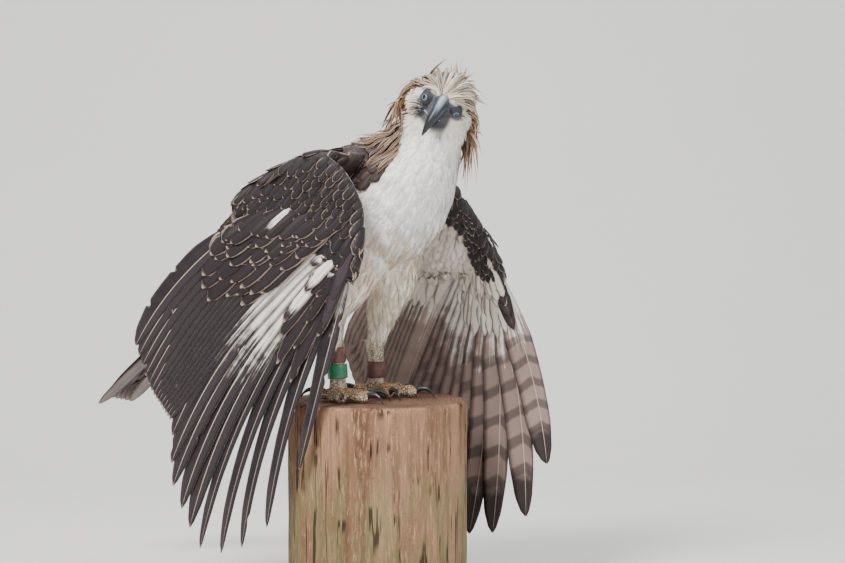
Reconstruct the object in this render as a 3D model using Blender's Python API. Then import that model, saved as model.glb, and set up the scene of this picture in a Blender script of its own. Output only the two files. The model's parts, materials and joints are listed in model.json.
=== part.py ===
"""A life-size Philippine eagle standing on a cut post, wings half spread and hanging.

Metres, +Z up. X runs to the right of the bird's viewer, Y away from the viewer. The origin
is the centre of the base's underside. Places on the bird are given from the post's top.
"""
import math
import random
from dataclasses import dataclass

import bmesh
import bpy
from mathutils import Vector

# The stand and the post
BASE_RADIUS = 0.172
BASE_THICKNESS = 0.018
BASE_BEVEL = 0.004
PERCH_TOP = 0.300
POST_RADIUS = 0.144
POST_RIM = 0.011
POST_SIDES = 36

# Clearance between pieces that touch, and the places of the drawn sections
GAP = 0.0003
SIDES = 18
SEED = 41

# Directions of the trunk
BIRD_RIGHT = Vector((-0.57, -0.82, 0.0)).normalized()
BODY_DORSAL = Vector((-0.516, 0.359, 0.777)).normalized()

# Trunk sections: centre from the post's top, half width, dorsal and ventral half depth
TRUNK = (
    ((-0.146, 0.086, 0.214), 0.030, 0.024, 0.024),
    ((-0.130, 0.076, 0.222), 0.048, 0.040, 0.038),
    ((-0.092, 0.053, 0.239), 0.068, 0.064, 0.062),
    ((-0.052, 0.026, 0.262), 0.082, 0.086, 0.080),
    ((-0.018, 0.002, 0.283), 0.090, 0.106, 0.092),
    ((0.022, -0.022, 0.309), 0.094, 0.120, 0.092),
    ((0.048, -0.038, 0.334), 0.091, 0.120, 0.082),
    ((0.068, -0.050, 0.358), 0.080, 0.104, 0.066),
    ((0.081, -0.057, 0.380), 0.065, 0.078, 0.053),
)
# Neck sections carry on from the last trunk section
# The feathered mass between the shoulders and the nape: centre and half sizes
NAPE_OVALS = (((-0.020, -0.034, 0.383), (0.054, 0.045, 0.030)),
              ((0.022, -0.040, 0.400), (0.040, 0.042, 0.033)),
              ((0.050, -0.044, 0.424), (0.034, 0.038, 0.031)))
NECK = (
    ((0.090, -0.063, 0.404), 0.053, 0.060, 0.048),
    ((0.096, -0.066, 0.424), 0.047, 0.050, 0.044),
    ((0.100, -0.068, 0.437), 0.044, 0.046, 0.042),
)

# Head: frame turned to the viewer, tipped down and rolled over to the bird's left
EYE_MIDDLE = Vector((0.103, -0.075, 0.475))
HEAD_TIP = math.radians(25.0)
HEAD_ROLL = math.radians(30.0)
VIEW_RISE = 0.122
SKULL_CENTRE = (-0.020, 0.0, 0.005)
SKULL_HALF = (0.047, 0.041, 0.041)
FACE_CENTRE = (0.006, 0.0, -0.002)
FACE_HALF = (0.026, 0.028, 0.027)
CHEEK_CENTRE = (-0.014, 0.034, -0.022)
CHEEK_HALF = (0.030, 0.026, 0.030)
THROAT_CENTRE = (-0.012, 0.0, -0.036)
THROAT_HALF = (0.030, 0.040, 0.027)
COLLAR_END = (-0.022, 0.0, -0.012)
COLLAR_RADII = (0.043, 0.040)
EYE_PLACE = (0.009, 0.0226, 0.0)
EYE_RADIUS = 0.0105
LOOK_FORWARD = 0.72
LOOK_OUT = 0.69
LID_RING = 0.0030
LID_STEPS = 16
LID_SECTION = 6
LID_FLATTEN = 0.86
LID_SET = 0.62

# Bill sections in the head frame: distance forward, ridge height, gape height, half width
BILL_UPPER = (
    (0.013, 0.0228, -0.0080, 0.0138),
    (0.026, 0.0215, -0.0095, 0.0130),
    (0.042, 0.0175, -0.0115, 0.0110),
    (0.056, 0.0085, -0.0150, 0.0090),
    (0.066, -0.0050, -0.0230, 0.0068),
    (0.0715, -0.0210, -0.0320, 0.0040),
    (0.0725, -0.0340, -0.0395, 0.0014),
)
BILL_LOWER = (
    (0.010, -0.0090, -0.0270, 0.0125),
    (0.024, -0.0105, -0.0265, 0.0110),
    (0.040, -0.0128, -0.0265, 0.0090),
    (0.052, -0.0165, -0.0265, 0.0060),
    (0.058, -0.0215, -0.0262, 0.0022),
)
NOSTRIL_PLACE = (0.024, 0.010)
NOSTRIL_HALF = (0.0022, 0.0030, 0.0058)

# Crest and nape feathers, in rows from the brow back over the crown to the nape
CREST_PITCH = (30.0, 58.0, 88.0, 120.0, 150.0)
CREST_COUNT = (4, 6, 6, 5, 5)
CREST_LENGTH = (0.040, 0.050, 0.058, 0.066, 0.066)
CREST_WIDTH = 0.018
CREST_LIFT = -0.48
CREST_SIDE_LIFT = 1.35
CREST_DROOP = 0.42
CREST_BOW = 0.13
CREST_SWING = math.radians(82.0)
RUFF_FEATHERS = 3
RUFF_LENGTH = 0.056
VANE_THICK = 0.0008

# Legs, from the post's top
# trouser: centres and radii of the feathered shank below the knee, the last one at its end
LEG_RIGHT = {"hip": (-0.022, -0.020, 0.245), "knee": (-0.030, -0.044, 0.212),
             "heel": (-0.070, -0.042, 0.150), "ankle": (-0.062, -0.045, 0.022),
             "trouser": ((-0.052, -0.043, 0.172, 0.036), (-0.068, -0.042, 0.145, 0.0270),
                         (-0.068, -0.043, 0.115, 0.0190)), "share": 0.47}
LEG_LEFT = {"hip": (0.014, 0.020, 0.245), "knee": (0.034, 0.030, 0.218),
            "heel": (-0.004, 0.041, 0.150), "ankle": (-0.003, 0.040, 0.022),
            "trouser": ((0.022, 0.034, 0.180, 0.042), (0.010, 0.038, 0.145, 0.0320),
                        (0.003, 0.040, 0.112, 0.0225)), "share": 0.52}
THIGH_RADII = (0.046, 0.053, 0.0175, 0.0165)
TROUSER_HEM = 0.006
FOOT_HEIGHT = 0.024
TARSUS_RADIUS = 0.0125
CUFF_RIGHT = (0.062, 0.087, 0.0152)
BAND_RIGHT = (0.037, 0.060, 0.0165)
CUFF_LEFT = (0.031, 0.057, 0.0165)
TOE_RADIUS = 0.0092
CLAW_RADIUS = 0.0058

# Toes: name, direction across the post's top in degrees, length, claw length
TOES_RIGHT = (("middle", -37.0, 0.062, 0.040), ("inner", 4.0, 0.050, 0.046),
              ("outer", -82.0, 0.046, 0.034), ("hind", 148.0, 0.036, 0.050))
TOES_LEFT = (("middle", -20.0, 0.071, 0.042), ("inner", -62.0, 0.052, 0.044),
             ("outer", 24.0, 0.048, 0.034), ("hind", 172.0, 0.036, 0.050))

# Tail
TAIL_ROOT = Vector((-0.128, 0.080, 0.224))
TAIL_TIP = Vector((-0.452, 0.250, -0.030))
TAIL_FEATHERS = 12
TAIL_SPREAD = 0.052
TAIL_WIDTH = 0.050
TAIL_LAYER = 0.0016
TAIL_BOW = 0.020
# The tail's padded root: distance along the tail, half width, half thickness
TAIL_PAD = ((-0.045, 0.044, 0.038), (0.0, 0.047, 0.037), (0.05, 0.044, 0.028),
            (0.11, 0.038, 0.017), (0.16, 0.028, 0.008))


@dataclass(frozen=True)
class WingPose:
    """Named places that set one wing, all from the post's top."""
    name: str
    lead_sign: float
    normal: tuple
    primary_roots: tuple
    primary_tips: tuple
    secondary_roots: tuple
    secondary_tips: tuple
    top_edge: tuple
    low_edge: tuple
    mantle_ridge: tuple
    mantle_rim: tuple
    primary_sweep: float  # how far the primaries bow away from the leading edge
    outer_sweep: float  # the same for the outermost one
    finger_share: float  # width of the outer primaries; below 1 they also narrow to fingers
    alula_root: tuple
    alula_tip: tuple
    scapular_roots: tuple
    scapular_tips: tuple


RIGHT_WING = WingPose(
    name="wing_right", lead_sign=1.0, normal=(-0.371, -0.928, 0.0),
    primary_roots=((-0.036, -0.144, 0.285), (-0.036, -0.144, 0.259), (-0.042, -0.142, 0.228)),
    primary_tips=((-0.328, -0.030, -0.056), (-0.330, -0.030, -0.100), (-0.328, -0.030, -0.137),
                  (-0.315, -0.035, -0.173), (-0.302, -0.040, -0.203), (-0.286, -0.047, -0.236),
                  (-0.252, -0.060, -0.242), (-0.219, -0.072, -0.231), (-0.179, -0.088, -0.197),
                  (-0.127, -0.122, -0.101)),
    secondary_roots=((-0.050, -0.139, 0.294), (-0.095, -0.121, 0.298), (-0.140, -0.103, 0.298),
                     (-0.185, -0.085, 0.300)),
    secondary_tips=((-0.331, -0.029, -0.030), (-0.346, -0.024, -0.006), (-0.362, -0.018, 0.022),
                    (-0.384, -0.009, 0.087)),
    top_edge=((-0.230, -0.067, 0.318), (-0.204, -0.078, 0.346), (-0.147, -0.100, 0.381),
              (-0.090, -0.123, 0.399), (-0.050, -0.139, 0.378), (-0.018, -0.152, 0.318),
              (-0.019, -0.151, 0.262), (-0.030, -0.147, 0.205)),
    low_edge=((-0.230, -0.067, 0.318), (-0.222, -0.070, 0.288), (-0.180, -0.087, 0.252),
              (-0.120, -0.111, 0.238), (-0.080, -0.127, 0.225), (-0.056, -0.136, 0.208),
              (-0.040, -0.143, 0.198), (-0.030, -0.147, 0.205)),
    mantle_ridge=((0.004, -0.060, 0.398), (-0.045, -0.035, 0.375), (-0.085, -0.012, 0.335),
                  (-0.125, -0.018, 0.294), (-0.180, -0.050, 0.290), (-0.222, -0.070, 0.312)),
    mantle_rim=((0.004, -0.060, 0.398), (-0.036, -0.112, 0.396), (-0.090, -0.125, 0.398),
                (-0.147, -0.104, 0.379), (-0.200, -0.082, 0.344), (-0.222, -0.070, 0.312)),
    primary_sweep=0.034,
    outer_sweep=-0.004,
    finger_share=0.80,
    alula_root=(-0.022, -0.150, 0.284), alula_tip=(-0.084, -0.140, 0.128),
    scapular_roots=((-0.050, -0.098, 0.398), (-0.092, -0.084, 0.386), (-0.128, -0.062, 0.362)),
    scapular_tips=((-0.190, -0.106, 0.340), (-0.250, -0.060, 0.286), (-0.278, -0.018, 0.244)),
)
LEFT_WING = WingPose(
    name="wing_left", lead_sign=-1.0, normal=(0.410, 0.912, 0.0),
    primary_roots=((0.160, 0.104, 0.252), (0.178, 0.096, 0.232), (0.192, 0.090, 0.206)),
    primary_tips=((0.023, 0.166, -0.110), (0.033, 0.161, -0.134), (0.046, 0.156, -0.162),
                  (0.065, 0.148, -0.187), (0.088, 0.138, -0.209), (0.117, 0.124, -0.226),
                  (0.151, 0.108, -0.232), (0.189, 0.091, -0.228), (0.243, 0.067, -0.198),
                  (0.277, 0.052, -0.110)),
    secondary_roots=((0.150, 0.108, 0.256), (0.120, 0.122, 0.250), (0.092, 0.134, 0.238),
                     (0.064, 0.146, 0.226)),
    secondary_tips=((0.015, 0.169, -0.089), (-0.010, 0.180, -0.054), (-0.035, 0.191, -0.008),
                    (-0.056, 0.201, 0.052)),
    top_edge=((0.028, 0.162, 0.262), (0.040, 0.150, 0.312), (0.070, 0.112, 0.362),
              (0.100, 0.084, 0.366), (0.122, 0.086, 0.342), (0.152, 0.104, 0.304),
              (0.188, 0.091, 0.236), (0.204, 0.084, 0.186)),
    low_edge=((0.028, 0.162, 0.262), (0.036, 0.160, 0.222), (0.072, 0.144, 0.190),
              (0.112, 0.126, 0.190), (0.148, 0.110, 0.188), (0.172, 0.099, 0.184),
              (0.190, 0.091, 0.180), (0.204, 0.084, 0.186)),
    mantle_ridge=((0.066, -0.004, 0.388), (0.030, 0.040, 0.372), (-0.005, 0.064, 0.332),
                  (-0.022, 0.096, 0.286), (-0.002, 0.136, 0.260), (0.030, 0.158, 0.262)),
    mantle_rim=((0.066, -0.004, 0.388), (0.096, 0.048, 0.378), (0.098, 0.084, 0.370),
                (0.070, 0.112, 0.362), (0.042, 0.146, 0.316), (0.030, 0.158, 0.262)),
    primary_sweep=-0.008,
    outer_sweep=-0.008,
    finger_share=1.15,
    alula_root=(0.172, 0.098, 0.262), alula_tip=(0.222, 0.078, 0.106),
    scapular_roots=((0.060, 0.058, 0.392), (0.036, 0.088, 0.380), (0.004, 0.104, 0.356)),
    scapular_tips=((0.024, 0.160, 0.330), (-0.040, 0.174, 0.300), (-0.088, 0.188, 0.268)),
)
MANTLE_NORMAL = Vector((-0.37, 0.25, 0.90)).normalized()
SECONDARY_SWEEP = 0.016
SWEEP_EASE = 6
PRIMARIES = 10
SECONDARIES = 10
PRIMARY_WIDTH = 0.042
SECONDARY_WIDTH = 0.046
COVERT_WIDTH = 0.034
LOUVRE = math.radians(11.0)
STACK_STEP = 0.0012
FLIGHT_BOW = 0.016
CORE_THICK = 0.040
COVERT_LIFT = 0.0080
MEDIAN_LIFT = 0.0130
MANTLE_THICK = 0.036
ALULA_FEATHERS = 3
SCAPULARS = 4
SCAPULAR_BOW = 0.012

# Feather outlines: place along the shaft, share of the full width
LONG_OUTLINE = ((0.0, 0.30), (0.36, 1.0), (0.82, 0.86), (1.0, 0.12))
FINGER_OUTLINE = ((0.0, 0.30), (0.36, 1.0), (0.64, 0.66), (0.90, 0.48), (1.0, 0.10))
SHORT_OUTLINE = ((0.0, 0.45), (0.60, 1.0), (1.0, 0.22))
CREST_OUTLINE = ((0.0, 0.75), (0.50, 1.0), (1.0, 0.10))


def clear_scene() -> None:
    """Remove every object of the open file."""
    for item in list(bpy.data.objects):
        bpy.data.objects.remove(item, do_unlink=True)


def on_post(point) -> Vector:
    """Give a place measured from the post's top in world metres."""
    return Vector(point) + Vector((0.0, 0.0, PERCH_TOP))


def make_material(name: str, colour, roughness: float, metallic: float = 0.0):
    """Make a Principled material with one colour."""
    material = bpy.data.materials.new(name)
    material.use_nodes = True
    shader = material.node_tree.nodes["Principled BSDF"]
    shader.inputs["Base Color"].default_value = (*colour, 1.0)
    shader.inputs["Roughness"].default_value = roughness
    shader.inputs["Metallic"].default_value = metallic
    material.diffuse_color = (*colour, 1.0)
    return material


def mesh_object(name: str, points, faces):
    """Make an object from points and faces, turned outwards and split into triangles."""
    mesh = bpy.data.meshes.new(name)
    mesh.from_pydata([tuple(p) for p in points], [], faces)
    work = bmesh.new()
    work.from_mesh(mesh)
    bmesh.ops.triangulate(work, faces=work.faces)
    bmesh.ops.recalc_face_normals(work, faces=work.faces)
    work.to_mesh(mesh)
    work.free()
    item = bpy.data.objects.new(name, mesh)
    bpy.context.scene.collection.objects.link(item)
    return item


def along(points, share: float) -> Vector:
    """Read a smooth curve through a few points at a share of its run from 0 to 1."""
    places = [Vector(p) for p in points]
    last = len(places) - 1
    spot = min(max(share, 0.0), 1.0) * last
    index = min(int(spot), last - 1)
    t = spot - index
    p1 = places[index]
    p2 = places[index + 1]
    p0 = places[index - 1] if index > 0 else p1 * 2.0 - p2
    p3 = places[index + 2] if index + 2 <= last else p2 * 2.0 - p1
    return 0.5 * (p1 * 2.0 + (p2 - p0) * t + (p0 * 2.0 - p1 * 5.0 + p2 * 4.0 - p3) * t * t
                  + (p1 * 3.0 - p0 - p2 * 3.0 + p3) * t * t * t)


def ring(centre, side, up, half_side, half_up, half_down, count=SIDES):
    """Give the points of one oval section whose upper and lower halves may differ."""
    points = []
    for index in range(count):
        angle = 2.0 * math.pi * index / count
        height = half_up if math.sin(angle) > 0.0 else half_down
        points.append(centre + side * (math.cos(angle) * half_side)
                      + up * (math.sin(angle) * height))
    return points


def loft(name: str, rings):
    """Join rings of equal count into one closed skin with flat ends."""
    count = len(rings[0])
    points = [p for section in rings for p in section]
    faces = []
    for row in range(len(rings) - 1):
        for index in range(count):
            a = row * count + index
            b = row * count + (index + 1) % count
            faces.append((a, b, b + count, a + count))
    faces.append(tuple(range(count)))
    faces.append(tuple(range(len(points) - count, len(points))))
    return mesh_object(name, points, faces)


def tube(name: str, centres, radii, count=12):
    """Loft round sections along a line of centres."""
    rings = []
    side = Vector((0.0, 0.0, 0.0))
    for index, centre in enumerate(centres):
        before = centres[max(index - 1, 0)]
        after = centres[min(index + 1, len(centres) - 1)]
        axis = (Vector(after) - Vector(before)).normalized()
        side = side - axis * axis.dot(side)
        if side.length < 0.1:
            side = axis.cross(Vector((0.0, 0.0, 1.0)))
        if side.length < 0.1:
            side = axis.cross(Vector((1.0, 0.0, 0.0)))
        side.normalize()
        up = side.cross(axis).normalized()
        radius = radii[index]
        rings.append(ring(Vector(centre), side, up, radius, radius, radius, count))
    return loft(name, rings)


def oval(name: str, centre, half, axes, segments=24, rows=14):
    """Make an ellipsoid with its half sizes along three axes."""
    mesh = bpy.data.meshes.new(name)
    work = bmesh.new()
    bmesh.ops.create_uvsphere(work, u_segments=segments, v_segments=rows, radius=1.0)
    for vert in work.verts:
        x, y, z = vert.co
        vert.co = centre + axes[0] * (x * half[0]) + axes[1] * (y * half[1]) + axes[2] * (z * half[2])
    bmesh.ops.recalc_face_normals(work, faces=work.faces)
    work.to_mesh(mesh)
    work.free()
    item = bpy.data.objects.new(name, mesh)
    bpy.context.scene.collection.objects.link(item)
    return item


def turned(name: str, profile, sides=POST_SIDES):
    """Turn a profile of (radius, height) pairs round the Z axis, closed at both ends."""
    rings = []
    for radius, height in profile:
        rings.append([Vector((radius * math.cos(2.0 * math.pi * k / sides),
                              radius * math.sin(2.0 * math.pi * k / sides), height))
                      for k in range(sides)])
    return loft(name, rings)


def apply_boolean(item, others, operation: str, solver: str = "EXACT") -> None:
    """Join or cut an object with others, then remove those others."""
    group = bpy.data.collections.new("boolean_parts")
    for other in others:
        group.objects.link(other)
    modifier = item.modifiers.new("boolean", "BOOLEAN")
    modifier.operation = operation
    modifier.operand_type = "COLLECTION"
    modifier.collection = group
    modifier.solver = solver
    bpy.context.view_layer.update()
    view = bpy.context.evaluated_depsgraph_get()
    result = bpy.data.meshes.new_from_object(item.evaluated_get(view))
    item.modifiers.clear()
    item.data = result
    for other in list(group.objects):
        bpy.data.objects.remove(other, do_unlink=True)
    bpy.data.collections.remove(group)


def keep_largest(item) -> None:
    """Keep only the largest closed surface of an object."""
    work = bmesh.new()
    work.from_mesh(item.data)
    bmesh.ops.remove_doubles(work, verts=work.verts, dist=0.000002)
    bmesh.ops.dissolve_degenerate(work, edges=work.edges, dist=0.000002)
    left = set(work.verts)
    groups = []
    while left:
        seed = left.pop()
        group = {seed}
        front = [seed]
        while front:
            vert = front.pop()
            for edge in vert.link_edges:
                other = edge.other_vert(vert)
                if other in left:
                    left.discard(other)
                    group.add(other)
                    front.append(other)
        groups.append(group)
    groups.sort(key=span_of, reverse=True)
    for group in groups[1:]:
        bmesh.ops.delete(work, geom=list(group), context="VERTS")
    work.to_mesh(item.data)
    work.free()


def span_of(group) -> float:
    """Give the size of the box round a group of vertices."""
    lows = [min(v.co[k] for v in group) for k in range(3)]
    highs = [max(v.co[k] for v in group) for k in range(3)]
    return sum(high - low for low, high in zip(lows, highs))


def swollen(item, amount: float = GAP):
    """Give a copy of an object grown along its normals, to cut a neighbour with a gap."""
    work = bmesh.new()
    work.from_mesh(item.data)
    bmesh.ops.triangulate(work, faces=work.faces)
    work.normal_update()
    places = []
    for vert in work.verts:
        facing = min(vert.normal.dot(face.normal) for face in vert.link_faces)
        places.append(vert.co + vert.normal * (amount * 1.15 / max(facing, 0.3)))
    for vert, place in zip(work.verts, places):
        vert.co = place
    mesh = bpy.data.meshes.new(item.name + "_grown")
    work.to_mesh(mesh)
    work.free()
    copy = bpy.data.objects.new(item.name + "_grown", mesh)
    bpy.context.scene.collection.objects.link(copy)
    return copy


def finish(item, material) -> None:
    """Give an object its material and smooth shading."""
    item.data.materials.clear()
    item.data.materials.append(material)
    item.data.shade_smooth()
    item.data.set_sharp_from_angle(angle=math.radians(40.0))


@dataclass(frozen=True)
class Vane:
    """One feather: a bowed shaft with a thin blade on each side."""
    root: Vector
    tip: Vector
    normal: Vector
    width: float
    lead_sign: float = 1.0
    lead_share: float = 0.36
    bow: float = 0.0
    sweep: float = 0.0
    turn: float = LOUVRE
    outline: tuple = LONG_OUTLINE

    def lead(self) -> Vector:
        """Direction across the blade, to its leading edge."""
        shaft = (self.tip - self.root).normalized()
        flat = self.normal.cross(shaft).normalized() * self.lead_sign
        return flat

    def centre(self, t: float) -> Vector:
        """Place on the shaft at a share t of its length."""
        middle = ((self.root + self.tip) * 0.5 + self.normal * (self.bow * 2.0)
                  - self.lead() * (self.sweep * 2.0))
        return (self.root * ((1.0 - t) ** 2) + middle * (2.0 * t * (1.0 - t))
                + self.tip * (t * t))


def vane_solid(vane: Vane, begin: float = 0.0, end: float = 1.0, lift: float = 0.0):
    """Build a feather, or a covert that follows a share of a longer feather, as a thin solid.

    Each cross-section is a flat oblong, and both faces are split along the same diagonals.
    """
    points = []
    faces = []
    flat = vane.lead()
    across = (flat * math.cos(vane.turn) + vane.normal * math.sin(vane.turn)).normalized()
    for place, share in vane.outline:
        t = begin + (end - begin) * place
        middle = vane.centre(t) + vane.normal * lift
        ahead = (vane.centre(t + 0.01) - vane.centre(t - 0.01)).normalized()
        out = ahead.cross(across).normalized()
        rim = out * (VANE_THICK * 0.5)
        front = middle + across * (vane.width * share * vane.lead_share)
        back = middle - across * (vane.width * share * (1.0 - vane.lead_share))
        points += [front + rim, back + rim, back - rim, front - rim]
    rows = len(vane.outline)
    for row in range(rows - 1):
        for index in range(4):
            a = row * 4 + index
            b = row * 4 + (index + 1) % 4
            c = b + 4
            d = a + 4
            if index < 2:
                faces += [(a, b, c), (a, c, d)]
            else:
                faces += [(a, b, d), (b, c, d)]
    for base in (0, (rows - 1) * 4):
        faces += [(base, base + 1, base + 2), (base, base + 2, base + 3)]
    return mesh_object("vane", points, faces)


def leaf_core(name: str, top_edge, low_edge, normal: Vector, thick: float,
              columns: int = 12, rows: int = 6):
    """Build the padded middle of a wing between two edge curves that share both ends."""
    faces_up = {}
    faces_down = {}
    points = []
    for column in range(columns + 1):
        u = column / columns
        high = on_post(along(top_edge, u))
        low = on_post(along(low_edge, u))
        fill = math.sqrt(max(math.sin(math.pi * min(max(u, 0.0), 1.0)), 0.0))
        for row in range(rows + 1):
            v = row / rows
            place = high.lerp(low, v)
            puff = fill * math.sqrt(max(4.0 * v * (1.0 - v), 0.0)) * thick * 0.5
            rim = column in (0, columns) or row in (0, rows)
            key = (column, row)
            if rim and column in (0, columns):
                key = (column, 0)
            if key in faces_up:
                faces_up[(column, row)] = faces_up[key]
                faces_down[(column, row)] = faces_down[key]
                continue
            points.append(place + normal * (0.0 if rim else puff))
            faces_up[(column, row)] = len(points) - 1
            if rim:
                faces_down[(column, row)] = len(points) - 1
            else:
                points.append(place - normal * puff)
                faces_down[(column, row)] = len(points) - 1
    faces = []
    for column in range(columns):
        for row in range(rows):
            for table in (faces_up, faces_down):
                corners = []
                for key in ((column, row), (column + 1, row), (column + 1, row + 1),
                            (column, row + 1)):
                    if table[key] not in corners:
                        corners.append(table[key])
                if len(corners) >= 3:
                    faces.append(tuple(corners))
    return mesh_object(name, points, faces)


def flight_feathers(pose: WingPose):
    """Give the secondaries from the innermost outwards, then the primaries, as vanes."""
    normal = Vector(pose.normal).normalized()
    vanes = []
    for index in range(SECONDARIES):
        share = 1.0 - index / (SECONDARIES - 1)
        drop = normal * (-STACK_STEP * 0.5 * (index - SECONDARIES))
        vanes.append(Vane(on_post(along(pose.secondary_roots, share)) + drop,
                          on_post(along(pose.secondary_tips, share)) + drop,
                          normal, SECONDARY_WIDTH, pose.lead_sign, 0.40,
                          FLIGHT_BOW, SECONDARY_SWEEP, LOUVRE, LONG_OUTLINE))
    for index in range(PRIMARIES):
        share = index / (PRIMARIES - 1)
        drop = normal * (-STACK_STEP * (index + 1))
        fingered = index > 4 and pose.finger_share < 1.0
        outline = FINGER_OUTLINE if fingered else LONG_OUTLINE
        width = PRIMARY_WIDTH * (pose.finger_share if index > 4 else 1.0)
        sweep = pose.primary_sweep + (pose.outer_sweep - pose.primary_sweep) * share ** SWEEP_EASE
        vanes.append(Vane(on_post(along(pose.primary_roots, share)) + drop,
                          on_post(pose.primary_tips[index]) + drop,
                          normal, width, pose.lead_sign, 0.33,
                          FLIGHT_BOW, sweep, LOUVRE, outline))
    return vanes


def build_wing(pose: WingPose, material, torso):
    """Build one wing: core, mantle, flight feathers, coverts, alula and scapulars."""
    normal = Vector(pose.normal).normalized()
    core = leaf_core(pose.name, pose.top_edge, pose.low_edge, normal, CORE_THICK)
    pieces = [leaf_core("mantle", pose.mantle_ridge, pose.mantle_rim, MANTLE_NORMAL,
                        MANTLE_THICK)]
    flights = flight_feathers(pose)
    for index, vane in enumerate(flights):
        pieces.append(vane_solid(vane))
        covert = Vane(vane.root, vane.tip, normal, COVERT_WIDTH, pose.lead_sign, 0.42,
                      vane.bow, vane.sweep, LOUVRE, SHORT_OUTLINE)
        pieces.append(vane_solid(covert, 0.05, 0.37, COVERT_LIFT))
        if index % 5 == 0:
            pieces.append(vane_solid(covert, 0.05, 0.34, -COVERT_LIFT))
        elif index % 6 == 1:
            pieces.append(vane_solid(covert, 0.02, 0.22, MEDIAN_LIFT))
    for index in range(ALULA_FEATHERS):
        share = index / (ALULA_FEATHERS - 1)
        step = normal * (0.004 - 0.0025 * index)
        root = on_post(pose.alula_root) + step
        tip = on_post(pose.alula_tip).lerp(root, 0.30 * (1.0 - share)) + step
        pieces.append(vane_solid(Vane(root, tip, normal, 0.024, pose.lead_sign, 0.4, 0.008, 0.006,
                                      LOUVRE, SHORT_OUTLINE)))
    for index in range(SCAPULARS):
        share = index / (SCAPULARS - 1)
        root = on_post(along(pose.scapular_roots, share))
        tip = on_post(along(pose.scapular_tips, share))
        pieces.append(vane_solid(Vane(root, tip, MANTLE_NORMAL, 0.040, pose.lead_sign, 0.5,
                                      SCAPULAR_BOW, 0.0, -LOUVRE, SHORT_OUTLINE)))
    apply_boolean(core, pieces, "UNION")
    apply_boolean(core, [swollen(torso)], "DIFFERENCE")
    keep_largest(core)
    core.name = pose.name
    finish(core, material)
    return core


def trunk_rings(sections):
    """Give the rings of the trunk or neck, set across the line of their centres."""
    centres = [on_post(s[0]) for s in TRUNK + NECK]
    rings = []
    for section in sections:
        index = (TRUNK + NECK).index(section)
        axis = (centres[min(index + 1, len(centres) - 1)] - centres[max(index - 1, 0)]).normalized()
        up = (BODY_DORSAL - axis * BODY_DORSAL.dot(axis)).normalized()
        side = axis.cross(up).normalized()
        rings.append(ring(centres[index], side, up, section[1], section[2], section[3]))
    return rings


def nape_ovals(grown: float = 0.0):
    """Give the rounded masses that fill the nape, or grown ones that cut their neighbours."""
    axes = (Vector((1.0, 0.0, 0.0)), Vector((0.0, 1.0, 0.0)), Vector((0.0, 0.0, 1.0)))
    return [oval("nape", on_post(centre), [size + grown * 2.0 for size in half], axes, 10, 6)
            for centre, half in NAPE_OVALS]


def build_trunk(material):
    """Build the trunk as one loft of oval sections, with the full nape on it."""
    torso = loft("torso", trunk_rings(TRUNK))
    apply_boolean(torso, nape_ovals(), "UNION")
    keep_largest(torso)
    finish(torso, material)
    return torso


def build_neck(material):
    """Build the neck on the trunk's last section."""
    rings = trunk_rings((TRUNK[-1],) + NECK)
    axis = (on_post(NECK[0][0]) - on_post(TRUNK[-1][0])).normalized()
    rings[0] = [p + axis * GAP for p in rings[0]]
    neck = loft("neck", rings)
    apply_boolean(neck, nape_ovals(GAP), "DIFFERENCE")
    keep_largest(neck)
    finish(neck, material)
    return neck


def head_axes():
    """Give the head's forward, right-hand and up directions."""
    toward = Vector((0.0, -math.sqrt(1.0 - VIEW_RISE ** 2), VIEW_RISE))
    up_view = Vector((0.0, VIEW_RISE, math.sqrt(1.0 - VIEW_RISE ** 2)))
    right_view = Vector((1.0, 0.0, 0.0))
    lean = right_view * math.sin(HEAD_ROLL) + up_view * math.cos(HEAD_ROLL)
    forward = toward * math.cos(HEAD_TIP) - lean * math.sin(HEAD_TIP)
    up = toward * math.sin(HEAD_TIP) + lean * math.cos(HEAD_TIP)
    left = up.cross(forward).normalized()
    return forward.normalized(), left, up.normalized()


def head_point(x: float, y: float, z: float) -> Vector:
    """Turn a place in the head's frame into world metres."""
    forward, left, up = head_axes()
    return on_post(EYE_MIDDLE) + forward * x + left * y + up * z


def bill_loft(name: str, sections):
    """Loft one half of the bill from its sections."""
    forward, left, up = head_axes()
    rings = []
    for reach, high, low, half in sections:
        centre = head_point(reach, 0.0, (high + low) * 0.5)
        tall = (high - low) * 0.5
        rings.append(ring(centre, left, up, half, tall, tall, 14))
    return loft(name, rings)


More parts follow.
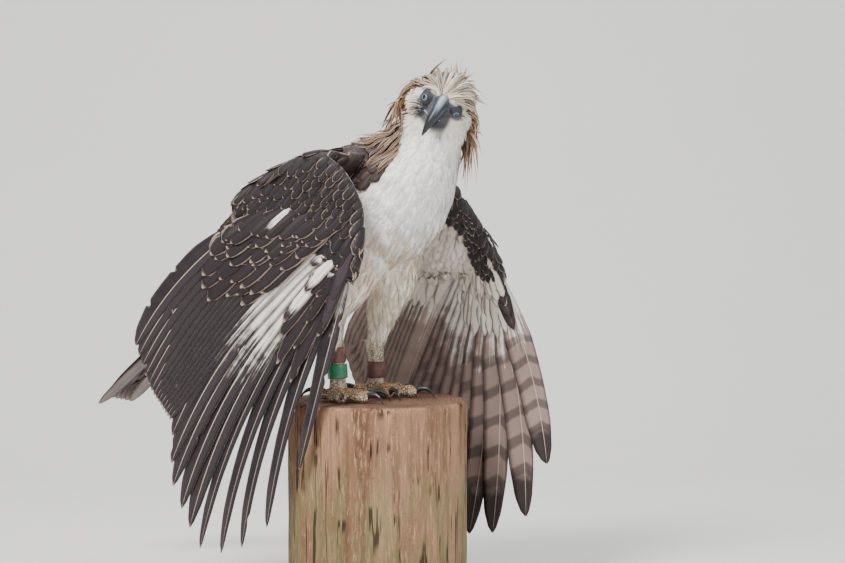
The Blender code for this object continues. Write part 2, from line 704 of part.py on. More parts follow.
def crest_vanes():
    """Lay the crest in rows that fan away from the bill, droop and lift a little at the tips."""
    draw = random.Random(SEED)
    forward, left, up = head_axes()
    down = Vector((0.0, 0.0, -1.0))
    middle = head_point(*SKULL_CENTRE)
    vanes = []
    for row, pitch_degrees in enumerate(CREST_PITCH):
        pitch = math.radians(pitch_degrees)
        count = CREST_COUNT[row]
        for index in range(count):
            swing = CREST_SWING * (2.0 * (index + 0.5 * (row % 2)) / (count - 0.5) - 1.0)
            out = (forward * (math.cos(pitch) * math.cos(swing)) + left * math.sin(swing)
                   + up * (math.sin(pitch) * math.cos(swing))).normalized()
            away = (out * out.dot(forward) - forward).normalized()
            flow = away + down * CREST_DROOP + left * draw.uniform(-0.10, 0.10)
            flow = (flow - out * flow.dot(out)).normalized()
            lift = CREST_LIFT + CREST_SIDE_LIFT * out.dot(left) ** 2 + draw.uniform(-0.05, 0.08)
            flow = (flow + out * lift).normalized()
            root = middle + (forward * (out.dot(forward) * SKULL_HALF[0])
                             + left * (out.dot(left) * SKULL_HALF[1])
                             + up * (out.dot(up) * SKULL_HALF[2])) * 0.90
            length = CREST_LENGTH[row] * draw.uniform(0.88, 1.15)
            tip = root + flow * length
            normal = (out - flow * out.dot(flow)).normalized()
            vanes.append(Vane(root, tip, normal, CREST_WIDTH, 1.0, 0.5, length * CREST_BOW, 0.0,
                              draw.uniform(-0.25, 0.25), CREST_OUTLINE))
    for side in (-1.0, 1.0):
        for index in range(RUFF_FEATHERS):
            turn = math.radians(50.0 - 100.0 * index / (RUFF_FEATHERS - 1))
            out = (left * (side * math.cos(turn)) + up * math.sin(turn) - forward * 0.55).normalized()
            root = head_point(CHEEK_CENTRE[0] + out.dot(forward) * CHEEK_HALF[0] * 0.8,
                              side * CHEEK_CENTRE[1] + out.dot(left) * CHEEK_HALF[1] * 0.8,
                              CHEEK_CENTRE[2] + out.dot(up) * CHEEK_HALF[2] * 0.8)
            flow = (out * 0.55 - forward * 0.45 + down * 0.75).normalized()
            normal = (out - flow * out.dot(flow)).normalized()
            vanes.append(Vane(root, root + flow * RUFF_LENGTH, normal, CREST_WIDTH, 1.0, 0.5,
                              RUFF_LENGTH * CREST_BOW, 0.0, draw.uniform(-0.2, 0.2), CREST_OUTLINE))
    return vanes


def build_head(materials, neck):
    """Build the head with crest, lids, gape and sockets, the bill in two and both eyes."""
    forward, left, up = head_axes()
    upper = bill_loft("bill_upper", BILL_UPPER)
    for side in (-1.0, 1.0):
        place = head_point(NOSTRIL_PLACE[0], side * 0.0135, NOSTRIL_PLACE[1])
        slot = oval("slot", place, NOSTRIL_HALF, (forward, left, up), 8, 6)
        apply_boolean(upper, [slot], "DIFFERENCE")
    keep_largest(upper)
    lower = bill_loft("bill_lower", BILL_LOWER)
    apply_boolean(lower, [swollen(upper)], "DIFFERENCE")
    keep_largest(lower)
    finish(upper, materials["bill"])
    finish(lower, materials["bill"])
    eyes = []
    for side, name in ((-1.0, "eye_right"), (1.0, "eye_left")):
        centre = head_point(EYE_PLACE[0], side * EYE_PLACE[1], EYE_PLACE[2])
        eye = oval(name, centre, (EYE_RADIUS,) * 3, (forward, left, up), 14, 9)
        finish(eye, materials["eye"])
        eyes.append(eye)
    head = oval("head", head_point(*SKULL_CENTRE), SKULL_HALF, (forward, left, up), 18, 12)
    pieces = [oval("face", head_point(*FACE_CENTRE), FACE_HALF, (forward, left, up), 12, 7),
              oval("throat", head_point(*THROAT_CENTRE), THROAT_HALF, (forward, left, up), 10, 6)]
    collar = [on_post(NECK[-1][0]), head_point(*COLLAR_END)]
    pieces.append(tube("collar", collar, COLLAR_RADII, 16))
    for side in (-1.0, 1.0):
        cheek = head_point(CHEEK_CENTRE[0], side * CHEEK_CENTRE[1], CHEEK_CENTRE[2])
        pieces.append(oval("cheek", cheek, CHEEK_HALF, (forward, left, up), 10, 6))
        centre = head_point(EYE_PLACE[0], side * EYE_PLACE[1], EYE_PLACE[2])
        pieces.append(lid_ring(centre, side))
    pieces += [vane_solid(vane) for vane in crest_vanes()]
    apply_boolean(head, pieces, "UNION")
    for cutter in (upper, lower, eyes[0], eyes[1], neck):
        apply_boolean(head, [swollen(cutter)], "DIFFERENCE")
    apply_boolean(head, nape_ovals(GAP), "DIFFERENCE")
    keep_largest(head)
    finish(head, materials["head"])
    return head


def lid_ring(centre: Vector, side: float):
    """Build the raised rim of lids round one eye."""
    forward, left, up = head_axes()
    look = (left * side * LOOK_OUT + forward * LOOK_FORWARD).normalized()
    across = look.cross(up).normalized()
    rise = across.cross(look).normalized()
    points = []
    faces = []
    for index in range(LID_STEPS):
        angle = 2.0 * math.pi * index / LID_STEPS
        out = across * math.cos(angle) + rise * math.sin(angle) * LID_FLATTEN
        middle = centre + look * (EYE_RADIUS * LID_SET) + out * (EYE_RADIUS * LID_FLATTEN)
        following = (index + 1) % LID_STEPS
        for step in range(LID_SECTION):
            turn = 2.0 * math.pi * step / LID_SECTION
            points.append(middle + out.normalized() * (math.cos(turn) * LID_RING)
                          + look * (math.sin(turn) * LID_RING))
            after = (step + 1) % LID_SECTION
            faces.append((index * LID_SECTION + step, index * LID_SECTION + after,
                          following * LID_SECTION + after, following * LID_SECTION + step))
    return mesh_object("lid", points, faces)


def build_leg(side: str, leg, toes, bands, materials, neighbours):
    """Build one leg: thigh, tarsus, foot with its toes, claws and what it wears."""
    hip = on_post(leg["hip"])
    knee = on_post(leg["knee"])
    heel = on_post(leg["heel"])
    ankle = on_post(leg["ankle"])
    start = heel.lerp(ankle, leg["share"])
    axis = (ankle - heel).normalized()
    centres = [hip, hip.lerp(knee, 0.6)] + [on_post(row[:3]) for row in leg["trouser"]]
    centres += [start - axis * TROUSER_HEM, start]
    radii = list(THIGH_RADII[:2]) + [row[3] for row in leg["trouser"]] + list(THIGH_RADII[2:])
    thigh = tube("thigh_" + side, centres, radii, 14)
    for neighbour in neighbours:
        apply_boolean(thigh, [swollen(neighbour)], "DIFFERENCE")
    keep_largest(thigh)
    finish(thigh, materials["trouser"])
    start = start + axis * GAP
    foot_top = on_post((leg["ankle"][0], leg["ankle"][1], FOOT_HEIGHT))
    tarsus = tube("tarsus_" + side, [start, foot_top], (TARSUS_RADIUS, TARSUS_RADIUS), 14)
    finish(tarsus, materials["scale"])
    for name, (low, high, outer), material in bands:
        build_band(name, start, foot_top, low, high, outer, material)
    build_foot(side, foot_top, toes, materials, tarsus)
    return thigh


def build_band(name: str, start: Vector, end: Vector, low: float, high: float,
               outer: float, material):
    """Build a ring round the tarsus between two heights above the post's top."""
    axis = (end - start).normalized()
    rise = start.z - end.z
    bottom = start.lerp(end, (start.z - PERCH_TOP - low) / rise)
    top = start.lerp(end, (start.z - PERCH_TOP - high) / rise)
    side = axis.cross(Vector((1.0, 0.0, 0.0))).normalized()
    other = axis.cross(side).normalized()
    sides = 18
    inner = TARSUS_RADIUS + GAP * 2.0
    points = []
    for place, radius in ((bottom, inner), (bottom, outer), (top, outer), (top, inner)):
        for index in range(sides):
            angle = 2.0 * math.pi * index / sides
            points.append(place + side * (math.cos(angle) * radius)
                          + other * (math.sin(angle) * radius))
    faces = []
    for row in range(4):
        after = (row + 1) % 4
        for index in range(sides):
            neighbour = (index + 1) % sides
            faces.append((row * sides + index, row * sides + neighbour,
                          after * sides + neighbour, after * sides + index))
    band = mesh_object(name, points, faces)
    finish(band, material)
    return band


def build_foot(side: str, top: Vector, toes, materials, tarsus):
    """Build a foot with four toes lying on the post, and a claw on each toe."""
    floor = PERCH_TOP + GAP
    pad = tube("foot_" + side, [top, top - Vector((0.0, 0.0, 0.008)),
                                Vector((top.x, top.y, floor + 0.004)),
                                Vector((top.x, top.y, floor))],
               (TARSUS_RADIUS + 0.001, 0.0155, 0.0165, 0.013), 12)
    pieces = []
    claws = []
    for name, degrees, length, claw in toes:
        angle = math.radians(degrees)
        way = Vector((math.cos(angle), math.sin(angle), 0.0))
        base = Vector((top.x, top.y, 0.0))
        heights = (0.0120, 0.0125, 0.0100, 0.0112, 0.0098)
        shares = (0.05, 0.35, 0.62, 0.84, 1.0)
        radii = (TOE_RADIUS * 1.15, TOE_RADIUS * 1.02, TOE_RADIUS * 0.95, TOE_RADIUS * 1.0,
                 TOE_RADIUS * 0.62)
        centres = [base + way * (length * s) + Vector((0.0, 0.0, floor + h))
                   for s, h in zip(shares, heights)]
        pieces.append(tube("toe", centres, radii, 8))
        claws.append(build_claw("claw_" + side + "_" + name, centres[-1], way, claw,
                                materials["claw"]))
    apply_boolean(pad, pieces, "UNION")
    mesh = bpy.data.meshes.new("below")
    work = bmesh.new()
    bmesh.ops.create_cube(work, size=0.4)
    for vert in work.verts:
        vert.co += Vector((top.x, top.y, floor - 0.2))
    work.to_mesh(mesh)
    work.free()
    below = bpy.data.objects.new("below", mesh)
    bpy.context.scene.collection.objects.link(below)
    cutters = [below, swollen(tarsus)] + [swollen(item) for item in claws]
    apply_boolean(pad, cutters, "DIFFERENCE")
    keep_largest(pad)
    finish(pad, materials["scale"])
    return pad


def build_claw(name: str, base: Vector, way: Vector, length: float, material):
    """Build a hooked claw that rises from its toe and bends down to the wood."""
    centres = []
    radii = []
    steps = 6
    bend = math.radians(115.0)
    radius = length / bend
    begin = math.radians(38.0)
    place = base - way * 0.004
    for index in range(steps):
        t = index / (steps - 1)
        angle = begin - bend * t
        centres.append(place.copy())
        radii.append(CLAW_RADIUS * (1.0 - 0.90 * t ** 1.3))
        place = place + (way * math.cos(angle) + Vector((0.0, 0.0, math.sin(angle)))) * (
            length / (steps - 1))
    low = min(c.z - r for c, r in zip(centres, radii))
    rise = max(PERCH_TOP + GAP - low, 0.0)
    for index, centre in enumerate(centres):
        share = index / (steps - 1)
        centre.z += rise * share
    claw = tube(name, centres, radii, 8)
    lowest = min((claw.matrix_world @ v.co).z for v in claw.data.vertices)
    if lowest < PERCH_TOP + GAP:
        for vert in claw.data.vertices:
            vert.co.z = max(vert.co.z, PERCH_TOP + GAP)
    finish(claw, material)
    return claw


def build_tail(material, torso):
    """Build the tail: a padded root and a stack of long feathers, the middle pair on top."""
    shaft = (TAIL_TIP - TAIL_ROOT).normalized()
    across = (BIRD_RIGHT - shaft * BIRD_RIGHT.dot(shaft)).normalized()
    normal = across.cross(shaft).normalized()
    if normal.z < 0.0:
        normal = -normal
    root = on_post(TAIL_ROOT)
    rings = []
    for reach, half, thick in TAIL_PAD:
        rings.append(ring(root + shaft * reach, across, normal, half, thick, thick, 16))
    tail = loft("tail", rings)
    pieces = []
    for index in range(TAIL_FEATHERS):
        side = -1.0 if index % 2 == 0 else 1.0
        step = index // 2
        spread = side * (0.5 + step) / (TAIL_FEATHERS * 0.5)
        layer = normal * (TAIL_LAYER * (5.0 - 2.0 * step - 0.5 * side))
        begin = root + shaft * 0.035 + across * (spread * 0.020) + layer
        end = (on_post(TAIL_TIP) + across * (spread * TAIL_SPREAD) + layer
               - shaft * (0.012 * abs(spread)))
        vane = Vane(begin, end, normal, TAIL_WIDTH, side, 0.42, TAIL_BOW, 0.0,
                    0.0, LONG_OUTLINE)
        pieces.append(vane_solid(vane))
    apply_boolean(tail, pieces, "UNION")
    apply_boolean(tail, [swollen(torso)], "DIFFERENCE")
    keep_largest(tail)
    finish(tail, material)
    return tail


def build_stand(materials):
    """Build the flat base and the cut length of post on it."""
    base = turned("stand_base", ((BASE_RADIUS - BASE_BEVEL, 0.0), (BASE_RADIUS, BASE_BEVEL),
                                 (BASE_RADIUS, BASE_THICKNESS - BASE_BEVEL),
                                 (BASE_RADIUS - BASE_BEVEL, BASE_THICKNESS)))
    finish(base, materials["base"])
    low = BASE_THICKNESS + GAP
    profile = [(POST_RADIUS, low), (POST_RADIUS, PERCH_TOP - POST_RIM)]
    for step in range(1, 5):
        angle = math.pi / 2.0 * step / 4.0
        profile.append((POST_RADIUS - POST_RIM * (1.0 - math.cos(angle)),
                        PERCH_TOP - POST_RIM * (1.0 - math.sin(angle))))
    post = turned("perch_post", profile)
    finish(post, materials["post"])


def build_all() -> None:
    """Build every node of the model."""
    clear_scene()
    materials = {
        "body": make_material("white_breast", (0.80, 0.76, 0.70), 0.8),
        "neck": make_material("white_neck", (0.78, 0.72, 0.62), 0.8),
        "head": make_material("crest_cream", (0.62, 0.45, 0.28), 0.8),
        "bill": make_material("bill_slate", (0.09, 0.11, 0.14), 0.35),
        "eye": make_material("eye_grey", (0.45, 0.52, 0.55), 0.1),
        "wing": make_material("wing_brown", (0.10, 0.07, 0.06), 0.6),
        "tail": make_material("tail_brown", (0.16, 0.11, 0.08), 0.6),
        "trouser": make_material("trouser_cream", (0.66, 0.56, 0.44), 0.8),
        "scale": make_material("scale_cream", (0.62, 0.52, 0.36), 0.6),
        "claw": make_material("claw_black", (0.02, 0.02, 0.025), 0.25),
        "cuff": make_material("cuff_leather", (0.10, 0.05, 0.04), 0.6),
        "band": make_material("band_green", (0.05, 0.35, 0.16), 0.4),
        "post": make_material("post_wood", (0.32, 0.21, 0.13), 0.85),
        "base": make_material("base_dark", (0.05, 0.05, 0.05), 0.5),
    }
    build_stand(materials)
    torso = build_trunk(materials["body"])
    neck = build_neck(materials["neck"])
    build_head(materials, neck)
    build_tail(materials["tail"], torso)
    thigh = build_leg("right", LEG_RIGHT, TOES_RIGHT,
                      (("anklet_right", CUFF_RIGHT, materials["cuff"]),
                       ("leg_band", BAND_RIGHT, materials["band"])), materials, (torso,))
    build_leg("left", LEG_LEFT, TOES_LEFT,
              (("anklet_left", CUFF_LEFT, materials["cuff"]),), materials, (torso, thigh))
    build_wing(RIGHT_WING, materials["wing"], torso)
    build_wing(LEFT_WING, materials["wing"], torso)


build_all()
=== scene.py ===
"""A life-size museum model of a Philippine eagle on a cut post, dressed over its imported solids."""

import json
import logging
import math
from collections.abc import Callable
from dataclasses import dataclass, field
from enum import Enum

import bmesh
import bpy
import numpy as np
from mathutils import Matrix, Vector
from mathutils.bvhtree import BVHTree
from mathutils.geometry import barycentric_transform

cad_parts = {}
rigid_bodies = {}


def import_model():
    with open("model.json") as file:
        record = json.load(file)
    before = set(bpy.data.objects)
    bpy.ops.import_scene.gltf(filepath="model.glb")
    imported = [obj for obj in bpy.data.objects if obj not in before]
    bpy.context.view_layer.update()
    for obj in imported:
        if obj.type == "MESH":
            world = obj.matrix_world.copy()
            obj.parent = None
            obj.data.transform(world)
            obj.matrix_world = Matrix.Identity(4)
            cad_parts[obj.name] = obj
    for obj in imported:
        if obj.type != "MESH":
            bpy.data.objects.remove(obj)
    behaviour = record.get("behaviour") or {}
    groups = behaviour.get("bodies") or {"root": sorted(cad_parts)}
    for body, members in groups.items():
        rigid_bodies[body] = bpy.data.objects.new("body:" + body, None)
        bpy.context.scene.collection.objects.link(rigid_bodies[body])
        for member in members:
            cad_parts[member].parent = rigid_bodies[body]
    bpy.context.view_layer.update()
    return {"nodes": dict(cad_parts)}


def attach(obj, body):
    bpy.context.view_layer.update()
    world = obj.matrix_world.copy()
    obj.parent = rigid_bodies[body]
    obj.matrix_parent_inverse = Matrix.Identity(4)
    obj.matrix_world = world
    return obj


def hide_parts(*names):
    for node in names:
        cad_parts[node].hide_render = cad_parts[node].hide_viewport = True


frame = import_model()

Triple = tuple[float, float, float]
Triples = tuple[Triple, ...]
Socket = bpy.types.NodeSocket

LOG = logging.getLogger("eagle")
PERCH_TOP = 0.300
UP = np.array((0.0, 0.0, 1.0))
ATLAS_CELLS = 10
PATCH = 0.003


def unit(vector: np.ndarray) -> np.ndarray:
    """Returns the vector, or each row of an array of vectors, at length one."""
    vector = np.asarray(vector, float)
    size = np.linalg.norm(vector, axis=-1, keepdims=True)
    return vector / np.maximum(size, 1e-9)


def on_post(point: Triple) -> np.ndarray:
    """Returns a place given from the middle of the post's top, in the frame of the model."""
    return np.array(point, float) + (0.0, 0.0, PERCH_TOP)


def along(points: np.ndarray, share: float) -> np.ndarray:
    """Reads a smooth curve through a few points.

    Args:
        points: the places that the curve passes, one a row.
        share: 0 at the first point and 1 at the last.
    Returns:
        The place on the curve.
    """
    points = np.asarray(points, float)
    place = min(max(share, 0.0), 1.0) * (len(points) - 1)
    index = min(int(place), len(points) - 2)
    t = place - index
    b, c = points[index], points[index + 1]
    a = points[index - 1] if index > 0 else 2 * b - c
    d = points[index + 2] if index + 2 < len(points) else 2 * c - b
    return 0.5 * (2 * b + (c - a) * t + (2 * a - 5 * b + 4 * c - d) * t * t
                  + (3 * b - a - 3 * c + d) * t * t * t)


def smooth(low: float, high: float, value: np.ndarray) -> np.ndarray:
    """Returns a soft step from 0 at low to 1 at high."""
    t = np.clip((np.asarray(value, float) - low) / (high - low), 0.0, 1.0)
    return t * t * (3 - 2 * t)


def paint(red: int, green: int, blue: int) -> Triple:
    """Turns a colour as a painter mixes it, 0 to 255, into scene-linear values."""
    values = np.array((red, green, blue)) / 255.0
    linear = np.where(values <= 0.04045, values / 12.92, ((values + 0.055) / 1.055) ** 2.4)
    return tuple(float(v) for v in linear)


def ripple(places: np.ndarray, scale: float, seed: int) -> np.ndarray:
    """Returns a smooth seeded wave over places, about -1 to 1, for gentle unevenness.

    Args:
        places: the points, one a row.
        scale: metres from crest to crest.
        seed: chooses the pattern.
    Returns:
        One value for each point.
    """
    draw = np.random.default_rng(seed)
    total = np.zeros(len(places))
    for _ in range(6):
        way = unit(draw.normal(size=3)) * (2 * math.pi / (scale * draw.uniform(0.6, 1.5)))
        total += np.sin(places @ way + draw.uniform(0, 6.28))
    return total / 3.2


def shade_of(tints: np.ndarray) -> np.ndarray:
    """Gives an array of colours its fourth value."""
    return np.concatenate((tints, np.full(tints.shape[:-1] + (1,), 0.5)), axis=-1)


def plain(colour: Triple, rows: int) -> dict[str, np.ndarray]:
    """Returns one tint for every row of a loft."""
    return {"tint": shade_of(np.tile(np.array(colour), (rows, 1)))}


class MeshDraft:
    """Gathers points, faces, maps and colours from many small forms, then makes one mesh."""

    def __init__(self) -> None:
        """Starts with nothing in it."""
        self.points: list[np.ndarray] = []
        self.faces: list[np.ndarray] = []
        self.maps: dict[str, list[np.ndarray]] = {}
        self.colours: dict[str, list[np.ndarray]] = {}
        self.count = 0

    def add(self, points: np.ndarray, faces: np.ndarray, maps: dict[str, np.ndarray],
            colours: dict[str, np.ndarray]) -> None:
        """Adds one form.

        Args:
            points: its points, one a row.
            faces: four point numbers a row, the last -1 for a triangle.
            maps: a map name to a place for each corner, shaped like faces with two values.
            colours: an attribute name to a colour for each point.
        """
        shifted = np.where(faces >= 0, faces + self.count, -1)
        self.points.append(points)
        self.faces.append(shifted)
        self.count += len(points)
        for name, values in maps.items():
            self.maps.setdefault(name, []).append(values)
        for name, values in colours.items():
            self.colours.setdefault(name, []).append(values)

    def build(self, name: str, material: bpy.types.Material) -> bpy.types.Object:
        """Makes the object.

        Args:
            name: the piece's name.
            material: its finish.
        Returns:
            The object, linked into the scene at the origin.
        """
        points = np.concatenate(self.points)
        faces = np.concatenate(self.faces)
        shown = faces >= 0
        starts = np.concatenate(([0], np.cumsum(shown.sum(1))[:-1]))
        mesh = bpy.data.meshes.new(name)
        mesh.vertices.add(len(points))
        mesh.vertices.foreach_set("co", points.astype(np.float32).ravel())
        mesh.loops.add(int(shown.sum()))
        mesh.loops.foreach_set("vertex_index", faces[shown].astype(np.int32))
        mesh.polygons.add(len(faces))
        mesh.polygons.foreach_set("loop_start", starts.astype(np.int32))
        mesh.update(calc_edges=True)
        for map_name, parts in self.maps.items():
            layer = mesh.uv_layers.new(name=map_name, do_init=False)
            layer.uv.foreach_set("vector", np.concatenate(parts)[shown].astype(np.float32).ravel())
        for colour_name, parts in self.colours.items():
            layer = mesh.attributes.new(colour_name, "FLOAT_COLOR", "POINT")
            layer.data.foreach_set("color", np.concatenate(parts).astype(np.float32).ravel())
        mesh.polygons.foreach_set("use_smooth", np.ones(len(faces), bool))
        mesh.validate()
        mesh.materials.append(material)
        item = bpy.data.objects.new(name, mesh)
        bpy.context.scene.collection.objects.link(item)
        return item

    def loft(self, rings: np.ndarray, colours: dict[str, np.ndarray] | None = None) -> None:
        """Adds a closed skin through rings of points, with a pole at each end and a map in metres.

        Args:
            rings: rows of rings, counter-clockwise seen from ahead, shaped rows, points, 3.
            colours: an attribute name to one colour for each row, or for each point of each row.
        """
        rows, count = rings.shape[:2]
        begin, end = rings[0].mean(0), rings[-1].mean(0)
        points = np.concatenate((rings.reshape(-1, 3), [begin, end]))
        i, j = np.meshgrid(np.arange(rows - 1), np.arange(count), indexing="ij")
        after = (j + 1) % count
        faces = np.stack((i * count + j, i * count + after, (i + 1) * count + after,
                          (i + 1) * count + j), -1).reshape(-1, 4)
        steps = np.linalg.norm(np.diff(rings.mean(1), axis=0), axis=1)
        rise = np.concatenate(([0.0], np.cumsum(steps)))
        girth = np.linalg.norm(np.diff(rings, axis=1), axis=2).sum(1).mean() * count / (count - 1)
        across = np.arange(count + 1) / count * girth
        corner = np.stack((across[j], across[j + 1], across[j + 1], across[j]), -1)
        height = np.stack((rise[i], rise[i], rise[i + 1], rise[i + 1]), -1)
        places = np.stack((corner, height), -1).reshape(-1, 4, 2)
        turn = np.arange(count)
        nxt = (turn + 1) % count
        last = (rows - 1) * count
        none = np.full(count, -1)
        low = np.stack((np.full(count, rows * count), nxt, turn, none), -1)
        high = np.stack((np.full(count, rows * count + 1), last + turn, last + nxt, none), -1)
        ends = []
        for height_at, sign in ((0.0, -1.0), (rise[-1], 1.0)):
            spread = np.zeros((count, 4, 2))
            spread[:, 0] = (girth * 0.5, height_at + sign * girth / 6.3)
            spread[:, 1, 0] = across[turn + (1 if sign < 0 else 0)]
            spread[:, 2, 0] = across[turn + (0 if sign < 0 else 1)]
            spread[:, 1:, 1] = height_at
            ends.append(spread)
        shades = {}
        for name, values in (colours or {}).items():
            body = np.repeat(values, count, axis=0) if values.ndim == 2 else values.reshape(-1, 4)
            shades[name] = np.concatenate((body, body[:1], body[-1:]))
        self.add(points, np.concatenate((faces, low, high)),
                 {"wrap": np.concatenate((places, ends[0], ends[1]))}, shades)

    def band(self, rings: np.ndarray, pitch: float, colours: dict[str, np.ndarray]) -> None:
        """Adds rings whose last one closes back on the first.

        Args:
            rings: rows of rings, shaped rows, points, 3.
            pitch: the size of one face on the map.
            colours: an attribute name to a colour for each point.
        """
        rows, count = rings.shape[:2]
        i, j = np.meshgrid(np.arange(rows), np.arange(count), indexing="ij")
        next_i, next_j = (i + 1) % rows, (j + 1) % count
        faces = np.stack((i * count + j, i * count + next_j, next_i * count + next_j, next_i * count + j),
                         -1)
        across = np.stack((j, j + 1, j + 1, j), -1) * pitch
        rise = np.stack((i, i, i + 1, i + 1), -1) * pitch
        self.add(rings.reshape(-1, 3), faces.reshape(-1, 4),
                 {"wrap": np.stack((across, rise), -1).reshape(-1, 4, 2)}, colours)


def tube_rings(path: np.ndarray, radii: np.ndarray, sides: int, shape: np.ndarray | None = None,
               up: np.ndarray = UP) -> np.ndarray:
    """Rings square to a path.

    Args:
        path: the middle line, one point a row.
        radii: the radius at each point.
        sides: points in each ring.
        shape: a share of the radius for each row and side, or None for round.
        up: the way that the first side leans to.
    Returns:
        The rings, shaped rows, sides, 3.
    """
    way = unit(np.gradient(path, axis=0))
    side = unit(np.cross(np.broadcast_to(up, way.shape), way))
    rise = unit(np.cross(way, side))
    angle = np.linspace(0, 2 * math.pi, sides, endpoint=False)
    spokes = (np.cos(angle)[None, :, None] * rise[:, None] - np.sin(angle)[None, :, None] * side[:, None])
    scale = radii[:, None] * (np.ones((len(path), sides)) if shape is None else shape)
    return path[:, None] + spokes * scale[..., None]


def fine_curve(points: list[np.ndarray], rows: int) -> np.ndarray:
    """Returns evenly shared points on the smooth curve through a few points."""
    return np.array([along(points, share) for share in np.linspace(0, 1, rows)])


@dataclass(frozen=True)
class Plumage:
    """How one feather is marked, above and below."""

    tint: Triple
    under: Triple
    edge: Triple
    edge_width: float = 0.10
    shaft: Triple = (0.05, 0.04, 0.035)
    shaft_width: float = 0.05
    bars: float = 0.0
    white_base: float = 0.0
    dark_tip: float = 0.0
    barbs: float = 0.5
    under_bars: float = 0.0
    under_white: float = 0.0
    under_tip: float = 0.0


@dataclass
class Plume:
    """One feather laid on a path: its widths, arch and thickness."""

    path: np.ndarray
    normals: np.ndarray
    width: float
    outline: tuple[tuple[float, float], ...]
    look: Plumage
    tone: float = 0.5
    lead_share: float = 0.5
    lead_sign: float = 1.0
    turn: float = 0.0
    camber: float = 0.10
    thick: float = 0.0005
    columns: tuple[float, ...] = (-1.0, -0.45, 0.0, 0.45, 1.0)
    splits: int = 0
    ragged: float = 0.03
    quill: float = 0.0006
    chevron: float = 0.0


